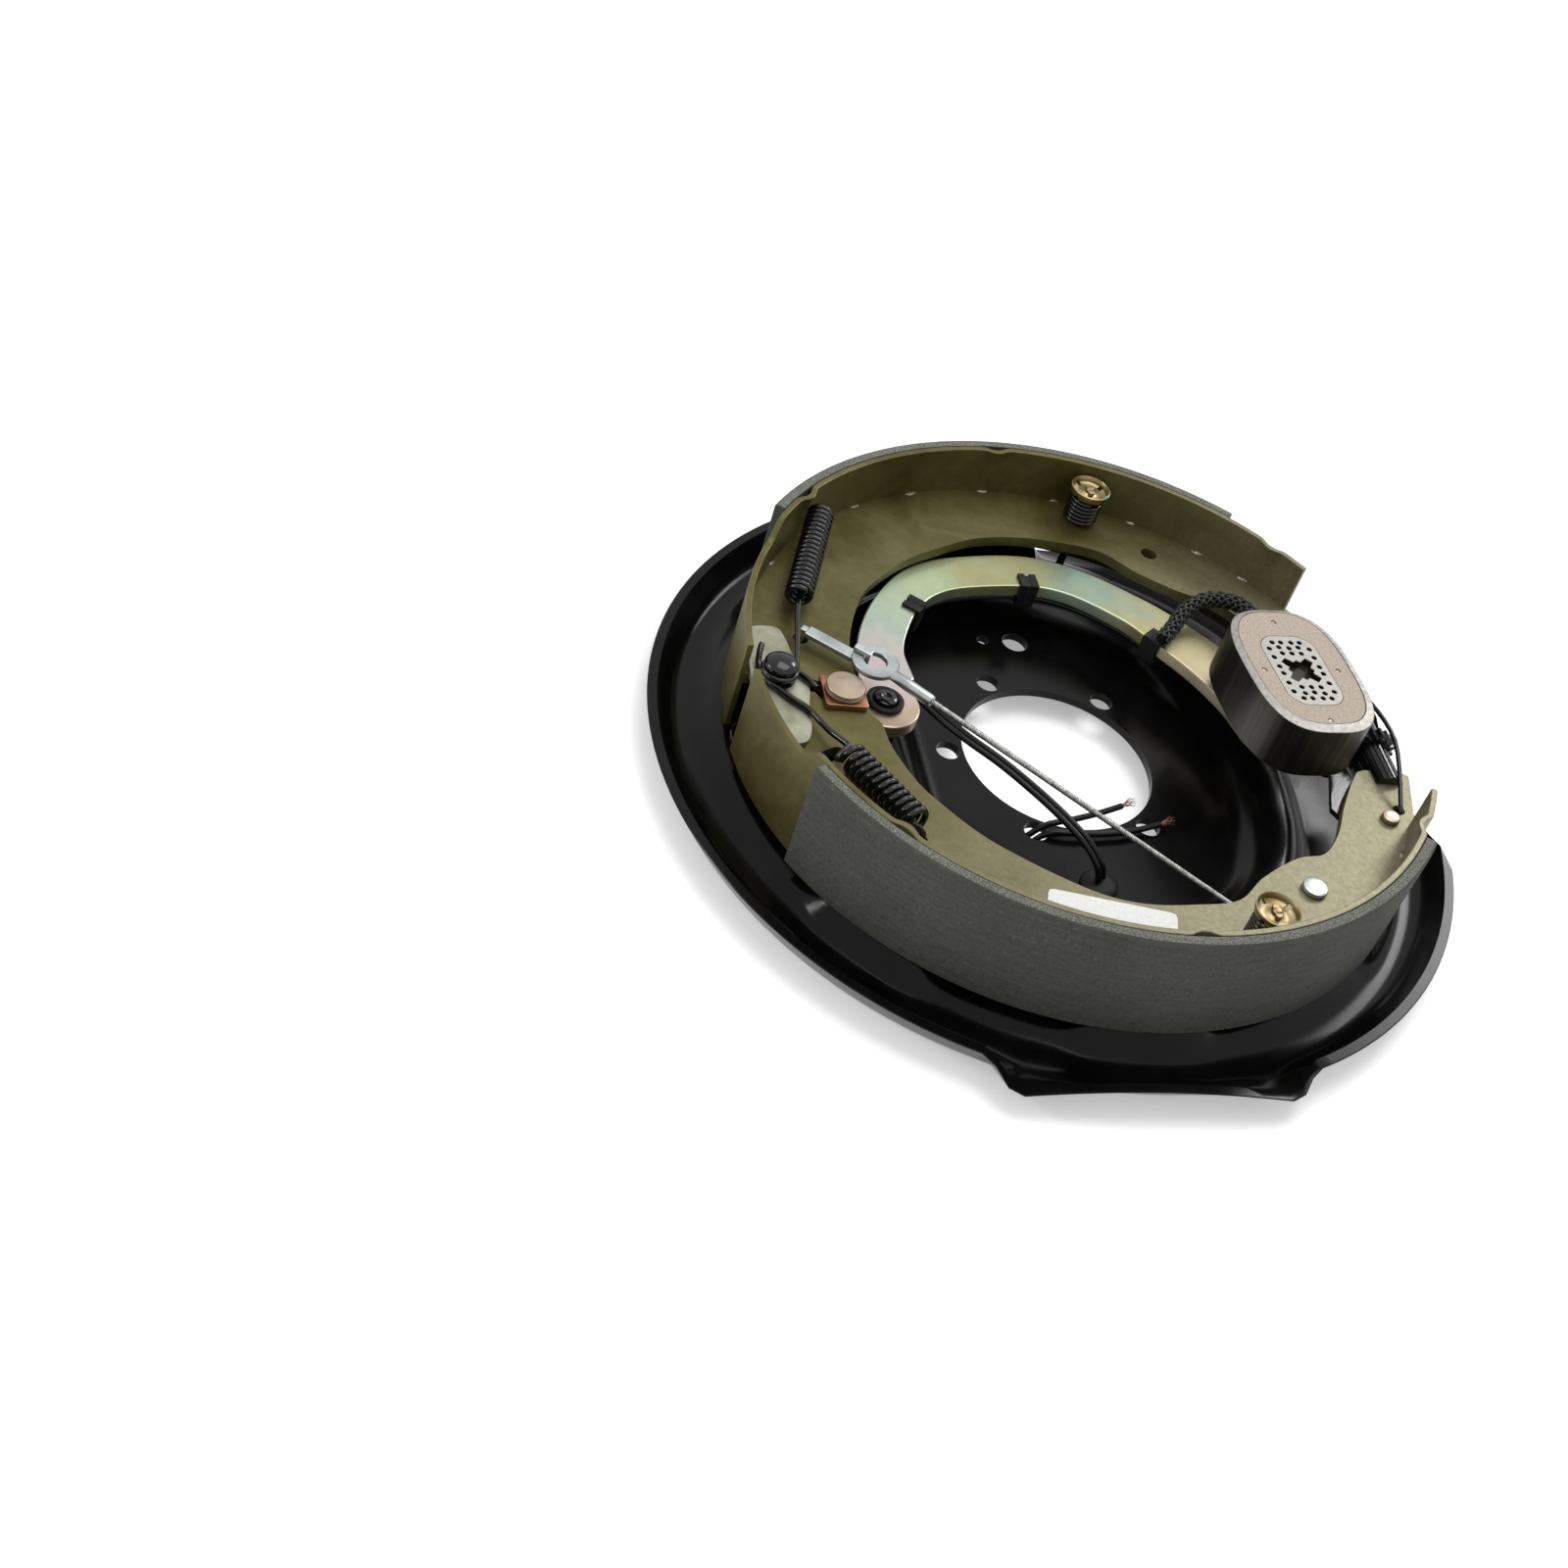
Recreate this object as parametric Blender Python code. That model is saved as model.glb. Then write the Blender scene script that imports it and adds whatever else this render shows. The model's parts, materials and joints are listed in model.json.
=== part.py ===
"""Electric trailer brake assembly, right hand, with forward self-adjusting shoes.

The brake lies on the back of its plate. +Z points outboard, towards the drum, and the wheel axis is
parallel to Z. Seen from +Z the anchor post is towards +Y and the primary shoe towards +X. All places
below are measured from the wheel axis and from the lowest ridge of the plate.
"""
import math

import bmesh
import bpy
import numpy as np
from mathutils import Matrix, Vector

# Clearances
GAP = 0.0003
RUNNING = 0.0003

# Backing plate, a single pressed sheet
SHEET = 0.0037
CENTRE_HOLE_R = 0.0423
RIM_R = 0.177
RIM_TOP_Z = 0.0146
RIM_LAND = 0.0042
FLAT_LEFT = 0.1775
FLAT_LEFT_FROM = -0.055
FLAT_LEFT_TO = 0.062
FLAT_LEFT_DROP = 0.45
FLAT_FADE = 4.5
FLAT_BOTTOM = 0.168
FLAT_RIGHT = 0.155
HUB_Z = 0.0131
MOAT_Z = 0.0202
MOAT_SHALLOW_Z = 0.0162
MOAT_SHALLOW_FROM = -43.0
MOAT_SHALLOW_TO = 12.0
ANNULUS_Z = 0.0096
PAD_Z = 0.0148
HUB_CHORD_Y = 0.062
PLATFORM_Y = 0.071
# Angle in degrees and radius of the edges of the hub recess and of the raised strip round it
HUB_EDGE = ((-180, 0.0925), (-150, 0.0912), (-137, 0.0883), (-123, 0.0813), (-102, 0.0754), (-79, 0.0756),
            (-52, 0.0844), (-36, 0.0905), (-6, 0.0930), (25, 0.0917), (45, 0.0900), (135, 0.0900),
            (151, 0.0905), (169, 0.0915))
MOAT_INNER = ((-180, 0.1025), (-145, 0.1000), (-131, 0.0955), (-120, 0.0905), (-102, 0.0872), (-84, 0.0885),
              (-67, 0.0930), (-54, 0.0990), (-43, 0.1035), (-6, 0.1030), (25, 0.1020), (45, 0.1010),
              (135, 0.1010), (151, 0.1010))
MOAT_OUTER = ((-180, 0.1140), (-160, 0.1150), (-143, 0.1130), (-128, 0.1070), (-101, 0.1010), (-85, 0.1017),
              (-62, 0.1094), (-45, 0.1120), (-6, 0.1103), (60, 0.1115), (127, 0.1103), (155, 0.1125))
MOAT_FLANK = 0.0070
CREASE_R = 0.145
TROUGH_INNER_R = 0.1545
TROUGH_OUTER_R = 0.166
PAD_INNER_R = 0.131
PAD_OUTER_R = 0.1465
PAD_FLANK = 0.0035
PADS = ((38.0, 55.0), (126.0, 144.0), (170.0, 188.5), (228.5, 246.5), (289.0, 308.0), (350.0, 365.0))
BEND = 0.0022
PLATE_STEP = 9.0

# Holes in the plate
BOLT_CIRCLE_R = 0.0492
BOLT_HOLE_R = 0.00525
BOLT_ANGLES = (90.0, 155.0, 219.0, 321.0, 25.0)
SIDE_HOLE_X = 0.0735
SIDE_HOLE_Y = 0.0012
SIDE_HOLE_R = 0.0060
SMALL_HOLE_Y = 0.0165
SMALL_HOLE_R = 0.0030
SLOT_CIRCLE_R = 0.1315
SLOT_ANGLES = (-99.5, -84.0)
SLOT_LENGTH = 0.0220
SLOT_WIDTH = 0.0052
SLOT_LOBE_R = 0.0040

# Shoes: a rolled table with a flat web, and a bonded lining
LINING_R = 0.151
LINING_T = 0.0047
TABLE_T = 0.0026
SHOE_WIDTH = 0.051
WEB_T = 0.005
WEB_ABOVE = 0.0232
PRIMARY_LINING_FROM = -40.6
PRIMARY_LINING_TO = 54.8
PRIMARY_TABLE_FROM = -57.5
PRIMARY_TABLE_TO = 88.5
SECONDARY_LINING_FROM = 118.2
SECONDARY_LINING_TO = 233.0
SECONDARY_TABLE_FROM = 94.0
SECONDARY_TABLE_TO = 245.5
TABLE_NECK_DROP = 0.0075
TABLE_NECK_RAMP = 5.0
NIB_DEPTH = 0.0024
NIB_HEIGHT = 0.0090
NIB_HALF = 2.0
PRIMARY_NIBS = (-50.0, 4.0, 48.0)
SECONDARY_NIBS = (134.0, 181.0, 236.0)
# Inner edge of the adjuster half of a web, as radius and angle from the middle of the shoe's side
WEB_NOSE = ((0.0285, -0.1185), (0.0270, -0.1230), (0.0270, -0.1400), (0.0290, -0.1430), (0.0450, -0.1385),
            (0.0575, -0.1345))
WEB_HEEL = ((0.0360, -0.1130), (0.0510, -0.1040), (0.0660, -0.0960), (0.0780, -0.0855), (0.0815, -0.0720),
            (0.0930, -0.0530), (0.1060, -0.0380))
PRIMARY_WEB_EDGE = ((0.1100, -0.0180), (0.1105, 0.0010), (0.1070, 0.0210), (0.0980, 0.0400), (0.0850, 0.0610),
                    (0.0660, 0.0800), (0.0500, 0.0885), (0.0340, 0.0940), (0.0190, 0.0972))
SECONDARY_WEB_EDGE = ((-0.1095, -0.0180), (-0.1105, 0.0000), (-0.1080, 0.0150), (-0.1020, 0.0285),
                      (-0.0910, 0.0460), (-0.0780, 0.0625), (-0.0590, 0.0780), (-0.0480, 0.0840),
                      (-0.0330, 0.0890), (-0.0200, 0.0905))

# Anchor post and guide plate
ANCHOR_Y = 0.1315
POST_R = 0.0090
POST_FOOT_R = 0.0115
POST_FOOT_T = 0.0030
POST_STEM_R = 0.0070
POST_RIVET_R = 0.0110
POST_RIVET_T = 0.0022
POST_UPPER_R = 0.0068
POST_NECK_R = 0.0050
POST_NECK_H = 0.0060
POST_HEAD_R = 0.0070
POST_HEAD_H = 0.0036
GUIDE_PLATE_T = 0.0026
GUIDE_PLATE = ((0.0290, 0.1385), (0.0305, 0.1275), (0.0240, 0.1245), (0.0150, 0.1230), (0.0040, 0.1212),
               (-0.0050, 0.1190), (-0.0150, 0.1208), (-0.0289, 0.1222), (-0.0365, 0.1258), (-0.0365, 0.1342),
               (-0.0248, 0.1365), (-0.0150, 0.1400), (-0.0060, 0.1422), (0.0070, 0.1420), (0.0170, 0.1398))

# Actuating arm, its pivot and the block that spreads the shoes
PIVOT_Y = 0.084
PIVOT_R = 0.0060
PIVOT_FOOT_R = 0.0090
PIVOT_TOP_R = 0.0050
PIVOT_TOP_H = 0.0030
RING_R = 0.0080
RING_T = 0.0014
ARM_T = 0.006
ARM_UNDER_WEB = 0.0011
ARM_LOBE_R = 0.0150
# Centre line of the arm and half of its width there
ARM_LINE = ((0.0160, 0.0800, 0.0122), (0.0340, 0.0790, 0.0102), (0.0515, 0.0728, 0.0097),
            (0.0675, 0.0635, 0.0093), (0.0805, 0.0510, 0.0097), (0.0888, 0.0335, 0.0102),
            (0.0945, 0.0000, 0.0106), (0.0900, -0.0230, 0.0103), (0.0750, -0.0465, 0.0108),
            (0.0615, -0.0600, 0.0122), (0.0430, -0.0750, 0.0132), (0.0220, -0.0860, 0.0134),
            (0.0017, -0.0910, 0.0130))
BLOCK_X = -0.0050
BLOCK_Y = 0.1045
BLOCK_W = 0.0180
BLOCK_CORE_W = 0.0125
BLOCK_CORE_H = 0.0140
BLOCK_CAP_T = 0.0026
RIVET_R = 0.0080
RIVET_HEAD_T = 0.0028
RIVET_STEM_R = 0.0035

# Electromagnet
MAGNET_X = 0.0017
MAGNET_Y = -0.0910
MAGNET_TURN = 5.0
MAGNET_L = 0.076
MAGNET_W = 0.053
MAGNET_H = 0.025
MAGNET_LIFT = 0.0090
MAGNET_CURVE = 2.9
MAGNET_WALL = 0.0046
MAGNET_FACE_T = 0.0035
MAGNET_RECESS = 0.0002
CORE_L = 0.0430
CORE_W = 0.0270
CORE_CORNER_R = 0.0090
CROSS_L = 0.0150
CROSS_W = 0.0130
CROSS_ARM = 0.0055
CROSS_DEPTH = 0.0022
STUD_R = 0.0050
STUD_H = 0.0160
STUD_ROOM = 0.0080
MAGNET_SPRING_R = 0.0120

# Adjuster between the webs
ADJUSTER_Y = -0.1315
ADJUSTER_R = 0.0070
FORK_DEPTH = 0.0080
SOCKET_END_X = -0.0140
STAR_R = 0.0110
STAR_ROOT_R = 0.0088
STAR_T = 0.0050
STAR_TEETH = 18
SCREW_R = 0.0042
SHANK_R = 0.0030
NUT_FROM_X = -0.0050

# Self-adjusting lever, its rivet and the cable guide
LEVER_PIN_X = -0.0560
LEVER_PIN_Y = -0.1234
LEVER_T = 0.0025
LEVER = ((-0.0630, -0.1230), (-0.0615, -0.1142), (-0.0535, -0.1065), (-0.0460, -0.1026), (-0.0234, -0.1104),
         (-0.0085, -0.1150), (-0.0085, -0.1198), (-0.0135, -0.1198), (-0.0220, -0.1187), (-0.0390, -0.1200),
         (-0.0490, -0.1225), (-0.0520, -0.1275), (-0.0580, -0.1290))
SMALL_STEM_R = 0.0022
LEVER_HEAD_R = 0.0040
GUIDE_HEAD_R = 0.0053
SMALL_HEAD_T = 0.0022
GUIDE_X = -0.0980
GUIDE_Y = -0.0620
GUIDE_ARC_R = 0.0176
GUIDE_FLANGE = 0.0022
GUIDE_H = 0.0070
GUIDE_FROM = 118.0
GUIDE_TO = 292.0
GUIDE_RIVET_X = -0.0985
GUIDE_RIVET_Y = -0.0730

# Cable, its eye and the link to the primary shoe
CABLE_R = 0.00125
LINK_X = 0.0283
LINK_Y = 0.1165
LINK_LENGTH = 0.0330
LINK_ANGLE = -127.5
LINK_W = 0.0060
LINK_TAB_W = 0.0034
LINK_T = 0.0020
EYE_R = 0.0100
EYE_HOLE_R = 0.0050
EYE_T = 0.0025
EYE_LIFT = 0.0063
FERRULE_ANGLE = 223.1
FERRULE_R = 0.0026
FERRULE_LENGTH = 0.0290

# Springs
WIRE_R = 0.0012
COIL_R = 0.0040
COIL_PITCH = 0.0028
COIL_SEGMENTS = 7
WIRE_SIDES = 4
LOOP_CLEARANCE = 0.0005
PRIMARY_COIL_FROM = (0.0436, 0.1171, 0.0525)
PRIMARY_COIL_TO = (0.0955, 0.0995, 0.0560)
PRIMARY_HOOK = (0.1010, 0.0960)
SECONDARY_COIL_FROM = (-0.0465, 0.1105, 0.0492)
SECONDARY_COIL_TO = (-0.0820, 0.0890, 0.0492)
SECONDARY_HOOK = (-0.0900, 0.0835)
HOLD_SPRING_R = 0.0068
HOLD_SPRING_TURNS = 5.5
HOLD_CUP_R = 0.0090
HOLD_CUP_Z = 0.0575
HOLD_CUP_H = 0.0030
HOLD_PIN_R = 0.0019
HOLD_HEAD_R = 0.0050
HOLD_HEAD_T = 0.0014
HOLD_BLADE = 0.0070
HOLD_CIRCLE_R = 0.1330
HOLD_ANGLES = (-14.6, -162.5)
HOLD_HOLE_R = 0.0045
HOOK_HOLE_R = 0.0027
ADJUSTER_SPRING_X = 0.0500
ADJUSTER_SPRING_Y = -0.1300
SPARE_HOLE = (0.1080, -0.0630, 0.0038)

# Leads
LEAD_R = 0.0013
SLEEVE_R = 0.0032
LEAD_CLIP_STATIONS = (3, 6)
SLEEVE_CLIP_STATION = 9
CLIP_REACH = 0.0075
CLIP_W = 0.0085
CLIP_T = 0.0012
GROMMET_R = 0.0080
GROMMET_T = 0.0022
STRAP_W = 0.0060
STRAP_DISC_R = 0.0052

# Heights and radii that follow from the sizes above
SHOE_BASE_Z = PAD_Z + GAP
SHOE_TOP_Z = SHOE_BASE_Z + SHOE_WIDTH
WEB_BOTTOM_Z = SHOE_BASE_Z + WEB_ABOVE
WEB_TOP_Z = WEB_BOTTOM_Z + WEB_T
WEB_MID_Z = (WEB_BOTTOM_Z + WEB_TOP_Z) / 2
TABLE_R = LINING_R - LINING_T - GAP
TABLE_INNER_R = TABLE_R - TABLE_T
WEB_R = TABLE_R - TABLE_T / 2
GUIDE_PLATE_Z = WEB_TOP_Z + GAP
GUIDE_PLATE_TOP_Z = GUIDE_PLATE_Z + GUIDE_PLATE_T
NECK_Z = GUIDE_PLATE_TOP_Z + GAP
HEAD_Z = NECK_Z + POST_NECK_H
LOOP_R = POST_NECK_R + WIRE_R + LOOP_CLEARANCE
LOOP_LOW_Z = GUIDE_PLATE_TOP_Z + GAP + WIRE_R
LOOP_HIGH_Z = LOOP_LOW_Z + 2 * WIRE_R + GAP
ARM_TOP_Z = WEB_BOTTOM_Z - ARM_UNDER_WEB
ARM_BOTTOM_Z = ARM_TOP_Z - ARM_T
MAGNET_Z = ARM_TOP_Z + MAGNET_LIFT
MAGNET_TOP_Z = MAGNET_Z + MAGNET_H
EYE_Z = WEB_TOP_Z + EYE_LIFT
EYE_X = LINK_X + LINK_LENGTH * math.cos(math.radians(LINK_ANGLE))
EYE_Y = LINK_Y + LINK_LENGTH * math.sin(math.radians(LINK_ANGLE))
NOSE_X = WEB_NOSE[1][0]
HUB_BACK_Z = HUB_Z - SHEET
ANNULUS_BACK_Z = ANNULUS_Z - SHEET
LEVER_TOP_Z = WEB_BOTTOM_Z - GAP
WHEEL_X = (FLAT_LEFT - FLAT_RIGHT) / 2
WHEEL_Y = (FLAT_BOTTOM - RIM_R) / 2


def clear_scene():
    for item in list(bpy.data.objects):
        bpy.data.objects.remove(item, do_unlink=True)


def make_material(name, colour, roughness, metallic):
    material = bpy.data.materials.new(name)
    material.use_nodes = True
    shader = material.node_tree.nodes["Principled BSDF"]
    shader.inputs["Base Color"].default_value = (*colour, 1.0)
    shader.inputs["Roughness"].default_value = roughness
    shader.inputs["Metallic"].default_value = metallic
    material.diffuse_color = (*colour, 1.0)
    return material


def add_empty(name, parent, location):
    empty = bpy.data.objects.new(name, None)
    empty.empty_display_size = 0.02
    empty.location = location
    empty.parent = parent
    bpy.context.scene.collection.objects.link(empty)
    return empty


def body_offset(body):
    """Place of a body's empty from the wheel axis, summed up its parents."""
    offset = Vector((0.0, 0.0, 0.0))
    while body.parent is not None:
        offset += body.location
        body = body.parent
    return offset


def add_mesh(name, shape, material, body, smooth=35.0):
    """Makes a shape that is drawn about the wheel axis into an object of its body."""
    bmesh.ops.recalc_face_normals(shape, faces=shape.faces)
    mesh = bpy.data.meshes.new(name)
    shape.to_mesh(mesh)
    shape.free()
    mesh.transform(Matrix.Translation(-body_offset(body)))
    if material is not None:
        mesh.materials.append(material)
    mesh.shade_smooth()
    mesh.set_sharp_from_angle(angle=math.radians(smooth))
    item = bpy.data.objects.new(name, mesh)
    item.parent = body
    bpy.context.scene.collection.objects.link(item)
    return item


def combine(target, shape, operation, label):
    """Cuts a shape out of an object, or joins the shape to it."""
    tool = add_mesh(target.name + "_" + label, shape, None, target.parent)
    tool.hide_render = True
    tool.display_type = "WIRE"
    modifier = target.modifiers.new(label, "BOOLEAN")
    modifier.operation = operation
    modifier.solver = "EXACT"
    modifier.object = tool
    return tool


def cut(target, shape, label):
    return combine(target, shape, "DIFFERENCE", label)


def join(target, shape, label):
    return combine(target, shape, "UNION", label)


def polar(radius, degrees, centre=(0.0, 0.0)):
    angle = math.radians(degrees)
    return (centre[0] + radius * math.cos(angle), centre[1] + radius * math.sin(angle))


def arc(radius, start, end, steps, centre=(0.0, 0.0)):
    return [polar(radius, start + (end - start) * step / steps, centre) for step in range(steps + 1)]


def curve_through(points, steps, closed=False):
    """Points of a smooth curve through the given ones, in two or three dimensions."""
    given = [Vector(point) for point in points]
    count = len(given)
    spans = count if closed else count - 1
    result = []
    for span in range(spans):
        if closed:
            before, start, end, after = (given[(span + shift) % count] for shift in (-1, 0, 1, 2))
        else:
            start = given[span]
            end = given[span + 1]
            before = given[span - 1] if span else start * 2 - end
            after = given[span + 2] if span + 2 < count else end * 2 - start
        for step in range(steps):
            t = step / steps
            result.append(0.5 * (start * 2 + (end - before) * t
                                 + (before * 2 - start * 5 + end * 4 - after) * t ** 2
                                 + (start * 3 - before - end * 3 + after) * t ** 3))
    if not closed:
        result.append(given[-1])
    return result


def prism(outline, bottom, top):
    """Closed prism on an outline in the XY plane."""
    shape = bmesh.new()
    add_prism(shape, outline, bottom, top)
    return shape


def add_prism(shape, outline, bottom, top):
    lower = [shape.verts.new((point[0], point[1], bottom)) for point in outline]
    upper = [shape.verts.new((point[0], point[1], top)) for point in outline]
    shape.faces.new(lower)
    shape.faces.new(upper)
    for index, vertex in enumerate(lower):
        following = (index + 1) % len(lower)
        shape.faces.new((vertex, lower[following], upper[following], upper[index]))


def box(low, high):
    outline = ((low[0], low[1]), (high[0], low[1]), (high[0], high[1]), (low[0], high[1]))
    return prism(outline, low[2], high[2])


def turned(profile, segments, centre=(0.0, 0.0)):
    """Solid turned about a vertical axis from a closed profile of radius and height."""
    shape = bmesh.new()
    rings = []
    for radius, height in profile:
        if radius < 1e-6:
            rings.append([shape.verts.new((centre[0], centre[1], height))])
        else:
            ring = [polar(radius, 360.0 * step / segments, centre) for step in range(segments)]
            rings.append([shape.verts.new((x, y, height)) for x, y in ring])
    closed = min(radius for radius, height in profile) > 1e-6
    pairs = list(zip(rings, rings[1:]))
    if closed:
        pairs.append((rings[-1], rings[0]))
    for lower, upper in pairs:
        for step in range(segments):
            corners = [lower[step % len(lower)], lower[(step + 1) % len(lower)],
                       upper[(step + 1) % len(upper)], upper[step % len(upper)]]
            unique = list(dict.fromkeys(corners))
            if len(unique) > 2:
                shape.faces.new(unique)
    return shape


def cylinder(centre, radius, bottom, top, segments=16):
    return turned(((0.0, bottom), (radius, bottom), (radius, top), (0.0, top)), segments, centre)


def lofted(sections):
    """Closed solid through closed sections that have equal numbers of points."""
    shape = bmesh.new()
    rings = [[shape.verts.new(point) for point in section] for section in sections]
    count = len(rings[0])
    for lower, upper in zip(rings, rings[1:]):
        for index in range(count):
            following = (index + 1) % count
            shape.faces.new((lower[index], lower[following], upper[following], upper[index]))
    shape.faces.new(rings[0])
    shape.faces.new(rings[-1])
    return shape


def wire(points, radius=WIRE_R, sides=WIRE_SIDES):
    """Round wire along a path, with flat ends."""
    path = [Vector(point) for point in points]
    tangents = []
    for index in range(len(path)):
        ahead = path[min(index + 1, len(path) - 1)]
        behind = path[max(index - 1, 0)]
        tangents.append((ahead - behind).normalized())
    side = tangents[0].orthogonal().normalized()
    sections = []
    for point, tangent in zip(path, tangents):
        side = (side - tangent * side.dot(tangent)).normalized()
        across = tangent.cross(side)
        ring = []
        for step in range(sides):
            turn = 2 * math.pi * step / sides
            ring.append(point + (side * math.cos(turn) + across * math.sin(turn)) * radius)
        sections.append(ring)
    return lofted(sections)


def helix(start, end, radius, pitch, segments=COIL_SEGMENTS, turn=0.0):
    """Points of a coil between two ends of its axis, a whole number of segments long."""
    start = Vector(start)
    end = Vector(end)
    axis = (end - start).normalized()
    length = (end - start).length
    up = Vector((0.0, 0.0, 1.0))
    if abs(axis.z) > 0.9:
        up = Vector((1.0, 0.0, 0.0))
    across = axis.cross(up).normalized()
    upright = across.cross(axis)
    count = round(length / pitch * segments)
    points = []
    for index in range(count + 1):
        angle = math.radians(turn) + 2 * math.pi * index / segments
        offset = across * math.cos(angle) + upright * math.sin(angle)
        points.append(start + axis * (length * index / count) + offset * radius)
    return points


def tube(name, points, radius, material, body, resolution=2):
    """Cord as a curve with a round bevel and filled caps."""
    curve = bpy.data.curves.new(name, "CURVE")
    curve.dimensions = "3D"
    curve.bevel_depth = radius
    curve.bevel_resolution = resolution
    curve.use_fill_caps = True
    spline = curve.splines.new("POLY")
    spline.points.add(len(points) - 1)
    offset = body_offset(body)
    for target, point in zip(spline.points, points):
        target.co = (*(Vector(point) - offset), 1.0)
    curve.materials.append(material)
    item = bpy.data.objects.new(name, curve)
    item.parent = body
    bpy.context.scene.collection.objects.link(item)
    return item


def table_value(table, degrees):
    angles = [entry[0] for entry in table]
    return float(np.interp(degrees, angles, [entry[1] for entry in table], period=360.0))


def chord(radius, degrees, height):
    """Radius, limited by a straight edge at a height on the anchor side."""
    rise = math.sin(math.radians(degrees))
    if rise * radius > height:
        return height / rise
    return radius


def rim_edge(degrees):
    """Outer radius and height of the plate's lip, with the flat on the left."""
    turned_by = (degrees - 180.0 + 180.0) % 360.0 - 180.0
    low = -math.degrees(math.atan2(FLAT_LEFT_TO, FLAT_LEFT))
    high = -math.degrees(math.atan2(FLAT_LEFT_FROM, FLAT_LEFT))
    held = min(max(turned_by, low), high)
    flare = FLAT_LEFT / math.cos(math.radians(held)) - RIM_R
    fade = min(abs(turned_by - held) / FLAT_FADE, 1.0)
    flare *= (1.0 - fade) ** 1.5
    return RIM_R + flare, RIM_TOP_Z - flare * FLAT_LEFT_DROP


def pad_share(degrees):
    """1 on a shoe pad, 0 beside it."""
    for start, end in PADS:
        middle = (start + end) / 2
        away = abs((degrees - middle + 180.0) % 360.0 - 180.0)
        if away <= (end - start) / 2:
            return 1.0
    return 0.0


def moat_height(degrees):
    ramp = 6.0
    angle = (degrees + 180.0) % 360.0 - 180.0
    inside = min(angle - MOAT_SHALLOW_FROM, MOAT_SHALLOW_TO - angle)
    share = min(max(inside / ramp, 0.0), 1.0)
    return MOAT_Z + (MOAT_SHALLOW_Z - MOAT_Z) * share


def plate_profile(degrees):
    """Upper face of the plate at one angle, as radius and height, with its bends rounded."""
    hub = chord(table_value(HUB_EDGE, degrees), degrees, HUB_CHORD_Y)
    inner = chord(table_value(MOAT_INNER, degrees), degrees, PLATFORM_Y)
    outer = table_value(MOAT_OUTER, degrees)
    moat = moat_height(degrees)
    share = pad_share(degrees)
    pad = ANNULUS_Z + (PAD_Z - ANNULUS_Z) * share
    shoulder = CREASE_R + (PAD_OUTER_R - CREASE_R) * share
    edge_r, edge_z = rim_edge(degrees)
    corners = ((CENTRE_HOLE_R, HUB_Z, 0), (hub, HUB_Z, 1), (inner, moat, 1), (outer, moat, 0),
               (outer + MOAT_FLANK, ANNULUS_Z, 0), (PAD_INNER_R - PAD_FLANK, ANNULUS_Z, 0),
               (PAD_INNER_R, pad, 0), (shoulder, pad, 1), (TROUGH_INNER_R, SHEET, 1),
               (TROUGH_OUTER_R, SHEET, 0), (edge_r - RIM_LAND, edge_z, 0))
    points = []
    for index, (radius, height, rounded) in enumerate(corners):
        if not rounded:
            points.append((radius, height))
            continue
        here = Vector((radius, height))
        for other in (corners[index - 1], corners[index + 1]):
            towards = (Vector(other[:2]) - here).normalized()
            points.append(tuple(here + towards * BEND))
    return points, edge_r, edge_z


def offset_down(points, distance):
    """The lower face of a sheet: each point moved square to the profile."""
    moved = []
    for index, point in enumerate(points):
        here = Vector(point)
        ahead = Vector(points[min(index + 1, len(points) - 1)])
        behind = Vector(points[max(index - 1, 0)])
        into = (here - behind).normalized() if index else (ahead - here).normalized()
        out = (ahead - here).normalized() if index < len(points) - 1 else into
        square_in = Vector((into.y, -into.x))
        square_out = Vector((out.y, -out.x))
        mitre = (square_in + square_out).normalized()
        moved.append(tuple(here + mitre * (distance / mitre.dot(square_in))))
    return moved


def plate_angles():
    """Angles of the plate's sections: the pads' ends, the flat's ends and even steps between them."""
    fixed = {0.0, 90.0, 180.0, 270.0}
    foot = math.degrees(PAD_FLANK / PAD_INNER_R)
    for start, end in PADS:
        fixed.update((start - foot, start, end, end + foot))
    for edge in (FLAT_LEFT_FROM, FLAT_LEFT_TO):
        corner = 180.0 - math.degrees(math.atan2(edge, FLAT_LEFT))
        away = math.copysign(FLAT_FADE, -edge)
        fixed.update((corner, corner + away / 2, corner + away))
    chord_end = math.degrees(math.asin(HUB_CHORD_Y / table_value(HUB_EDGE, 90.0)))
    fixed.update((chord_end, 180.0 - chord_end))
    ordered = sorted(angle % 360.0 for angle in fixed)
    kept = []
    for angle in ordered:
        if not kept or angle - kept[-1] > 0.8:
            kept.append(angle)
    angles = []
    for start, end in zip(kept, kept[1:] + [kept[0] + 360.0]):
        pieces = max(1, round((end - start) / PLATE_STEP))
        angles.extend(start + (end - start) * piece / pieces for piece in range(pieces))
    return angles


def dog_bone(centre):
    """Outline of an adjuster slot, a bar with a round lobe at each end."""
    half = SLOT_LENGTH / 2 - SLOT_LOBE_R
    neck = math.degrees(math.asin(SLOT_WIDTH / 2 / SLOT_LOBE_R))
    right = arc(SLOT_LOBE_R, neck - 180.0, 180.0 - neck, 8, (centre[0] + half, centre[1]))
    left = arc(SLOT_LOBE_R, neck, 360.0 - neck, 8, (centre[0] - half, centre[1]))
    return right + left


def stadium(centre, length, width, steps=6):
    half = (length - width) / 2
    right = arc(width / 2, -90.0, 90.0, steps, (centre[0] + half, centre[1]))
    left = arc(width / 2, 90.0, 270.0, steps, (centre[0] - half, centre[1]))
    return right + left


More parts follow.
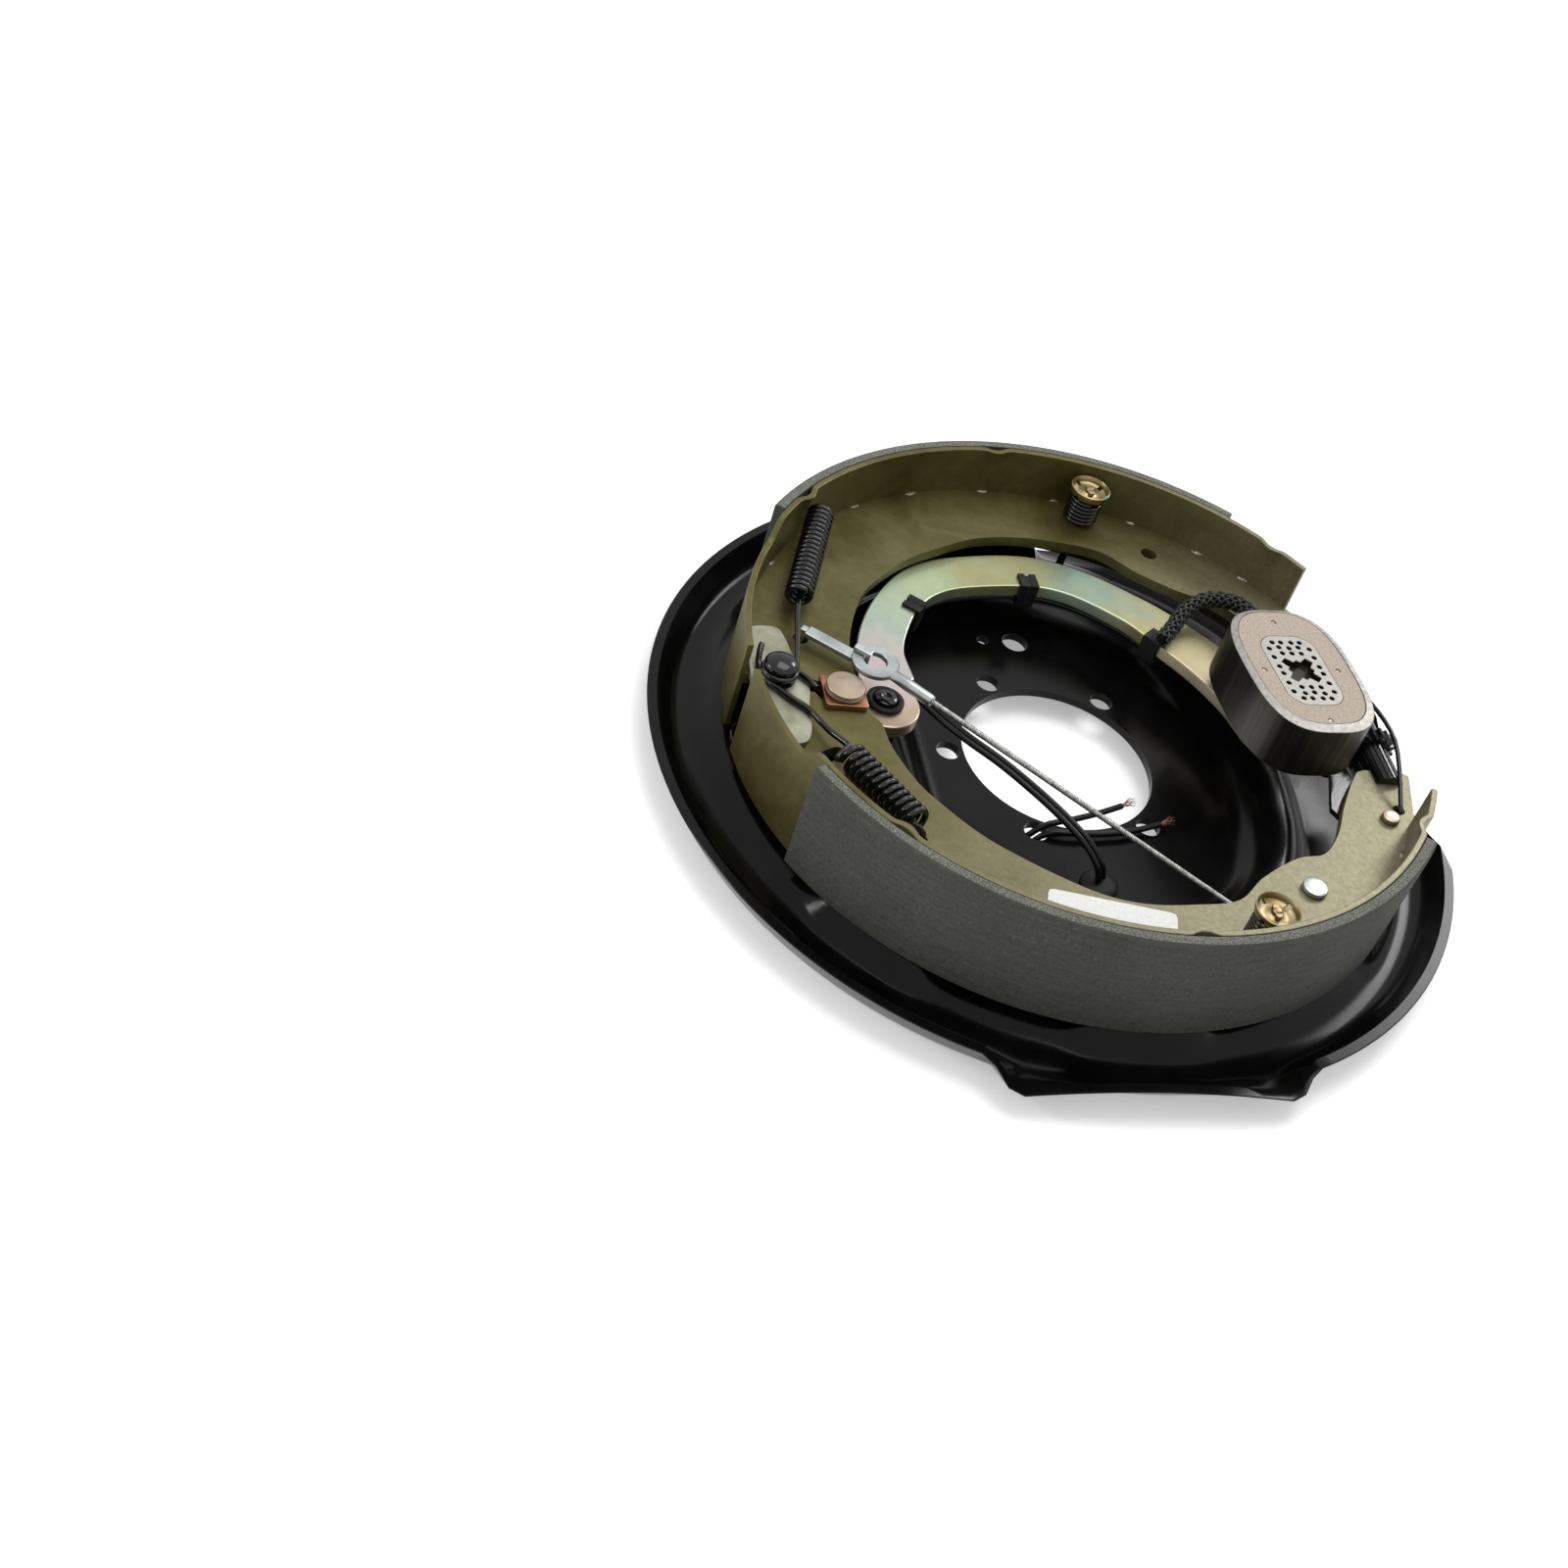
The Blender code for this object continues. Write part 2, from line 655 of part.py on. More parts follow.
def backing_plate(material, body):
    shape = bmesh.new()
    upper = []
    lower = []
    for angle in plate_angles():
        profile, edge_r, edge_z = plate_profile(angle)
        under = offset_down(profile, SHEET)
        under[0] = (CENTRE_HOLE_R, HUB_BACK_Z)
        under[-1] = (edge_r, edge_z)
        upper.append([shape.verts.new((*polar(radius, angle), height)) for radius, height in profile])
        lower.append([shape.verts.new((*polar(radius, angle), height)) for radius, height in under])
    count = len(upper)
    for index in range(count):
        following = (index + 1) % count
        for station in range(len(upper[0]) - 1):
            for face in (upper, lower):
                shape.faces.new((face[index][station], face[following][station],
                                 face[following][station + 1], face[index][station + 1]))
        for station in (0, -1):
            shape.faces.new((upper[index][station], upper[following][station],
                             lower[following][station], lower[index][station]))
    plate = add_mesh("backing_plate", shape, material, body, 40.0)
    beyond = 0.05
    depth = 0.03
    cut(plate, box((-RIM_R, -FLAT_BOTTOM - beyond, -depth), (RIM_R, -FLAT_BOTTOM, depth)), "flat_bottom")
    cut(plate, box((FLAT_RIGHT, -RIM_R, -depth), (FLAT_RIGHT + beyond, RIM_R, depth)), "flat_right")
    holes = bmesh.new()
    for angle in BOLT_ANGLES:
        add_prism(holes, arc(BOLT_HOLE_R, 0.0, 337.5, 15, polar(BOLT_CIRCLE_R, angle)), -depth, depth)
    for side in (1, -1):
        add_prism(holes, arc(SIDE_HOLE_R, 0.0, 337.5, 15, (side * SIDE_HOLE_X, SIDE_HOLE_Y)), -depth, depth)
        add_prism(holes, arc(SMALL_HOLE_R, 0.0, 330.0, 11, (side * SIDE_HOLE_X, SMALL_HOLE_Y)), -depth, depth)
    for angle in HOLD_ANGLES:
        hole_r = HOLD_PIN_R + RUNNING
        add_prism(holes, arc(hole_r, 0.0, 324.0, 9, polar(HOLD_CIRCLE_R, angle)), -depth, depth)
    add_prism(holes, arc(POST_STEM_R + RUNNING, 0.0, 345.0, 23, (0.0, ANCHOR_Y)), -depth, depth)
    for angle in SLOT_ANGLES:
        add_prism(holes, dog_bone(polar(SLOT_CIRCLE_R, angle)), -depth, depth)
    cut(plate, holes, "holes")
    return plate


def nib_share(degrees, nibs):
    """1 in the middle of a nib, 0 away from it, with a rounded shape between."""
    share = 0.0
    for nib in nibs:
        away = abs(degrees - nib) / NIB_HALF
        share = max(share, 1.0 - min(away, 1.0) ** 2)
    return share


def table_angles(start, end, nibs, neck):
    fixed = {start, end, neck[0], neck[1]}
    for nib in nibs:
        fixed.update((nib - NIB_HALF, nib - NIB_HALF / 2, nib, nib + NIB_HALF / 2, nib + NIB_HALF))
    kept = sorted(fixed)
    angles = []
    for low, high in zip(kept, kept[1:]):
        pieces = max(1, round((high - low) / 7.0))
        angles.extend(low + (high - low) * piece / pieces for piece in range(pieces))
    return angles + [kept[-1]]


def shoe_table(start, end, nibs, lining_end, bare_end):
    """Rolled table of a shoe. Its outboard edge is lower on the bare end by the anchor."""
    ramp = math.copysign(TABLE_NECK_RAMP, bare_end - lining_end)
    neck = (lining_end + ramp * 0.3, lining_end + ramp * 1.3)
    sections = []
    for angle in table_angles(start, end, nibs, neck):
        share = min(max((angle - neck[0]) / (neck[1] - neck[0]), 0.0), 1.0)
        top = SHOE_TOP_Z - TABLE_NECK_DROP * share
        dent = nib_share(angle, nibs) * NIB_DEPTH
        levels = ((SHOE_BASE_Z, 0.0), (top - NIB_HEIGHT, 0.0), (top - NIB_HEIGHT / 2, 0.55), (top, 1.0))
        outer = [(TABLE_R - dent * part, height) for height, part in levels]
        inner = [(TABLE_INNER_R - dent * part, height) for height, part in reversed(levels)]
        sections.append([(*polar(radius, angle), height) for radius, height in outer + inner])
    return lofted(sections)


def shoe_web(side, edge, table_from, table_to):
    """Flat web of a shoe, as an outline. The adjuster end is the same on both shoes, mirrored."""
    nose = [(side * x, y) for x, y in WEB_NOSE]
    heel = [(side * x, y) for x, y in WEB_HEEL]
    inner = curve_through(list(heel) + list(edge), 2)
    block_edge = BLOCK_X + side * (BLOCK_CORE_W / 2 + GAP)
    block_low = BLOCK_Y - BLOCK_CORE_H / 2 - 0.0015
    block_high = BLOCK_Y + BLOCK_CORE_H / 2
    notch_r = POST_R + GAP
    half_open = 25.0
    notch = arc(notch_r, -90.0 + side * half_open, 90.0 - side * half_open, 8, (0.0, ANCHOR_Y))
    if side < 0:
        notch = arc(notch_r, 270.0 - half_open, 90.0 + half_open, 8, (0.0, ANCHOR_Y))
    end_angle = table_to if side > 0 else table_from
    outer = arc(WEB_R, end_angle, table_from if side > 0 else table_to, 20)
    points = [nose[0]]
    points.extend((point[0], point[1]) for point in inner)
    points.append((block_edge, block_low))
    points.append((block_edge, block_high))
    points.append((notch[0][0], block_high + 0.0045))
    points.extend(notch)
    points.extend(outer)
    points.extend(reversed(nose[1:]))
    return points


def brake_shoe(name, side, material, body):
    if side > 0:
        start, end, nibs, edge = PRIMARY_TABLE_FROM, PRIMARY_TABLE_TO, PRIMARY_NIBS, PRIMARY_WEB_EDGE
        lining_end, bare_end = PRIMARY_LINING_TO, PRIMARY_TABLE_TO
    else:
        start, end, nibs, edge = SECONDARY_TABLE_FROM, SECONDARY_TABLE_TO, SECONDARY_NIBS, SECONDARY_WEB_EDGE
        lining_end, bare_end = SECONDARY_LINING_FROM, SECONDARY_TABLE_FROM
    shoe = add_mesh(name, shoe_table(start, end, nibs, lining_end, bare_end), material, body)
    web = prism(shoe_web(side, edge, start, end), WEB_BOTTOM_Z, WEB_TOP_Z)
    join(shoe, web, "web")
    holes = bmesh.new()
    low = WEB_BOTTOM_Z - WEB_T
    high = WEB_TOP_Z + WEB_T
    hold = polar(HOLD_CIRCLE_R, HOLD_ANGLES[0] if side > 0 else HOLD_ANGLES[1])
    round_holes = [(*hold, HOLD_HOLE_R), (side * ADJUSTER_SPRING_X, ADJUSTER_SPRING_Y, HOOK_HOLE_R)]
    if side > 0:
        round_holes += [(*PRIMARY_HOOK, HOOK_HOLE_R), (LINK_X, LINK_Y, LINK_TAB_W / 2 + 0.0016), SPARE_HOLE]
    else:
        round_holes += [(*SECONDARY_HOOK, HOOK_HOLE_R),
                        (LEVER_PIN_X, LEVER_PIN_Y, SMALL_STEM_R + RUNNING),
                        (GUIDE_RIVET_X, GUIDE_RIVET_Y, SMALL_STEM_R + RUNNING)]
    for x, y, radius in round_holes:
        add_prism(holes, arc(radius, 0.0, 330.0, 11, (x, y)), low, high)
    cut(shoe, holes, "holes")
    return shoe


def lining(name, start, end, material, body):
    inner_r = TABLE_R + GAP
    chamfer = 0.0010
    count = 20
    sections = []
    for step in range(count + 1):
        angle = start + (end - start) * step / count
        radii = ((inner_r, SHOE_BASE_Z), (LINING_R - chamfer, SHOE_BASE_Z), (LINING_R, SHOE_BASE_Z + chamfer),
                 (LINING_R, SHOE_TOP_Z - chamfer), (LINING_R - chamfer, SHOE_TOP_Z), (inner_r, SHOE_TOP_Z))
        sections.append([(*polar(radius, angle), height) for radius, height in radii])
    return add_mesh(name, lofted(sections), material, body)


def anchor_post(material, body):
    foot = ANNULUS_Z + GAP
    back = ANNULUS_BACK_Z - GAP
    profile = ((0.0, back - POST_RIVET_T), (POST_RIVET_R * 0.8, back - POST_RIVET_T),
               (POST_RIVET_R, back - POST_RIVET_T * 0.4), (POST_RIVET_R, back), (POST_STEM_R, back),
               (POST_STEM_R, foot), (POST_FOOT_R, foot), (POST_FOOT_R, foot + POST_FOOT_T),
               (POST_R, foot + POST_FOOT_T), (POST_R, WEB_TOP_Z), (POST_UPPER_R, WEB_TOP_Z),
               (POST_UPPER_R, GUIDE_PLATE_TOP_Z), (POST_NECK_R, NECK_Z), (POST_NECK_R, HEAD_Z - 0.0012),
               (POST_HEAD_R, HEAD_Z), (POST_HEAD_R * 0.97, HEAD_Z + POST_HEAD_H * 0.4),
               (POST_HEAD_R * 0.75, HEAD_Z + POST_HEAD_H * 0.78), (POST_HEAD_R * 0.4, HEAD_Z + POST_HEAD_H * 0.97),
               (0.0, HEAD_Z + POST_HEAD_H))
    return add_mesh("anchor_post", turned(profile, 16, (0.0, ANCHOR_Y)), material, body)


def guide_plate(material, body):
    outline = [(point.x, point.y) for point in curve_through(GUIDE_PLATE, 2, closed=True)]
    plate = add_mesh("guide_plate", prism(outline, GUIDE_PLATE_Z, GUIDE_PLATE_TOP_Z), material, body)
    hole_r = POST_UPPER_R + RUNNING
    cut(plate, cylinder((0.0, ANCHOR_Y), hole_r, GUIDE_PLATE_Z - SHEET, GUIDE_PLATE_TOP_Z + SHEET, 24), "post")
    return plate


def arm_outline():
    """Outline of the arm: a ribbon along its centre line, round at the pivot and at the magnet."""
    line = curve_through(ARM_LINE, 2)
    left = []
    right = []
    for index, point in enumerate(line):
        ahead = line[min(index + 1, len(line) - 1)]
        behind = line[max(index - 1, 0)]
        along = (ahead.xy - behind.xy).normalized()
        across = Vector((-along.y, along.x))
        left.append(tuple(point.xy + across * point.z))
        right.append(tuple(point.xy - across * point.z))
    end = line[-1]
    heading = math.degrees(math.atan2(end.y - line[-2].y, end.x - line[-2].x))
    tip = arc(end.z, heading + 90.0, heading - 90.0, 10, (end.x, end.y))[1:-1]
    lobe = arc(ARM_LOBE_R, -35.0, -300.0, 16, (0.0, PIVOT_Y))
    return left + tip + right[::-1] + lobe


def actuating_arm(material, body):
    arm = add_mesh("actuating_arm", prism(arm_outline(), ARM_BOTTOM_Z, ARM_TOP_Z), material, body)
    below = ARM_BOTTOM_Z - ARM_T
    above = ARM_TOP_Z + ARM_T
    cut(arm, cylinder((0.0, PIVOT_Y), PIVOT_R + RUNNING, below, above, 24), "pivot")
    rivet_lobe = cylinder((BLOCK_X, BLOCK_Y), RIVET_R * 0.95, ARM_BOTTOM_Z, ARM_TOP_Z, 20)
    join(arm, rivet_lobe, "rivet_lobe")
    cut(arm, cylinder((BLOCK_X, BLOCK_Y), RIVET_STEM_R + RUNNING, below, above, 16), "rivet")
    stud = cylinder((MAGNET_X, MAGNET_Y), STUD_R, ARM_TOP_Z - ARM_T / 2, ARM_TOP_Z + STUD_H, 20)
    join(arm, stud, "stud")
    return arm


def arm_pivot(material, body):
    foot = MOAT_Z + GAP
    top = ARM_TOP_Z + GAP
    profile = ((0.0, foot), (PIVOT_FOOT_R, foot), (PIVOT_FOOT_R, ARM_BOTTOM_Z - GAP), (PIVOT_R, ARM_BOTTOM_Z - GAP),
               (PIVOT_R, top), (PIVOT_TOP_R, top), (PIVOT_TOP_R, top + PIVOT_TOP_H * 0.75),
               (PIVOT_TOP_R * 0.85, top + PIVOT_TOP_H), (0.0, top + PIVOT_TOP_H))
    return add_mesh("arm_pivot_pin", turned(profile, 20, (0.0, PIVOT_Y)), material, body)


def pivot_ring(material, body):
    bottom = ARM_TOP_Z + 2 * GAP
    profile = ((PIVOT_TOP_R + GAP, bottom), (RING_R, bottom), (RING_R, bottom + RING_T),
               (PIVOT_TOP_R + GAP, bottom + RING_T))
    return add_mesh("arm_retaining_ring", turned(profile, 20, (0.0, PIVOT_Y)), material, body)


def spreading_block(material, body):
    core_low = ARM_TOP_Z + GAP
    half_w = BLOCK_CORE_W / 2
    half_h = BLOCK_CORE_H / 2
    block = add_mesh("actuator_block", box((BLOCK_X - half_w, BLOCK_Y - half_h, core_low),
                                           (BLOCK_X + half_w, BLOCK_Y + half_h, WEB_TOP_Z + BLOCK_CAP_T / 2)),
                     material, body)
    cap_low = WEB_TOP_Z + GAP
    half = BLOCK_W / 2
    cap = box((BLOCK_X - half, BLOCK_Y - half, cap_low), (BLOCK_X + half, BLOCK_Y + half, cap_low + BLOCK_CAP_T))
    join(block, cap, "cap")
    hole = cylinder((BLOCK_X, BLOCK_Y), RIVET_STEM_R + RUNNING, core_low - ARM_T, cap_low + 2 * BLOCK_CAP_T, 16)
    cut(block, hole, "rivet")
    return block


def block_rivet(material, body):
    low = ARM_BOTTOM_Z - GAP
    seat = WEB_TOP_Z + 2 * GAP + BLOCK_CAP_T
    profile = ((0.0, low - RIVET_HEAD_T * 0.7), (RIVET_STEM_R * 1.7, low - RIVET_HEAD_T * 0.7),
               (RIVET_STEM_R * 1.7, low), (RIVET_STEM_R, low), (RIVET_STEM_R, seat), (RIVET_R, seat),
               (RIVET_R, seat + RIVET_HEAD_T * 0.7), (RIVET_R * 0.93, seat + RIVET_HEAD_T),
               (0.0, seat + RIVET_HEAD_T))
    return add_mesh("block_rivet", turned(profile, 20, (BLOCK_X, BLOCK_Y)), material, body)


def magnet_outline(inset, count=36):
    """Rounded oblong of the magnet, drawn in by an inset."""
    half_l = MAGNET_L / 2 - inset
    half_w = MAGNET_W / 2 - inset
    points = []
    for step in range(count):
        angle = 2 * math.pi * step / count
        x = math.copysign(abs(math.cos(angle)) ** (2 / MAGNET_CURVE), math.cos(angle)) * half_l
        y = math.copysign(abs(math.sin(angle)) ** (2 / MAGNET_CURVE), math.sin(angle)) * half_w
        points.append(magnet_point(x, y))
    return points


def magnet_point(x, y):
    turn = math.radians(MAGNET_TURN)
    return (MAGNET_X + x * math.cos(turn) - y * math.sin(turn),
            MAGNET_Y + x * math.sin(turn) + y * math.cos(turn))


def rounded_oblong(length, width, corner):
    """Rectangle with round corners on the magnet's own axes."""
    points = []
    for sign_x, sign_y, start in ((1, 1, 0.0), (-1, 1, 90.0), (-1, -1, 180.0), (1, -1, 270.0)):
        centre = (sign_x * (length / 2 - corner), sign_y * (width / 2 - corner))
        points.extend(arc(corner, start, start + 90.0, 5, centre))
    return [magnet_point(x, y) for x, y in points]


def magnet_body(material, body):
    magnet = add_mesh("magnet_body", prism(magnet_outline(0.0), MAGNET_Z, MAGNET_TOP_Z), material, body, 50.0)
    pocket = prism(magnet_outline(MAGNET_WALL), MAGNET_TOP_Z - MAGNET_FACE_T - GAP, MAGNET_TOP_Z + MAGNET_FACE_T)
    cut(magnet, pocket, "pocket")
    hole = cylinder((MAGNET_X, MAGNET_Y), STUD_R + RUNNING, MAGNET_Z - STUD_ROOM,
                    ARM_TOP_Z + STUD_H + STUD_ROOM, 20)
    cut(magnet, hole, "stud_hole")
    return magnet


def magnet_face(material, body):
    top = MAGNET_TOP_Z - MAGNET_RECESS
    face = add_mesh("magnet_friction_face", prism(magnet_outline(MAGNET_WALL + GAP), top - MAGNET_FACE_T, top),
                    material, body, 50.0)
    window = prism(rounded_oblong(CORE_L, CORE_W, CORE_CORNER_R), top - 2 * MAGNET_FACE_T, top + MAGNET_FACE_T)
    cut(face, window, "core_window")
    return face


def magnet_core(material, body):
    top = MAGNET_TOP_Z - MAGNET_RECESS
    outline = rounded_oblong(CORE_L - 2 * GAP, CORE_W - 2 * GAP, CORE_CORNER_R - GAP)
    core = add_mesh("magnet_core", prism(outline, top - MAGNET_FACE_T, top), material, body)
    half_l = CROSS_L / 2
    half_w = CROSS_W / 2
    arm = CROSS_ARM / 2
    cross = ((half_l, arm), (arm, arm), (arm, half_w), (-arm, half_w), (-arm, arm), (-half_l, arm),
             (-half_l, -arm), (-arm, -arm), (-arm, -half_w), (arm, -half_w), (arm, -arm), (half_l, -arm))
    cut(core, prism([magnet_point(x, y) for x, y in cross], top - CROSS_DEPTH, top + CROSS_DEPTH), "cross")
    return core


def magnet_spring(material, body):
    turns = 2.5
    low = ARM_TOP_Z + GAP + WIRE_R
    high = MAGNET_Z - GAP - WIRE_R
    steps = round(turns * 12)
    points = []
    for step in range(steps + 1):
        share = step / steps
        radius = MAGNET_SPRING_R - 0.004 * share
        x, y = polar(radius, 360.0 * turns * share, (MAGNET_X, MAGNET_Y))
        points.append((x, y, low + (high - low) * share))
    return add_mesh("magnet_spring", wire(points), material, body)


def primary_spring(material, body):
    post = (0.0, ANCHOR_Y)
    start = Vector(PRIMARY_COIL_FROM)
    end = Vector(PRIMARY_COIL_TO)
    loop = []
    for step in range(14):
        angle = 262.0 - 24.0 * step
        share = min(max((70.0 - angle) / 75.0, 0.0), 1.0)
        loop.append((*polar(LOOP_R, angle, post), LOOP_HIGH_Z + (LOOP_LOW_Z - LOOP_HIGH_Z) * share))
    tail = [(0.0008, 0.1215, LOOP_LOW_Z), (-0.0060, 0.1165, LOOP_LOW_Z)]
    coil = helix(start, end, COIL_R, COIL_PITCH, turn=60.0)
    hook_low = WEB_BOTTOM_Z - 0.0015
    hook = [(PRIMARY_HOOK[0], PRIMARY_HOOK[1], WEB_TOP_Z + 0.005), (PRIMARY_HOOK[0], PRIMARY_HOOK[1], WEB_TOP_Z),
            (PRIMARY_HOOK[0], PRIMARY_HOOK[1], hook_low)]
    points = tail[::-1] + loop[::-1] + [tuple(coil[0].lerp(Vector(loop[0]), 0.5))] + coil + hook
    return add_mesh("primary_return_spring", wire(points), material, body)


def secondary_spring(material, body):
    post = (0.0, ANCHOR_Y)
    start = Vector(SECONDARY_COIL_FROM)
    end = Vector(SECONDARY_COIL_TO)
    tip = [(0.0150, 0.1402, LOOP_LOW_Z), (0.0080, 0.1390, LOOP_LOW_Z)]
    loop = [(*polar(LOOP_R, angle, post), LOOP_LOW_Z) for angle in (88.0, 116.0, 144.0)]
    lead = [(-0.0133, 0.1285, LOOP_LOW_Z), (-0.0190, 0.1225, LOOP_LOW_Z), (-0.0262, 0.1185, LOOP_LOW_Z),
            (-0.0350, 0.1145, LOOP_LOW_Z), (-0.0405, 0.1125, LOOP_LOW_Z)]
    coil = helix(start, end, COIL_R, COIL_PITCH, turn=200.0)
    hook_low = WEB_BOTTOM_Z - 0.0015
    hook = [(*SECONDARY_HOOK, WEB_TOP_Z + 0.003), (*SECONDARY_HOOK, WEB_TOP_Z), (*SECONDARY_HOOK, hook_low)]
    points = tip + loop + lead + coil + hook
    return add_mesh("secondary_return_spring", wire(points), material, body)


def adjuster_spring(material, body):
    x = ADJUSTER_SPRING_X
    y = ADJUSTER_SPRING_Y
    over = WEB_MID_Z + STAR_R + WIRE_R + 0.0018
    low = WEB_BOTTOM_Z - 0.0015
    start = Vector((0.0150, -0.1345, over))
    end = Vector((0.0390, -0.1330, over - 0.0030))
    coil = helix(start, end, 0.0032, COIL_PITCH)
    points = [(-x, y, low), (-x, y, WEB_TOP_Z), (-x, y, WEB_TOP_Z + 0.002), (-0.0200, -0.1345, over)]
    points += [(0.0100, -0.1345, over)] + coil
    points += [(x, y, WEB_TOP_Z + 0.003), (x, y, WEB_TOP_Z), (x, y, low)]
    return add_mesh("adjuster_spring", wire(points, 0.0010), material, body)


def hold_down(index, angle, materials, body):
    centre = polar(HOLD_CIRCLE_R, angle)
    back = ANNULUS_BACK_Z - GAP
    cup_floor = HOLD_CUP_Z
    blade_z = cup_floor + 0.0012 + GAP
    profile = ((0.0, back - HOLD_HEAD_T), (HOLD_HEAD_R, back - HOLD_HEAD_T), (HOLD_HEAD_R, back),
               (HOLD_PIN_R, back), (HOLD_PIN_R, blade_z + 0.0020), (0.0, blade_z + 0.0020))
    pin = add_mesh("hold_down_pin_%d" % index, turned(profile, 10, centre), materials["brass zinc"], body)
    blade = box((centre[0] - HOLD_BLADE / 2, centre[1] - HOLD_PIN_R * 0.8, blade_z),
                (centre[0] + HOLD_BLADE / 2, centre[1] + HOLD_PIN_R * 0.8, blade_z + 0.0016))
    join(pin, blade, "blade")
    steps = round(HOLD_SPRING_TURNS * 8)
    low = WEB_TOP_Z + GAP + WIRE_R
    high = cup_floor - GAP - WIRE_R
    points = []
    for step in range(steps + 1):
        share = step / steps
        x, y = polar(HOLD_SPRING_R, 360.0 * HOLD_SPRING_TURNS * share, centre)
        points.append((x, y, low + (high - low) * share))
    add_mesh("hold_down_spring_%d" % index, wire(points, 0.0010), materials["spring"], body)
    wall = 0.0012
    cup = ((HOLD_PIN_R + RUNNING, cup_floor), (HOLD_CUP_R - wall, cup_floor), (HOLD_CUP_R, cup_floor + wall),
           (HOLD_CUP_R, cup_floor + HOLD_CUP_H), (HOLD_CUP_R - wall, cup_floor + HOLD_CUP_H),
           (HOLD_CUP_R - wall, cup_floor + wall), (HOLD_PIN_R + RUNNING, cup_floor + wall))
    add_mesh("hold_down_cup_%d" % index, turned(cup, 14, centre), materials["brass zinc"], body)


def lying(shape, x):
    """Turns a shape drawn about the vertical so that it lies along the adjuster's axis from x."""
    turn = Matrix.Rotation(math.radians(90.0), 4, "Y")
    shape.transform(Matrix.Translation((x, ADJUSTER_Y, WEB_MID_Z)) @ turn)
    return shape


def adjuster_nut(material, body):
    length = NOSE_X + FORK_DEPTH - NUT_FROM_X
    profile = ((0.0, 0.0), (ADJUSTER_R - 0.0008, 0.0), (ADJUSTER_R, 0.0008), (ADJUSTER_R, length), (0.0, length))
    nut = add_mesh("adjuster_nut", lying(turned(profile, 16), NUT_FROM_X), material, body)
    bore = lying(cylinder((0.0, 0.0), SCREW_R + RUNNING, -0.01, 0.0270, 14), NUT_FROM_X)
    cut(nut, bore, "bore")
    cut(nut, fork_slot(1), "fork")
    return nut


def fork_slot(side):
    """Space of the web's nose in the end of an adjuster piece."""
    near = side * (NOSE_X - 2 * GAP)
    far = side * (NOSE_X + 2 * FORK_DEPTH)
    half = WEB_T / 2 + GAP
    wide = 2 * ADJUSTER_R
    return box((min(near, far), ADJUSTER_Y - wide, WEB_MID_Z - half),
               (max(near, far), ADJUSTER_Y + wide, WEB_MID_Z + half))


def adjuster_socket(material, body):
    length = SOCKET_END_X + NOSE_X + FORK_DEPTH
    profile = ((0.0, 0.0), (ADJUSTER_R, 0.0), (ADJUSTER_R, length - 0.0008), (ADJUSTER_R - 0.0008, length),
               (0.0, length))
    socket = add_mesh("adjuster_socket", lying(turned(profile, 16), SOCKET_END_X - length), material, body)
    bore = lying(cylinder((0.0, 0.0), SHANK_R + RUNNING, -0.0100, 0.0100, 12), SOCKET_END_X)
    cut(socket, bore, "bore")
    cut(socket, fork_slot(-1), "fork")
    return socket


def adjuster_screw(material, body):
    """Screw with its star wheel: a plain shank in the socket and a threaded one in the nut."""
    start = SOCKET_END_X + GAP
    teeth = []
    for tooth in range(STAR_TEETH):
        base = 360.0 * tooth / STAR_TEETH
        pitch = 360.0 / STAR_TEETH
        teeth += [polar(STAR_ROOT_R, base), polar(STAR_R, base + pitch * 0.30), polar(STAR_R, base + pitch * 0.62),
                  polar(STAR_ROOT_R, base + pitch * 0.85)]
    screw = add_mesh("adjuster_screw", lying(prism(teeth, 0.0, STAR_T), start), material, body)
    thread_end = NOSE_X - 0.0080 - start
    profile = ((0.0, -0.0080), (SHANK_R, -0.0080), (SHANK_R, STAR_T / 2), (SCREW_R, STAR_T / 2),
               (SCREW_R, thread_end), (0.0, thread_end))
    join(screw, lying(turned(profile, 14), start), "rod")
    return screw


def small_rivet(name, centre, head_r, low, material, body):
    """Rivet with its head on the web and its tail under the piece that it holds."""
    seat = WEB_TOP_Z + GAP
    profile = ((0.0, low - SMALL_HEAD_T * 0.7), (SMALL_STEM_R * 1.6, low - SMALL_HEAD_T * 0.7),
               (SMALL_STEM_R * 1.6, low), (SMALL_STEM_R, low), (SMALL_STEM_R, seat), (head_r, seat),
               (head_r, seat + SMALL_HEAD_T * 0.6), (head_r * 0.9, seat + SMALL_HEAD_T), (0.0, seat + SMALL_HEAD_T))
    return add_mesh(name, turned(profile, 14, centre), material, body)


def adjuster_lever(material, body):
    low = LEVER_TOP_Z - LEVER_T
    lever = add_mesh("adjuster_lever", prism(LEVER, low, LEVER_TOP_Z), material, body)
    hole = cylinder((LEVER_PIN_X, LEVER_PIN_Y), SMALL_STEM_R + RUNNING, low - LEVER_T, LEVER_TOP_Z + LEVER_T, 14)
    cut(lever, hole, "pin")
    return lever


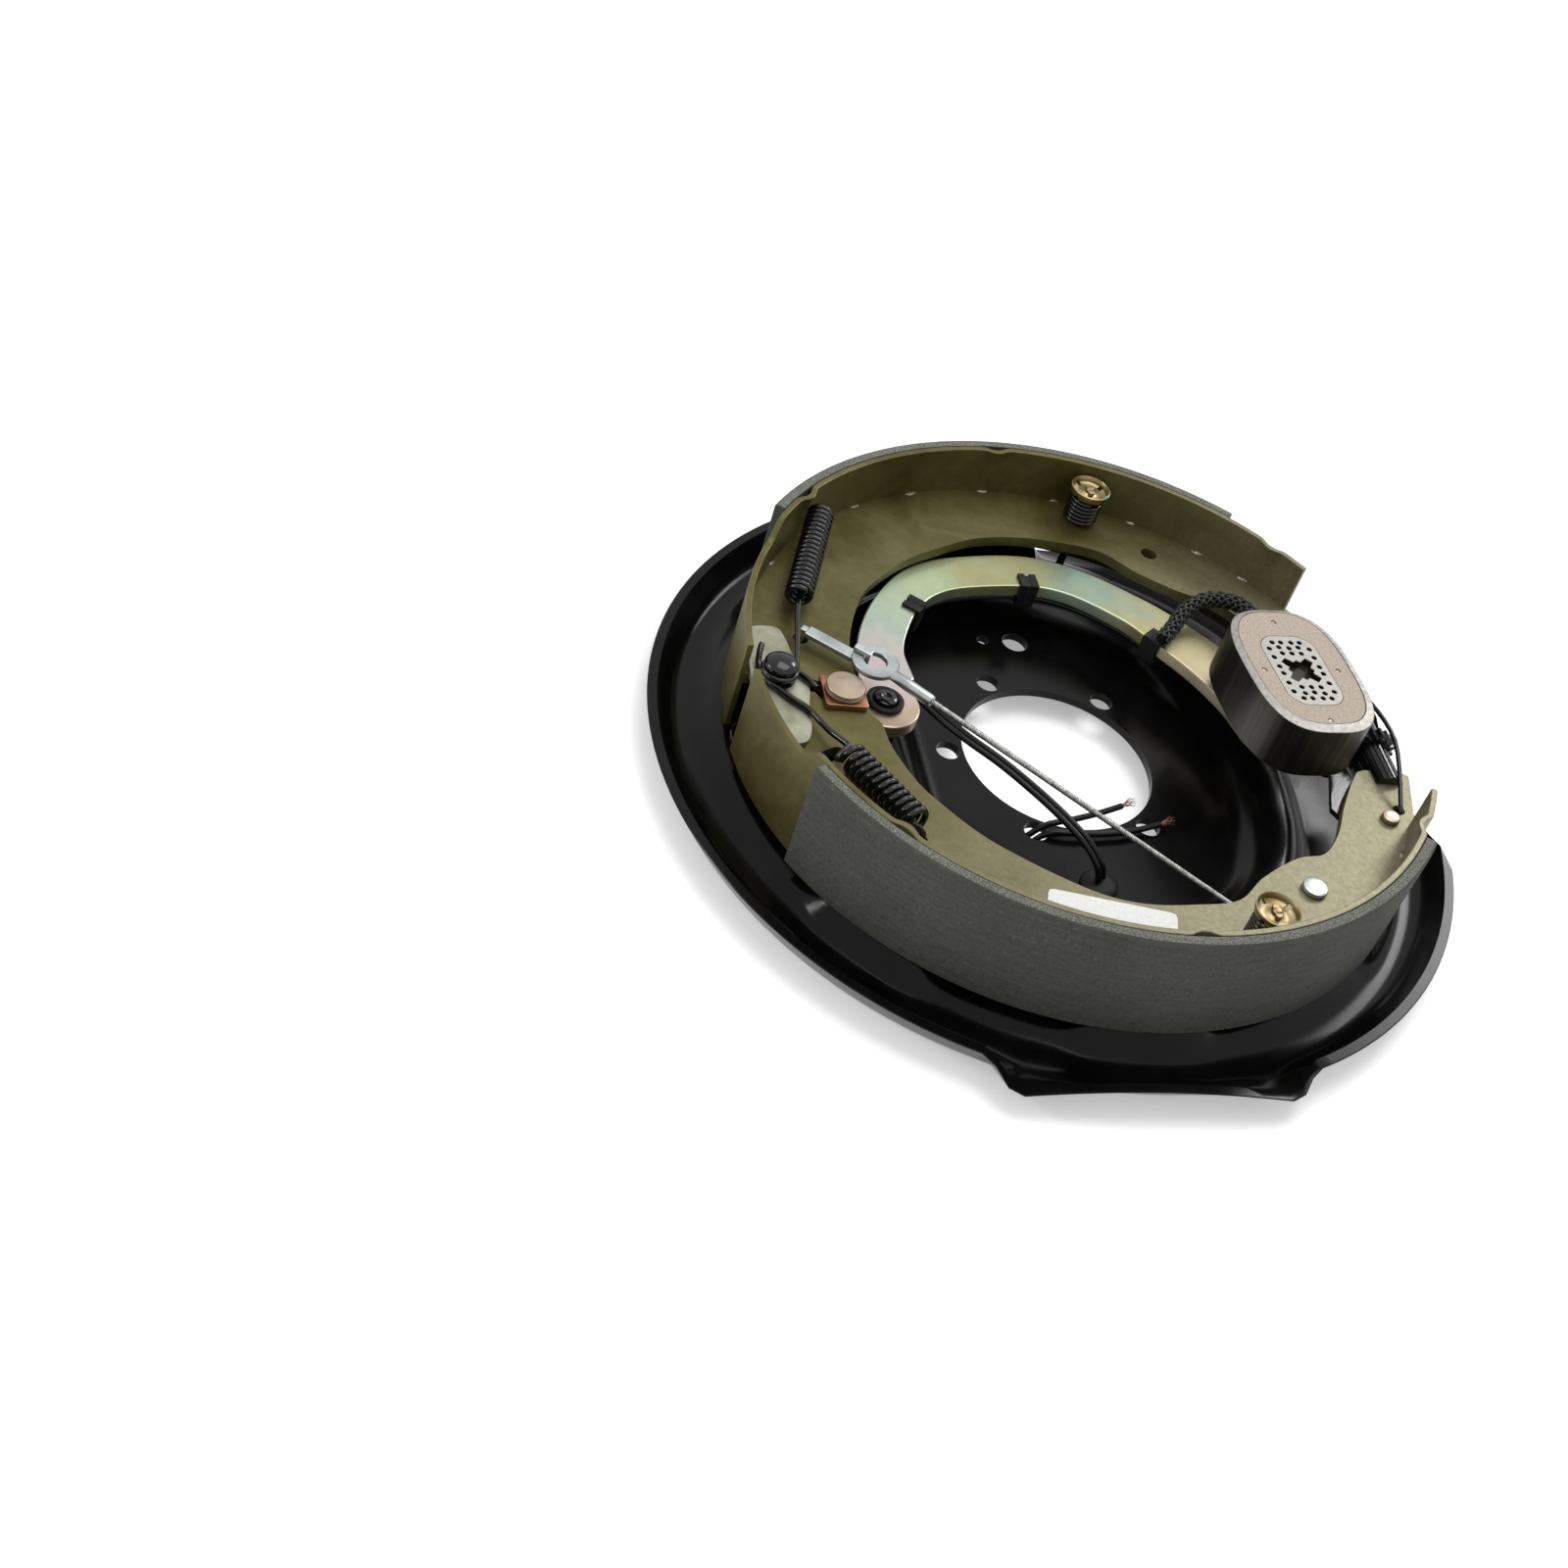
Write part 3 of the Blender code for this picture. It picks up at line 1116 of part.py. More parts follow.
def cable_guide(material, body):
    """Grooved crescent under the secondary web that turns the cable towards the lever."""
    top = WEB_BOTTOM_Z - GAP
    bottom = top - GUIDE_H
    middle = (top + bottom) / 2
    groove_r = GUIDE_ARC_R - CABLE_R - GAP
    rim_r = GUIDE_ARC_R + GUIDE_FLANGE
    half = CABLE_R + GAP
    profile = ((0.0055, bottom), (rim_r, bottom), (rim_r, middle - half - 0.0006), (groove_r, middle - half),
               (groove_r, middle + half), (rim_r, middle + half + 0.0006), (rim_r, top), (0.0055, top))
    count = 16
    sections = []
    for step in range(count + 1):
        angle = GUIDE_FROM + (GUIDE_TO - GUIDE_FROM) * step / count
        sections.append([(*polar(radius, angle, (GUIDE_X, GUIDE_Y)), height) for radius, height in profile])
    guide = add_mesh("cable_guide", lofted(sections), material, body)
    hole = cylinder((GUIDE_RIVET_X, GUIDE_RIVET_Y), SMALL_STEM_R + RUNNING, bottom - GUIDE_H, top + GUIDE_H, 14)
    cut(guide, hole, "rivet")
    return guide


def cable_link(material, body):
    """Bent strap: hooked in the primary web, and folded through the cable's eye."""
    eye_near = LINK_LENGTH - EYE_HOLE_R
    strap_top = EYE_Z - GAP
    strap_low = strap_top - LINK_T
    fold_low = EYE_Z + EYE_T + GAP
    leg_low = WEB_BOTTOM_Z - GAP - LINK_T
    tab_near = eye_near + 0.0008
    tab_far = tab_near + LINK_T
    side = [(-LINK_T / 2 - 0.003, leg_low), (LINK_T / 2, leg_low), (LINK_T / 2, strap_low), (tab_far, strap_low),
            (tab_far, fold_low + LINK_T), (eye_near - 0.0050, fold_low + LINK_T), (eye_near - 0.0050, fold_low),
            (tab_near, fold_low), (tab_near, strap_top), (-LINK_T / 2, strap_top),
            (-LINK_T / 2, leg_low + LINK_T), (-LINK_T / 2 - 0.003, leg_low + LINK_T)]
    wide = [(LINK_T, strap_low), (eye_near - 0.0040, strap_low), (eye_near - 0.0040, strap_top), (LINK_T, strap_top)]
    turn = math.radians(LINK_ANGLE)
    along = Vector((math.cos(turn), math.sin(turn), 0.0))
    across = Vector((-along.y, along.x, 0.0))
    origin = Vector((LINK_X, LINK_Y, 0.0))
    shapes = []
    for outline, width in ((side, LINK_TAB_W), (wide, LINK_W)):
        sections = []
        for half in (-width / 2, width / 2):
            sections.append([origin + along * distance + across * half + Vector((0.0, 0.0, height))
                             for distance, height in outline])
        shapes.append(lofted(sections))
    link = add_mesh("cable_link", shapes[0], material, body)
    join(link, shapes[1], "strap")
    return link


def cable_eye(material, body):
    ring = ((EYE_HOLE_R, EYE_Z), (EYE_R, EYE_Z), (EYE_R, EYE_Z + EYE_T), (EYE_HOLE_R, EYE_Z + EYE_T))
    eye = add_mesh("cable_eye", turned(ring, 24, (EYE_X, EYE_Y)), material, body)
    turn = math.radians(FERRULE_ANGLE)
    along = Vector((math.cos(turn), math.sin(turn), 0.0))
    centre = Vector((EYE_X, EYE_Y, EYE_Z + EYE_T / 2))
    start = centre + along * (EYE_HOLE_R + 0.0015)
    end = centre + along * FERRULE_LENGTH
    join(eye, wire([start, start.lerp(end, 0.5), end], FERRULE_R, 10), "ferrule")
    return eye


def adjuster_cable(material, body):
    turn = math.radians(FERRULE_ANGLE)
    along = Vector((math.cos(turn), math.sin(turn), 0.0))
    start = Vector((EYE_X, EYE_Y, EYE_Z + EYE_T / 2)) + along * (FERRULE_LENGTH + GAP)
    level = WEB_BOTTOM_Z - GAP - GUIDE_H / 2
    centre = (GUIDE_X, GUIDE_Y)
    bend = [(*polar(GUIDE_ARC_R, angle, centre), level) for angle in (141.0, 156.0, 171.0, 186.0, 201.0, 216.0, 229.0)]
    run = [start.lerp(Vector(bend[0]), share / 10) for share in range(10)]
    last = Vector((-0.0632, -0.1131, LEVER_TOP_Z - LEVER_T / 2))
    tail = [Vector(bend[-1]).lerp(last, share / 5) for share in range(1, 6)]
    return tube("adjuster_cable", run + bend + tail, CABLE_R, material, body)


SLEEVE = ((0.0480, -0.0515, 0.0425), (0.0555, -0.0585, 0.0436), (0.0630, -0.0645, 0.0458),
          (0.0690, -0.0720, 0.0475), (0.0720, -0.0820, 0.0488), (0.0690, -0.0915, 0.0500),
          (0.0610, -0.0960, 0.0510), (0.0510, -0.0945, 0.0516), (0.0432, -0.0885, 0.0520))
ARM_LEAD = ((0.0560, -0.0540, 0.0294), (0.0695, -0.0420, 0.0294), (0.0828, -0.0215, 0.0294),
            (0.0872, 0.0000, 0.0294), (0.0825, 0.0300, 0.0294), (0.0757, 0.0466, 0.0294),
            (0.0643, 0.0589, 0.0294), (0.0494, 0.0676, 0.0294))
PLATE_LEAD = ((0.0420, 0.0680, 0.0292), (0.0300, 0.0672, 0.0286), (0.0170, 0.0650, 0.0295),
              (0.0020, 0.0600, 0.0320), (-0.0130, 0.0510, 0.0335), (-0.0270, 0.0385, 0.0335),
              (-0.0400, 0.0270, 0.0320), (-0.0520, 0.0170, 0.0300), (-0.0630, 0.0085, 0.0270),
              (-0.0705, 0.0035, 0.0225), (-0.0733, 0.0015, 0.0165))


def lead_pair(name, route, spread, material, body):
    """Two wires side by side, each a cord of its own."""
    items = []
    for index, side in enumerate((-1, 1)):
        centre = curve_through(route, 2)
        across = Vector((1.0, 0.0, 0.0))
        points = []
        for step, point in enumerate(centre):
            ahead = centre[min(step + 1, len(centre) - 1)]
            behind = centre[max(step - 1, 0)]
            along = (ahead - behind).normalized()
            if along.xy.length > 0.5:
                across = Vector((-along.y, along.x, 0.0)).normalized()
            points.append(point + across * (side * spread))
        items.append(tube("%s_%d" % (name, index + 1), points, LEAD_R, material, body))
    return items


# The free ends: through the grommet, round behind the hub and forward through a bolt hole
FREE_LEAD_1 = ((-0.0755, 0.0012, 0.0058), (-0.0770, 0.0020, 0.0042), (-0.0800, 0.0090, 0.0030),
               (-0.0780, 0.0230, 0.0030), (-0.0690, 0.0350, 0.0032), (-0.0570, 0.0380, 0.0034),
               (-0.0480, 0.0330, 0.0042), (-0.0450, 0.0260, 0.0075), (-0.0443, 0.0215, 0.0125),
               (-0.0435, 0.0160, 0.0165), (-0.0405, 0.0040, 0.0172), (-0.0360, -0.0090, 0.0175),
               (-0.0318, -0.0190, 0.0178))
FREE_LEAD_2 = ((-0.0715, 0.0012, 0.0058), (-0.0700, 0.0030, 0.0042), (-0.0690, 0.0110, 0.0030),
               (-0.0680, 0.0190, 0.0030), (-0.0620, 0.0270, 0.0030), (-0.0540, 0.0290, 0.0034),
               (-0.0490, 0.0260, 0.0050), (-0.0475, 0.0225, 0.0085), (-0.0474, 0.0195, 0.0130),
               (-0.0475, 0.0140, 0.0158), (-0.0478, 0.0020, 0.0160), (-0.0455, -0.0170, 0.0160),
               (-0.0395, -0.0350, 0.0162))


def arm_clip(name, station, material, body):
    """Clip round the inner edge of the arm at a station of its centre line, with the leads under the arm."""
    x, y, half_width = ARM_LINE[station]
    ahead = Vector(ARM_LINE[station + 1][:2])
    behind = Vector(ARM_LINE[station - 1][:2])
    along = (ahead - behind).normalized().to_3d()
    outward = Vector((-along.y, along.x, 0.0))
    edge = Vector((x, y, 0.0)) - outward * (half_width + 2 * GAP)
    high = ARM_TOP_Z + GAP + CLIP_T
    low = ARM_BOTTOM_Z - 2 * GAP - 2 * LEAD_R - CLIP_T
    side = [(CLIP_REACH, high), (-CLIP_T, high), (-CLIP_T, low), (CLIP_REACH, low), (CLIP_REACH, low + CLIP_T),
            (0.0, low + CLIP_T), (0.0, high - CLIP_T), (CLIP_REACH, high - CLIP_T)]
    sections = []
    for half in (-CLIP_W / 2, CLIP_W / 2):
        sections.append([edge + outward * distance + along * half + Vector((0.0, 0.0, height))
                         for distance, height in side])
    return add_mesh(name, lofted(sections), material, body)


def grommet(material, body):
    x = -SIDE_HOLE_X
    y = SIDE_HOLE_Y
    neck = SIDE_HOLE_R - RUNNING
    front = HUB_Z + GAP
    back = HUB_BACK_Z - GAP
    profile = ((0.0, back - GROMMET_T), (GROMMET_R * 0.8, back - GROMMET_T), (GROMMET_R * 0.8, back), (neck, back),
               (neck, front), (GROMMET_R, front), (GROMMET_R * 0.8, front + GROMMET_T), (0.0, front + GROMMET_T))
    item = add_mesh("grommet", turned(profile, 20, (x, y)), material, body)
    strap = box((x - STRAP_W / 2, y, back - GROMMET_T), (x + STRAP_W / 2, SMALL_HOLE_Y, back))
    join(item, strap, "strap")
    plug = ((0.0, back - GROMMET_T), (STRAP_DISC_R, back - GROMMET_T), (STRAP_DISC_R, back),
            (SMALL_HOLE_R - RUNNING, back), (SMALL_HOLE_R - RUNNING, front), (0.0, front))
    join(item, turned(plug, 14, (x, SMALL_HOLE_Y)), "plug")
    return item


def slot_plug(index, angle, material, body):
    centre = polar(SLOT_CIRCLE_R, angle)
    back = ANNULUS_BACK_Z - GAP
    thick = 0.0018
    plug = add_mesh("slot_plug_%d" % index, prism(stadium(centre, 0.031, 0.014), back - thick, back), material, body)
    scale = 1.0 - 2 * GAP / SLOT_WIDTH
    core = [(centre[0] + (x - centre[0]) * 0.965, centre[1] + (y - centre[1]) * scale) for x, y in dog_bone(centre)]
    join(plug, prism(core, back - thick / 2, ANNULUS_Z), "core")
    cut(plug, prism(stadium(centre, SLOT_LENGTH * 0.8, SLOT_WIDTH * 0.6, 4), back - 2 * thick, back + 0.0010),
        "recess")
    return plug


def build():
    clear_scene()
    materials = {
        "plate": make_material("black e-coat", (0.018, 0.018, 0.019), 0.28, 0.0),
        "shoe": make_material("olive chromate steel", (0.30, 0.27, 0.17), 0.42, 0.75),
        "lining": make_material("friction lining", (0.17, 0.175, 0.17), 0.85, 0.0),
        "spring": make_material("black spring steel", (0.03, 0.03, 0.03), 0.32, 0.6),
        "black steel": make_material("black steel", (0.03, 0.03, 0.03), 0.35, 0.6),
        "zinc": make_material("pale zinc", (0.72, 0.70, 0.60), 0.32, 0.9),
        "bright zinc": make_material("bright zinc", (0.75, 0.78, 0.80), 0.28, 0.95),
        "chromate": make_material("iridescent chromate", (0.70, 0.66, 0.48), 0.33, 0.85),
        "copper": make_material("copper block", (0.72, 0.42, 0.30), 0.38, 0.9),
        "rivet": make_material("pink brass zinc", (0.68, 0.58, 0.47), 0.36, 0.9),
        "brass zinc": make_material("brass zinc", (0.68, 0.62, 0.40), 0.35, 0.9),
        "magnet": make_material("brushed dark steel", (0.20, 0.20, 0.20), 0.35, 0.9),
        "friction": make_material("friction compound", (0.62, 0.54, 0.47), 0.75, 0.0),
        "core": make_material("sintered core", (0.62, 0.62, 0.62), 0.5, 0.7),
        "cable": make_material("steel cable", (0.55, 0.55, 0.54), 0.35, 0.9),
        "rubber": make_material("black rubber", (0.02, 0.02, 0.02), 0.65, 0.0),
        "lead": make_material("black insulation", (0.02, 0.02, 0.02), 0.4, 0.0),
        "sleeve": make_material("braided sleeve", (0.03, 0.03, 0.03), 0.8, 0.0),
    }
    wheel = add_empty("wheel_axis", None, (WHEEL_X, WHEEL_Y, 0.0))
    primary = add_empty("primary_axis", wheel, (NOSE_X, ADJUSTER_Y, WEB_MID_Z))
    secondary = add_empty("secondary_axis", wheel, (0.0, ANCHOR_Y, WEB_MID_Z))
    lever_axis = add_empty("lever_axis", secondary,
                           (LEVER_PIN_X, LEVER_PIN_Y - ANCHOR_Y, LEVER_TOP_Z - WEB_MID_Z))
    arm_axis = add_empty("arm_axis", wheel, (0.0, PIVOT_Y, ARM_TOP_Z))
    block_axis = add_empty("block_axis", arm_axis, (BLOCK_X, BLOCK_Y - PIVOT_Y, 0.0))
    magnet_axis = add_empty("magnet_axis", arm_axis, (MAGNET_X, MAGNET_Y - PIVOT_Y, MAGNET_LIFT))
    socket_axis = add_empty("socket_axis", wheel, (SOCKET_END_X, ADJUSTER_Y, WEB_MID_Z))
    star_axis = add_empty("star_axis", socket_axis, (GAP, 0.0, 0.0))

    backing_plate(materials["plate"], wheel)
    anchor_post(materials["black steel"], wheel)
    guide_plate(materials["zinc"], wheel)
    arm_pivot(materials["black steel"], wheel)
    pivot_ring(materials["rubber"], wheel)
    grommet(materials["rubber"], wheel)
    for index, angle in enumerate(SLOT_ANGLES, 1):
        slot_plug(index, angle, materials["rubber"], wheel)
    for index, angle in enumerate(HOLD_ANGLES, 1):
        hold_down(index, angle, materials, wheel)
    adjuster_nut(materials["black steel"], wheel)
    adjuster_spring(materials["spring"], wheel)
    lead_pair("plate_lead", PLATE_LEAD, 0.0015, materials["lead"], wheel)
    tube("free_lead_1", curve_through(FREE_LEAD_1, 2), LEAD_R, materials["lead"], wheel)
    tube("free_lead_2", curve_through(FREE_LEAD_2, 2), LEAD_R, materials["lead"], wheel)

    brake_shoe("primary_shoe", 1, materials["shoe"], primary)
    lining("primary_lining", PRIMARY_LINING_FROM, PRIMARY_LINING_TO, materials["lining"], primary)
    primary_spring(materials["spring"], primary)
    cable_link(materials["bright zinc"], primary)
    cable_eye(materials["bright zinc"], primary)

    brake_shoe("secondary_shoe", -1, materials["shoe"], secondary)
    lining("secondary_lining", SECONDARY_LINING_FROM, SECONDARY_LINING_TO, materials["lining"], secondary)
    secondary_spring(materials["spring"], secondary)
    cable_guide(materials["black steel"], secondary)
    adjuster_cable(materials["cable"], secondary)
    guide_low = WEB_BOTTOM_Z - 2 * GAP - GUIDE_H
    small_rivet("guide_rivet", (GUIDE_RIVET_X, GUIDE_RIVET_Y), GUIDE_HEAD_R, guide_low, materials["bright zinc"],
                secondary)
    lever_low = LEVER_TOP_Z - LEVER_T - GAP
    small_rivet("lever_rivet", (LEVER_PIN_X, LEVER_PIN_Y), LEVER_HEAD_R, lever_low, materials["rivet"], secondary)
    adjuster_lever(materials["black steel"], lever_axis)

    actuating_arm(materials["chromate"], arm_axis)
    block_rivet(materials["rivet"], arm_axis)
    spreading_block(materials["copper"], block_axis)
    magnet_spring(materials["spring"], arm_axis)
    tube("magnet_sleeve", curve_through(SLEEVE, 2), SLEEVE_R, materials["sleeve"], arm_axis)
    lead_pair("arm_lead", ARM_LEAD, 0.0015, materials["lead"], arm_axis)
    for index, station in enumerate(LEAD_CLIP_STATIONS, 1):
        arm_clip("lead_clip_%d" % index, station, materials["rubber"], arm_axis)
    arm_clip("sleeve_clip", SLEEVE_CLIP_STATION, materials["rubber"], arm_axis)

    magnet_body(materials["magnet"], magnet_axis)
    magnet_face(materials["friction"], magnet_axis)
    magnet_core(materials["core"], magnet_axis)

    adjuster_socket(materials["black steel"], socket_axis)
    adjuster_screw(materials["black steel"], star_axis)


build()
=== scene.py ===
"""Looks of the electric trailer brake assembly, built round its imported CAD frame.

Pieces are drawn about the wheel axis, in metres, +Z outboard and +Y towards the anchor post, and are
then moved to the frame's own origin. The pressed plate, shoes, linings, springs, magnet, cable and
leads are made here with fine surfaces; each stands for the CAD node of the same part.
"""
import json
import math
import random

import bmesh
import bpy
import numpy as np
from mathutils import Matrix, Vector

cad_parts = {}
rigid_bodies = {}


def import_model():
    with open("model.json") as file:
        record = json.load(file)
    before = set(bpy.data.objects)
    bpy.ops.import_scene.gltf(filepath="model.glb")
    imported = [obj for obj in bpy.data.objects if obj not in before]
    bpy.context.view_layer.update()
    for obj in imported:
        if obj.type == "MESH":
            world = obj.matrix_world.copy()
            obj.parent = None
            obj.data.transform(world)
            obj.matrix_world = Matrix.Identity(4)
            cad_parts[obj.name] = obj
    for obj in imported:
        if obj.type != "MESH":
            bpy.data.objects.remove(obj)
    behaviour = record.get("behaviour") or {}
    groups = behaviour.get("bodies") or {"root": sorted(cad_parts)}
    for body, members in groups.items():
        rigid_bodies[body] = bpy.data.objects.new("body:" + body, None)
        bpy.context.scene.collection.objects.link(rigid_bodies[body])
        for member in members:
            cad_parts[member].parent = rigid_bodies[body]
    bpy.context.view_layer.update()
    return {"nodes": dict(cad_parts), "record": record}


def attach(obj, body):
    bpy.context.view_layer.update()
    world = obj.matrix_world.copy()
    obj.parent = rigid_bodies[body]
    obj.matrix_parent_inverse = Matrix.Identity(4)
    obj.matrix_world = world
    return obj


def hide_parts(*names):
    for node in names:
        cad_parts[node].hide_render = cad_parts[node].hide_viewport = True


for stray in list(bpy.data.objects):
    bpy.data.objects.remove(stray, do_unlink=True)
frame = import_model()


def mm(*points):
    """Points given in millimetres, as metres."""
    return [tuple(value / 1000.0 for value in point) for point in points]


# The wheel axis in the frame, and the camera that matches the photograph
WHEEL = Vector((0.01125, -0.0045, 0.0))
CAMERA_PLACE = (-0.6235957, 0.3664800, 0.6028998)
CAMERA_TURN = (46.49257, -13.84137, -99.23285)
CAMERA_LENS = 50.73
CAMERA_SENSOR = 36.0

# Lamps with their places, sides and powers. World and floor: strength in other light, and as seen
LAMPS = (("overhead", (0.3, -0.2, 1.5), 0.9, 9.0), ("behind", (0.95, -1.15, 1.05), 0.4, 6.5),
         ("left", (0.2, 1.5, 0.8), 0.3, 4.5))
WORLD_LIGHT = (0.55, 1.0)
FLOOR_GLOW = (0.0, 0.36)
FLOOR_HALF = 3.0
FLOOR_Z = -0.0002

# Sharpest turn in degrees that stays smooth on a piece with eased edges, so that its flats stay flat
EASED_SHARP = 18.0
# Smallest turn whose edge is eased, and the radius below which a profile is on its axis
BEVEL_ANGLE = 40.0
AXIS_R = 1e-6

# Clearances and the pressed plate
GAP = 0.0003
SHEET = 0.0037
CENTRE_HOLE_R = 0.0423
RIM_R = 0.177
RIM_TOP_Z = 0.0146
RIM_LAND = 0.0042
RIM_EASE = 0.0004
FLAT_LEFT = 0.1775
FLAT_LEFT_FROM = -0.055
FLAT_LEFT_TO = 0.062
FLAT_LEFT_DROP = 0.45
FLAT_FADE = 4.5
FLAT_BOTTOM = 0.168
FLAT_RIGHT = 0.155
HUB_Z = 0.0131
MOAT_Z = 0.0202
MOAT_SHALLOW_Z = 0.0162
MOAT_SHALLOW_FROM = -43.0
MOAT_SHALLOW_TO = 12.0
MOAT_RAMP = 7.0
ANNULUS_Z = 0.0096
PAD_Z = 0.0148
HUB_CHORD_Y = 0.062
PLATFORM_Y = 0.071
HUB_EDGE = ((-180, 0.0925), (-150, 0.0912), (-137, 0.0883), (-123, 0.0813), (-102, 0.0754), (-79, 0.0756),
            (-52, 0.0844), (-36, 0.0905), (-6, 0.0930), (25, 0.0917), (45, 0.0900), (135, 0.0900),
            (151, 0.0905), (169, 0.0915))
MOAT_INNER = ((-180, 0.1025), (-145, 0.1000), (-131, 0.0955), (-120, 0.0905), (-102, 0.0872), (-84, 0.0885),
              (-67, 0.0930), (-54, 0.0990), (-43, 0.1035), (-6, 0.1030), (25, 0.1020), (45, 0.1010),
              (135, 0.1010), (151, 0.1010))
MOAT_OUTER = ((-180, 0.1140), (-160, 0.1150), (-143, 0.1130), (-128, 0.1070), (-101, 0.1010), (-85, 0.1017),
              (-62, 0.1094), (-45, 0.1120), (-6, 0.1103), (60, 0.1115), (127, 0.1103), (155, 0.1125))
MOAT_FLANK = 0.0070
CREASE_R = 0.145
TROUGH_INNER_R = 0.1545
TROUGH_OUTER_R = 0.166
PAD_INNER_R = 0.131
PAD_OUTER_R = 0.1465
PAD_FLANK = 0.0035
PADS = ((38.0, 55.0), (126.0, 144.0), (170.0, 188.5), (228.5, 246.5), (289.0, 308.0), (350.0, 365.0))
BEND = 0.0045
PLATE_STEP = 2.0
BOLT_CIRCLE_R = 0.0492
BOLT_HOLE_R = 0.00525
BOLT_ANGLES = (90.0, 155.0, 219.0, 321.0, 25.0)
SIDE_HOLE_X = 0.0735
SIDE_HOLE_Y = 0.0012
SIDE_HOLE_R = 0.0060
SMALL_HOLE_Y = 0.0165
SMALL_HOLE_R = 0.0030
PIN_HOLE_R = 0.0022
POST_HOLE_R = 0.0073
SLOT_CIRCLE_R = 0.1315
SLOT_ANGLES = (-99.5, -84.0)
SLOT_LENGTH = 0.0220
SLOT_WIDTH = 0.0052
SLOT_LOBE_R = 0.0040

# Shoes and linings
LINING_R = 0.151
LINING_T = 0.0047
TABLE_T = 0.0026
SHOE_WIDTH = 0.051
WEB_T = 0.005
WEB_ABOVE = 0.0232
TABLE_R = LINING_R - LINING_T - GAP
TABLE_INNER_R = TABLE_R - TABLE_T
SHOE_BASE_Z = PAD_Z + GAP
SHOE_TOP_Z = SHOE_BASE_Z + SHOE_WIDTH
WEB_BOTTOM_Z = SHOE_BASE_Z + WEB_ABOVE
WEB_TOP_Z = WEB_BOTTOM_Z + WEB_T
WEB_MID_Z = (WEB_BOTTOM_Z + WEB_TOP_Z) / 2
TABLE_NECK_DROP = 0.0075
TABLE_NECK_RAMP = 5.0
NIB_DEPTH = 0.0024
NIB_HEIGHT = 0.0090
NIB_HALF = 2.0
NOTCH_HALF = 65.0
WEB_NOSE = mm((28.5, -118.5), (27.0, -123.0), (27.0, -140.0), (29.0, -143.0), (45.0, -138.5),
              (57.5, -134.5))
WEB_HEEL = mm((36.0, -113.0), (51.0, -104.0), (66.0, -96.0), (78.0, -85.5), (81.5, -72.0), (93.0, -53.0),
              (106.0, -38.0))
PRIMARY_WEB_EDGE = mm((110.0, -18.0), (110.5, 1.0), (107.0, 21.0), (98.0, 40.0), (85.0, 61.0),
                      (66.0, 80.0), (50.0, 88.5), (34.0, 94.0), (19.0, 97.2))
SECONDARY_WEB_EDGE = mm((-109.5, -18.0), (-110.5, 0.0), (-108.0, 15.0), (-102.0, 28.5), (-91.0, 46.0),
                        (-78.0, 62.5), (-59.0, 78.0), (-48.0, 84.0), (-33.0, 89.0), (-20.0, 90.5))

# Places on the webs. A hole has a place and a radius
HOLD_CIRCLE_R = 0.1330
HOLD_ANGLES = (-14.6, -162.5)
PRIMARY_HOOK = (0.1010, 0.0960)
SECONDARY_HOOK = (-0.0826, 0.0877)
SPRING_HOLE = (0.0500, -0.1300)
LINK = (0.0283, 0.1165)
GUIDE_RIVET = (-0.0985, -0.0730)
LEVER_RIVET = (-0.0560, -0.1234)
OBLONG_ENDS = ((-0.0381, 0.1123), (-0.0408, 0.1171))
OBLONG_R = 0.0031
HOLD_HOLE_R = 0.0045
HOOK_HOLE_R = 0.0027
LABEL = mm((-104.8, 41.3), (-116.8, 44.9), (-127.0, -5.7), (-114.9, -8.9))
LABEL_CORNER = 0.0024
PRIMARY = {"side": 1, "table": (-57.5, 88.5), "lining": (-40.6, 54.8), "nibs": (-50.0, 4.0, 48.0),
           "bare": (54.8, 88.5), "body": "primary", "edge": PRIMARY_WEB_EDGE, "hold": HOLD_ANGLES[0],
           "holes": ((*PRIMARY_HOOK, HOOK_HOLE_R), (*LINK, 0.0033), (0.1080, -0.0630, 0.0038)),
           "welds": (72.0, 58.0, 45.0, 32.0, 19.0, 4.2, -10.0, -24.8, -38.3, -48.1)}
SECONDARY = {"side": -1, "table": (94.0, 245.5), "lining": (118.2, 233.0), "nibs": (134.0, 181.0, 236.0),
             "bare": (118.2, 94.0), "body": "secondary", "edge": SECONDARY_WEB_EDGE, "hold": HOLD_ANGLES[1],
             "holes": ((*SECONDARY_HOOK, HOOK_HOLE_R), (*LEVER_RIVET, 0.0025), (*GUIDE_RIVET, 0.0025)),
             "welds": [102.0 + 135.5 * spot / 9 for spot in range(10)]}

# Anchor, arm, block and magnet
ANCHOR_Y = 0.1315
POST_R = 0.0090
PIVOT_Y = 0.084
PIVOT_LOBE_R = 0.0150
RIVET_LOBE_R = 0.0076
LOBE_TANGENT = 34.2
RIVET_HOLE_R = 0.0038
PIVOT_HOLE_R = 0.0063
GUIDE_T = 0.0026
GUIDE_HOLE_R = 0.0071
ARM_T = 0.006
ARM_TOP_Z = WEB_BOTTOM_Z - 0.0011
ARM_BOTTOM_Z = ARM_TOP_Z - ARM_T
BLOCK_X = -0.0050
BLOCK_Y = 0.1045
BLOCK_CORE_W = 0.0125
BLOCK_CORE_H = 0.0140
MAGNET_X = 0.0017
MAGNET_Y = -0.0910
MAGNET_TURN = 5.0
MAGNET_L = 0.076
MAGNET_W = 0.053
MAGNET_Z = ARM_TOP_Z + 0.0090
MAGNET_TOP_Z = MAGNET_Z + 0.025
MAGNET_CURVE = 2.9
MAGNET_SLIDE = 0.0025
STUD_HOLE_R = 0.0053
CORE_HOLE_R = 0.0013
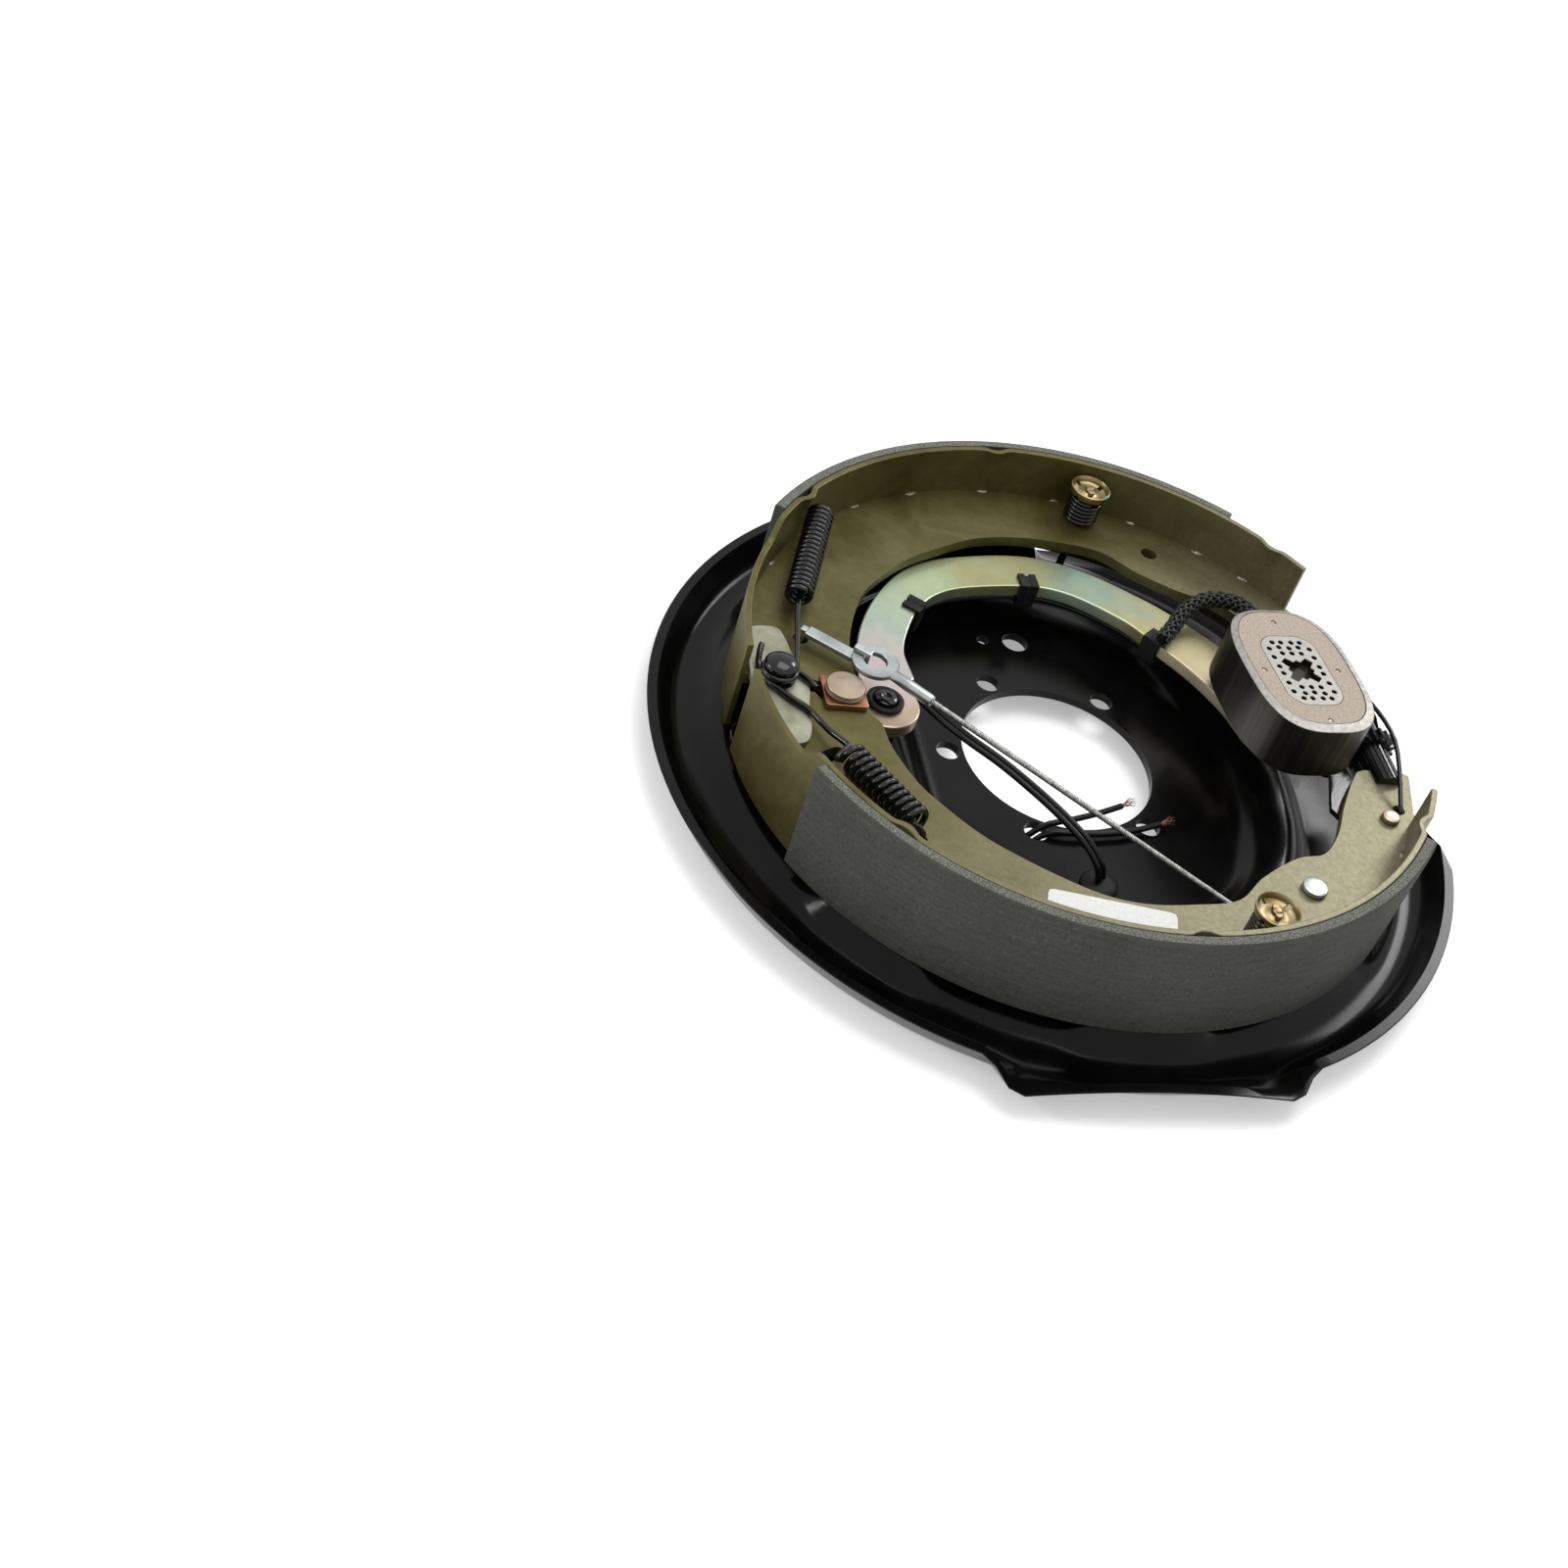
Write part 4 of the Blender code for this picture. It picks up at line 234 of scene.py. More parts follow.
# Depth below the magnet's face from which its holes and cross take their painted shade
CORE_SHADE_BELOW = 0.0007
RING_WALL = 0.0034
RING_SHIFT = (0.0022, -0.0008)

# Wires, cable and leads
WIRE_R = 0.0012
FINE_WIRE_R = 0.0010
COIL_PITCH = 0.0028
LEAD_R = 0.0013
LEAD_SPACING = 0.0030
CABLE_R = 0.00125
CABLE_LAY = 0.0085
STRAND_R = 0.00042
CABLE_BEND_R = 0.0176
CABLE_BEND_AT = (-0.0980, -0.0620)
CABLE_END = (-0.0632, -0.1131)
SLEEVE_LAY = 0.026
SLEEVE_CORE_R = 0.0025
SLEEVE_R = 0.0029
SLEEVE_WEAVE = 0.0004
YARN_R = 0.0006
EYE_Z = WEB_TOP_Z + 0.0063
PAINT_ANGLE = 215.0
CUP_FLOOR_Z = 0.0575
LOOP_R = 0.0050 + WIRE_R + 0.0005
LOOP_LOW_Z = WEB_TOP_Z + GUIDE_T + 2 * GAP + WIRE_R
SPRING_WIRE_R = 0.0013
SPRING_COIL_R = 0.0049
PRIMARY_COIL = ((0.0436, 0.1171, 0.0525), (0.0955, 0.0995, 0.0560))
PRIMARY_PITCH = 0.0030
SECONDARY_COIL = ((-0.0465, 0.1105, 0.0498), (-0.0802, 0.0892, 0.0488))
SECONDARY_PITCH = 0.0033
LOOP_HIGH_Z = LOOP_LOW_Z + 2 * WIRE_R + GAP
ADJUSTER_Y = -0.1315
NOSE_X = 0.0270
SOCKET_END_X = -0.0140
ADJUSTER_SEAT = 0.0080
SCREW_PITCH = 0.00125
FERRULE_ANGLE = 223.1
LINK_ANGLE = -127.5
LINK_LENGTH = 0.0330
# Reach, half width and half height of the ferrule's sections, and a rivet head's shares and heights
FERRULE = mm((8.5, 3.4, 1.2), (10.5, 3.0, 1.7), (13.5, 2.6, 2.4), (16.0, 2.5, 2.6), (28.2, 2.5, 2.6),
             (29.0, 2.2, 2.3))
RIVET_HEAD = ((0.94, 0.0), (1.0, 0.0004), (1.0, 0.0013), (0.95, 0.0019), (0.80, 0.0022), (0.40, 0.0021),
              (0.0, 0.0022))
GUIDE_PLATE = mm((29.0, 138.5), (30.5, 127.5), (24.0, 124.5), (15.0, 123.0), (4.0, 121.2), (-5.0, 119.0),
                 (-15.0, 120.8), (-28.9, 122.2), (-36.5, 125.8), (-36.5, 134.2), (-24.8, 136.5),
                 (-15.0, 140.0), (-6.0, 142.2), (7.0, 142.0), (17.0, 139.8))
ARM_LINE = mm((16.0, 80.0, 12.2), (34.0, 79.0, 10.2), (51.5, 72.8, 9.7), (67.5, 63.5, 9.3),
              (80.5, 51.0, 9.7), (88.8, 33.5, 10.2), (94.5, 0.0, 10.6), (90.0, -23.0, 10.3),
              (75.0, -46.5, 10.8), (61.5, -60.0, 12.2), (43.0, -75.0, 13.2), (22.0, -86.0, 13.4),
              (1.7, -91.0, 13.0))
SLEEVE = mm((48.0, -51.5, 42.5), (55.5, -58.5, 43.6), (63.0, -64.5, 45.8), (69.0, -72.0, 47.5),
            (72.0, -82.0, 48.8), (69.0, -91.5, 50.0), (61.0, -96.0, 51.0), (51.0, -94.5, 51.6),
            (43.2, -88.5, 52.0))
ARM_LEAD = mm((56.0, -54.0, 29.4), (69.5, -42.0, 29.4), (82.8, -21.5, 29.4), (87.2, 0.0, 29.4),
              (82.5, 30.0, 29.4), (75.7, 46.6, 29.4), (64.3, 58.9, 29.4), (49.4, 67.6, 29.4))
PLATE_LEAD = mm((42.0, 68.0, 29.2), (30.0, 67.2, 28.6), (17.0, 65.0, 29.5), (2.0, 60.0, 32.0),
                (-13.0, 51.0, 33.5), (-27.0, 38.5, 33.5), (-40.0, 27.0, 32.0), (-52.0, 17.0, 30.0),
                (-63.0, 8.5, 27.0), (-70.5, 3.5, 22.5), (-73.3, 1.5, 16.5))
# Places on the magnet's face, on its own axes. Each is mirrored to all four quarters
CORE_HOLES = mm((17.2, 2.5), (17.2, 6.7), (13.6, 0.0), (14.2, 4.7), (13.2, 9.7), (10.4, 0.0),
                (10.4, 4.6), (7.9, 9.7), (2.1, 9.6))
CROSS_QUARTER = mm((6.1, 0.2), (4.9, 1.6), (7.5, 4.9), (4.9, 7.7), (1.6, 5.1), (0.2, 6.3))
RING_RIVETS = mm((30.3, 0.0), (-30.3, 0.0), (0.0, 17.8), (0.0, -17.8))
FREE_LEAD_1 = mm((-75.5, 1.2, 5.8), (-77.0, 2.0, 4.2), (-80.0, 9.0, 3.0), (-78.0, 23.0, 3.0),
                 (-69.0, 35.0, 3.2), (-57.0, 38.0, 3.4), (-48.0, 33.0, 4.2), (-45.0, 26.0, 7.5),
                 (-44.3, 21.5, 12.5), (-43.5, 16.0, 16.5), (-40.5, 4.0, 17.2), (-36.0, -9.0, 17.5),
                 (-31.8, -19.0, 17.8))
FREE_LEAD_2 = mm((-71.5, 1.2, 5.8), (-70.0, 3.0, 4.2), (-69.0, 11.0, 3.0), (-68.0, 19.0, 3.0),
                 (-62.0, 27.0, 3.0), (-54.0, 29.0, 3.4), (-49.0, 26.0, 5.0), (-47.5, 22.5, 8.5),
                 (-47.4, 19.5, 13.0), (-47.5, 14.0, 15.8), (-47.8, 2.0, 16.0), (-45.5, -17.0, 16.0),
                 (-39.5, -35.0, 16.2))


def polar(radius, degrees, centre=(0.0, 0.0)):
    angle = math.radians(degrees)
    return (centre[0] + radius * math.cos(angle), centre[1] + radius * math.sin(angle))


def arc(radius, start, end, steps, centre=(0.0, 0.0)):
    return [polar(radius, start + (end - start) * step / steps, centre) for step in range(steps + 1)]


def circle(radius, sides, centre=(0.0, 0.0)):
    return arc(radius, 0.0, 360.0, sides, centre)[:-1]


def rectangle(left, low, right, high):
    return ((left, low), (right, low), (right, high), (left, high))


def at(base, *profile):
    """Part of a profile: radii in millimetres, and heights in millimetres above a base in metres."""
    return [(radius / 1000.0, base + height / 1000.0) for radius, height in profile]


def level(height, *points):
    """Points in millimetres that share one height, which is in metres."""
    return [(x / 1000.0, y / 1000.0, height) for x, y in points]


def clamped(value):
    return min(max(value, 0.0), 1.0)


def eased(value):
    """The value held between 0 and 1, with a soft start and end."""
    share = clamped(value)
    return share * share * (3.0 - 2.0 * share)


def curve_through(points, steps, closed=False):
    """Points of a smooth curve through the given ones, in two or three dimensions."""
    given = [Vector(point) for point in points]
    count = len(given)
    spans = count if closed else count - 1
    result = []
    for span in range(spans):
        if closed:
            before, start, end, after = (given[(span + shift) % count] for shift in (-1, 0, 1, 2))
        else:
            start = given[span]
            end = given[span + 1]
            before = given[span - 1] if span else start * 2 - end
            after = given[span + 2] if span + 2 < count else end * 2 - start
        for step in range(steps):
            t = step / steps
            result.append(0.5 * (start * 2 + (end - before) * t
                                 + (before * 2 - start * 5 + end * 4 - after) * t ** 2
                                 + (start * 3 - before - end * 3 + after) * t ** 3))
    if not closed:
        result.append(given[-1])
    return result


def beside(frame_at, angle, reach):
    """The point at an angle round a path and at a distance from it."""
    point, side, upright = frame_at
    return point + (side * math.cos(angle) + upright * math.sin(angle)) * reach


def prism(outline, bottom, top, shape=None):
    """An upright solid with a flat outline, added to a shape if one is given."""
    shape = shape or bmesh.new()
    lower = [shape.verts.new((point[0], point[1], bottom)) for point in outline]
    upper = [shape.verts.new((point[0], point[1], top)) for point in outline]
    shape.faces.new(lower)
    shape.faces.new(upper)
    for index, vertex in enumerate(lower):
        following = (index + 1) % len(lower)
        shape.faces.new((vertex, lower[following], upper[following], upper[index]))
    return shape


def drill(holes, low, high, sides=24):
    """A cutter for upright round holes, each given by its place and radius."""
    shape = bmesh.new()
    for x, y, radius in holes:
        prism(circle(radius, sides, (x, y)), low, high, shape)
    return shape


def turned(profile, segments, centre=(0.0, 0.0), shape=None):
    """A solid turned about a vertical axis from a closed profile of radius and height."""
    shape = shape or bmesh.new()
    rings = []
    for radius, height in profile:
        ring = circle(radius, segments, centre) if radius > AXIS_R else [centre]
        rings.append([shape.verts.new((x, y, height)) for x, y in ring])
    pairs = list(zip(rings, rings[1:]))
    if min(radius for radius, height in profile) > AXIS_R:
        pairs.append((rings[-1], rings[0]))
    for lower, upper in pairs:
        for step in range(segments):
            corners = [lower[step % len(lower)], lower[(step + 1) % len(lower)],
                       upper[(step + 1) % len(upper)], upper[step % len(upper)]]
            unique = list(dict.fromkeys(corners))
            if len(unique) > 2:
                shape.faces.new(unique)
    return shape


def loft(sections, shape=None):
    """A closed solid through closed sections that have equal numbers of points."""
    shape = shape or bmesh.new()
    rings = [[shape.verts.new(point) for point in section] for section in sections]
    count = len(rings[0])
    for lower, upper in zip(rings, rings[1:]):
        for index in range(count):
            following = (index + 1) % count
            shape.faces.new((lower[index], lower[following], upper[following], upper[index]))
    shape.faces.new(rings[0])
    shape.faces.new(rings[-1])
    return shape


def slab(shape, origin, ahead, across, side_view, start, end):
    """Adds a solid whose side view stands in an upright plane, from start to end across it."""
    loft([[origin + ahead * distance + across * half + Vector((0.0, 0.0, height))
           for distance, height in side_view] for half in (start, end)], shape)


def swept(start, end, count, profile_at):
    """A solid bent round the wheel between two angles, with the profile that a function gives."""
    angles = [start + (end - start) * step / count for step in range(count + 1)]
    return loft([[(*polar(radius, angle), height) for radius, height in profile_at(angle)]
                 for angle in angles])


def bead(shape, centre, sizes, turn=0.0):
    """Adds a small flattened ball."""
    place = Matrix.Translation(centre) @ Matrix.Rotation(turn, 4, "Z") @ Matrix.Diagonal((*sizes, 1.0))
    bmesh.ops.create_icosphere(shape, subdivisions=3, radius=1.0, matrix=place)


def path_frames(points):
    """Point, side and upright directions along a path, without twist."""
    path = [Vector(point) for point in points]
    frames = []
    side = None
    for index, point in enumerate(path):
        along = (path[min(index + 1, len(path) - 1)] - path[max(index - 1, 0)]).normalized()
        if side is None:
            side = along.orthogonal().normalized()
        side = (side - along * side.dot(along)).normalized()
        frames.append((point, side, along.cross(side)))
    return frames


def wire(points, radius=WIRE_R, sides=12, shape=None):
    """A round wire along a path, with its ends a little rounded."""
    frames = path_frames(points)
    sections = []
    for index, frame_at in enumerate(frames):
        size = radius * (0.7 if index in (0, len(frames) - 1) else 1.0)
        sections.append([beside(frame_at, 2 * math.pi * step / sides, size) for step in range(sides)])
    return loft(sections, shape)


def helix(start, end, radius, pitch, segments, turn=0.0):
    """Points of a coil between two ends of its axis."""
    start = Vector(start)
    end = Vector(end)
    axis = (end - start).normalized()
    length = (end - start).length
    across = axis.cross(Vector((0.0, 0.0, 1.0))).normalized()
    upright = across.cross(axis)
    count = round(length / pitch * segments)
    points = []
    for index in range(count + 1):
        angle = math.radians(turn) + 2 * math.pi * index / segments
        points.append(beside((start + axis * (length * index / count), across, upright), angle, radius))
    return points


def spiral(centre, radii, levels, degrees, steps):
    """Points of an upright coil whose radius and height run evenly from one value to another."""
    points = []
    for step in range(steps + 1):
        share = step / steps
        radius = radii[0] + (radii[1] - radii[0]) * share
        points.append((*polar(radius, degrees * share, centre), levels[0] + (levels[1] - levels[0]) * share))
    return points


def placed(name, shape):
    """An object made of a shape drawn about the wheel axis, moved to the frame's own origin."""
    bmesh.ops.recalc_face_normals(shape, faces=shape.faces)
    mesh = bpy.data.meshes.new(name)
    shape.to_mesh(mesh)
    shape.free()
    mesh.transform(Matrix.Translation(WHEEL))
    item = bpy.data.objects.new(name, mesh)
    bpy.context.scene.collection.objects.link(item)
    return item


def enlist(item, body, replaces):
    """Puts a piece on the body that it rides, and hides the CAD nodes that it stands for."""
    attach(item, body)
    if replaces:
        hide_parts(*replaces)
    return item


def piece(name, shape, body, slot, replaces=(), smooth=35.0, cutters=(), bevel=0.0, finish=None):
    """Makes a shape into a piece of the scene, cut by other shapes and with its edges eased.

    Its finish is the one named like its slot, unless another is named.
    """
    item = placed(name, shape)
    tools = []
    for cutter in cutters:
        tools.append(placed(name + "_cutter", cutter))
        modifier = item.modifiers.new("cut", "BOOLEAN")
        modifier.operation = "DIFFERENCE"
        modifier.solver = "EXACT"
        modifier.object = tools[-1]
    if bevel:
        modifier = item.modifiers.new("ease", "BEVEL")
        modifier.width = bevel
        modifier.segments = 2
        modifier.limit_method = "ANGLE"
        modifier.angle_limit = math.radians(BEVEL_ANGLE)
    if tools or bevel:
        bpy.context.view_layer.update()
        evaluated = item.evaluated_get(bpy.context.evaluated_depsgraph_get())
        final = bpy.data.meshes.new_from_object(evaluated)
        item.modifiers.clear()
        item.data = final
        for tool in tools:
            bpy.data.objects.remove(tool, do_unlink=True)
    item.data.name = name
    item.data.materials.clear()
    item.data.materials.append(FINISHES[finish or slot])
    item.data.shade_smooth()
    sharp = min(smooth, EASED_SHARP) if bevel else smooth
    item.data.set_sharp_from_angle(angle=math.radians(sharp))
    return enlist(item, body, replaces)


def spring_piece(name, shape, body, replaces=()):
    return piece(name, shape, body, "black_spring", replaces, 60.0)


def cord_piece(node, points, body):
    """Insulated lead that stands for a CAD node, as a curve with a bevel and filled caps."""
    name = node + "_wire"
    curve = bpy.data.curves.new(name, "CURVE")
    curve.dimensions = "3D"
    curve.bevel_depth = LEAD_R
    curve.bevel_resolution = 4
    curve.use_fill_caps = True
    spline = curve.splines.new("POLY")
    spline.points.add(len(points) - 1)
    for target, point in zip(spline.points, points):
        target.co = (*(Vector(point) + WHEEL), 1.0)
    curve.materials.append(FINISHES["black_insulation"])
    item = bpy.data.objects.new(name, curve)
    bpy.context.scene.collection.objects.link(item)
    return enlist(item, body, (node,))


def linear(colour):
    """A colour in the 0 to 255 steps of a picture, as Blender's linear values."""
    shares = [channel / 255.0 for channel in colour]
    return [share / 12.92 if share <= 0.04045 else ((share + 0.055) / 1.055) ** 2.4 for share in shares]


def add_node(tree, kind, inputs, **settings):
    """A new node. Its inputs are given by name or number, as plain values or outputs of other nodes."""
    node = tree.nodes.new("ShaderNode" + kind)
    for name, value in settings.items():
        setattr(node, name, value)
    for key, value in inputs.items():
        if isinstance(value, bpy.types.NodeSocket):
            tree.links.new(value, node.inputs[key])
        elif value is not None:
            node.inputs[key].default_value = value
    return node


class Finish:
    """A Principled material with short calls for noise, ramps and bump."""

    def __init__(self, name, roughness, metallic=0.0, specular=0.5):
        self.material = bpy.data.materials.new(name)
        self.material.use_nodes = True
        self.tree = self.material.node_tree
        self.shader = self.tree.nodes["Principled BSDF"].inputs
        self.shader["Roughness"].default_value = roughness
        self.shader["Metallic"].default_value = metallic
        self.shader["Specular IOR Level"].default_value = specular
        self.place = add_node(self.tree, "TexCoord", {}).outputs["Object"]
        self.height = None

    def parts(self, vector):
        """The X, Y and Z of a vector."""
        return list(add_node(self.tree, "SeparateXYZ", {"Vector": vector}).outputs)

    def noise(self, scale, detail=3.0, distortion=0.0, vector=None):
        inputs = {"Scale": scale, "Detail": detail, "Distortion": distortion, "Vector": vector or self.place}
        return add_node(self.tree, "TexNoise", inputs).outputs["Fac"]

    def math(self, operation, first, second=None):
        return add_node(self.tree, "Math", {0: first, 1: second}, operation=operation).outputs[0]

    def ramp(self, factor, *stops):
        """Colours along a factor, each stop with its place and its linear red, green and blue."""
        node = add_node(self.tree, "ValToRGB", {"Fac": factor})
        band = node.color_ramp
        while len(band.elements) < len(stops):
            band.elements.new(0.5)
        for element, (place, *colour) in zip(band.elements, stops):
            element.position = place
            element.color = (*colour, 1.0)
        return node.outputs["Color"]

    def tones(self, factor, *stops):
        """The same, with the colours in the 0 to 255 steps of a picture."""
        return self.ramp(factor, *((place, *linear(colour)) for place, *colour in stops))

    def mix(self, factor, first, second, blend="MIX"):
        inputs = {0: factor, 6: first, 7: second}
        return add_node(self.tree, "Mix", inputs, data_type="RGBA", blend_type=blend).outputs[2]

    def colour(self, output):
        self.tree.links.new(output, self.shader["Base Color"])

    def gloss(self, factor, low, high):
        """Lets a factor move the roughness between two values."""
        node = add_node(self.tree, "MapRange", {"Value": factor, "To Min": low, "To Max": high})
        self.tree.links.new(node.outputs["Result"], self.shader["Roughness"])

    def bump(self, factor, distance):
        node = add_node(self.tree, "Bump", {"Distance": distance, "Height": factor, "Normal": self.height})
        self.height = node.outputs["Normal"]
        self.tree.links.new(self.height, self.shader["Normal"])

    def around(self, along, across, radial):
        """Coordinates that follow the wheel's rim: along the arc, radially, and across the width."""
        east, north, height = self.parts(self.place)
        x = self.math("SUBTRACT", east, WHEEL.x)
        y = self.math("SUBTRACT", north, WHEEL.y)
        squares = self.math("ADD", self.math("MULTIPLY", x, x), self.math("MULTIPLY", y, y))
        radius = self.math("SQRT", squares)
        inputs = {"X": self.math("MULTIPLY", self.math("ARCTAN2", y, x), LINING_R * along),
                  "Y": self.math("MULTIPLY", radius, radial), "Z": self.math("MULTIPLY", height, across)}
        return add_node(self.tree, "CombineXYZ", inputs).outputs["Vector"]

    def facing_up(self):
        """1 on faces that look up or down, 0 on upright ones."""
        normal = add_node(self.tree, "NewGeometry", {}).outputs["Normal"]
        return self.math("GREATER_THAN", self.math("ABSOLUTE", self.parts(normal)[2]), 0.8)


def metal(name, dark, middle, light, roughness=(0.28, 0.42), scale=90.0):
    """Plated metal: three tones drifting into each other, finer grain in its gloss and a light bump."""
    finish = Finish(name, roughness[0], 0.9)
    cloud = finish.noise(scale, 5.0, 0.4)
    finish.colour(finish.tones(cloud, (0.30, *dark), (0.50, *middle), (0.72, *light)))
    grain = finish.noise(700.0, 4.0)
    finish.gloss(grain, *roughness)
    finish.bump(grain, 0.00003)
    return finish.material


def black(name, tone, roughness, specular, grain=900.0, bump=0.00002):
    """Black paint, phosphate, rubber or insulation, with a slightly uneven gloss."""
    finish = Finish(name, roughness, 0.0, specular)
    cloud = finish.noise(60.0, 4.0)
    low = [max(channel - 3, 0) for channel in tone]
    high = [channel + 4 for channel in tone]
    finish.colour(finish.tones(cloud, (0.35, *low), (0.65, *high)))
    finish.gloss(cloud, roughness * 0.85, roughness * 1.2)
    finish.bump(finish.noise(grain), bump)
    return finish.material


def plain(name, roughness, grain, dark, light, bump):
    """One tone with a fine drift: a label or a dab of paint. The grain is a scale and a detail."""
    finish = Finish(name, roughness)
    fibres = finish.noise(*grain)
    finish.colour(finish.tones(fibres, (0.3, *dark), (0.7, *light)))
    finish.bump(fibres, bump)
    return finish.material


def olive_chromate():
    """Olive steel with darker stains, and a painted sheen that turns it pale grey-beige towards -X and -Y.
    """
    finish = Finish("olive_chromate_steel", 0.4, 0.5, 0.3)
    base = finish.tones(finish.noise(28.0, 6.0, 0.8), (0.28, 74, 67, 27), (0.45, 92, 86, 46),
                        (0.60, 103, 98, 58), (0.75, 88, 84, 50))
    stain = finish.ramp(finish.noise(260.0, 5.0), (0.35, 0.72, 0.70, 0.66), (0.6, 1.0, 1.0, 1.0))
    stained = finish.mix(0.45, base, stain, "MULTIPLY")
    # Painted sheen: a pale grey-beige mixed in towards -X and -Y stands for the lamps' reflection on the
    # webs.
    x, y = finish.parts(finish.place)[:2]
    reach = finish.math("ADD", finish.math("MULTIPLY", x, -0.6), finish.math("MULTIPLY", y, -0.8))
    share = finish.math("MULTIPLY", finish.math("ADD", reach, 0.055), 6.0)
    share = finish.math("MINIMUM", finish.math("MAXIMUM", share, 0.0), 0.8)
    painted_sheen = finish.tones(finish.noise(500.0, 4.0), (0.3, 120, 115, 92), (0.7, 142, 137, 113))
    finish.colour(finish.mix(share, stained, painted_sheen))
    grain = finish.noise(900.0, 4.0)
    finish.gloss(grain, 0.33, 0.50)
    finish.bump(grain, 0.00004)
    return finish.material


def friction_lining():
    """Grey lining: streaked and gritty on its upright face, speckled on its edges."""
    finish = Finish("friction_lining", 0.85, 0.0, 0.3)
    streaks = finish.noise(1.0, 5.0, 0.2, finish.around(45.0, 900.0, 900.0))
    specks = finish.noise(1500.0, 3.0)
    worn = finish.tones(streaks, (0.32, 76, 77, 72), (0.55, 82, 83, 78), (0.74, 89, 89, 84))
    speckled = finish.tones(specks, (0.34, 74, 75, 70), (0.52, 116, 116, 109), (0.70, 152, 150, 142))
    cloudy = finish.ramp(finish.noise(40.0, 4.0), (0.3, 0.84, 0.85, 0.84), (0.7, 1.0, 1.0, 1.0))
    grit = finish.ramp(finish.noise(700.0, 6.0, 0.3), (0.30, 0.62, 0.62, 0.61), (0.44, 0.95, 0.95, 0.94),
                       (0.62, 1.0, 1.0, 1.0), (0.72, 1.45, 1.43, 1.38))
    gritty = finish.mix(1.0, worn, grit, "MULTIPLY")
    base = finish.mix(finish.facing_up(), gritty, speckled)
    finish.colour(finish.mix(1.0, base, cloudy, "MULTIPLY"))
    finish.bump(specks, 0.00016)
    finish.bump(streaks, 0.00010)
    return finish.material


def iridescent_chromate():
    """Bands of colour that follow the arm from its pivot to the magnet, drifting a little."""
    finish = Finish("iridescent_chromate_steel", 0.3, 0.85)
    arc_place = finish.parts(finish.around(1.0, 1.0, 1.0))[0]
    along = finish.math("SUBTRACT", 0.5, finish.math("DIVIDE", arc_place, math.pi * LINING_R))
    drift = finish.math("MULTIPLY", finish.math("SUBTRACT", finish.noise(22.0, 3.0, 1.2), 0.5), 0.32)
    base = finish.tones(finish.math("ADD", along, drift), (0.00, 184, 164, 144), (0.08, 194, 178, 180),
                        (0.18, 172, 188, 172), (0.32, 178, 192, 156), (0.46, 168, 166, 122),
                        (0.60, 150, 172, 156), (0.75, 174, 166, 122), (0.90, 182, 168, 144))
    smear = finish.ramp(finish.noise(120.0, 5.0), (0.3, 0.82, 0.81, 0.78), (0.65, 1.0, 1.0, 1.0))
    finish.colour(finish.mix(0.6, base, smear, "MULTIPLY"))
    grain = finish.noise(800.0, 4.0)
    finish.gloss(grain, 0.26, 0.42)
    finish.bump(grain, 0.00003)
    return finish.material


def brushed_magnet():
    """Dark upright wall brushed along its height, with a paler rim."""
    finish = Finish("brushed_magnet_steel", 0.35, 0.9)
    stretched = add_node(finish.tree, "Mapping", {"Scale": (420.0, 420.0, 10.0), "Vector": finish.place})
    streaks = finish.noise(1.0, 5.0, 0.0, stretched.outputs["Vector"])
    upright = finish.tones(streaks, (0.30, 62, 61, 58), (0.52, 74, 72, 68), (0.72, 90, 87, 82))
    rim = finish.tones(finish.noise(500.0, 4.0), (0.3, 116, 114, 110), (0.7, 142, 139, 134))
    finish.colour(finish.mix(finish.facing_up(), upright, rim))
    finish.gloss(streaks, 0.26, 0.42)
    finish.bump(streaks, 0.00005)
    return finish.material


def pierced_core():
    """Satin steel face whose holes and cross get a painted shade below the surface."""
    finish = Finish("satin_core_steel", 0.45, 0.6)
    # Painted shade: everything deeper than a set depth below the face takes a dark colour that stands for
    # the shade in the holes and cross.
    below = finish.math("LESS_THAN", finish.parts(finish.place)[2], MAGNET_TOP_Z - CORE_SHADE_BELOW)
    grain = finish.noise(500.0, 4.0)
    face = finish.tones(grain, (0.3, 146, 144, 139), (0.7, 164, 161, 155))
    painted_well_shade = finish.tones(grain, (0.3, 27, 25, 17), (0.7, 44, 41, 30))
    finish.colour(finish.mix(below, face, painted_well_shade))
    finish.gloss(grain, 0.42, 0.55)
    finish.bump(grain, 0.00002)
    return finish.material


def friction_compound():
    """Tan friction face with fine specks."""
    finish = Finish("friction_compound", 0.7)
    specks = finish.noise(900.0, 5.0)
    finish.colour(finish.tones(specks, (0.30, 160, 146, 130), (0.5, 176, 162, 147), (0.72, 188, 175, 161)))
    finish.bump(specks, 0.00005)
    return finish.material


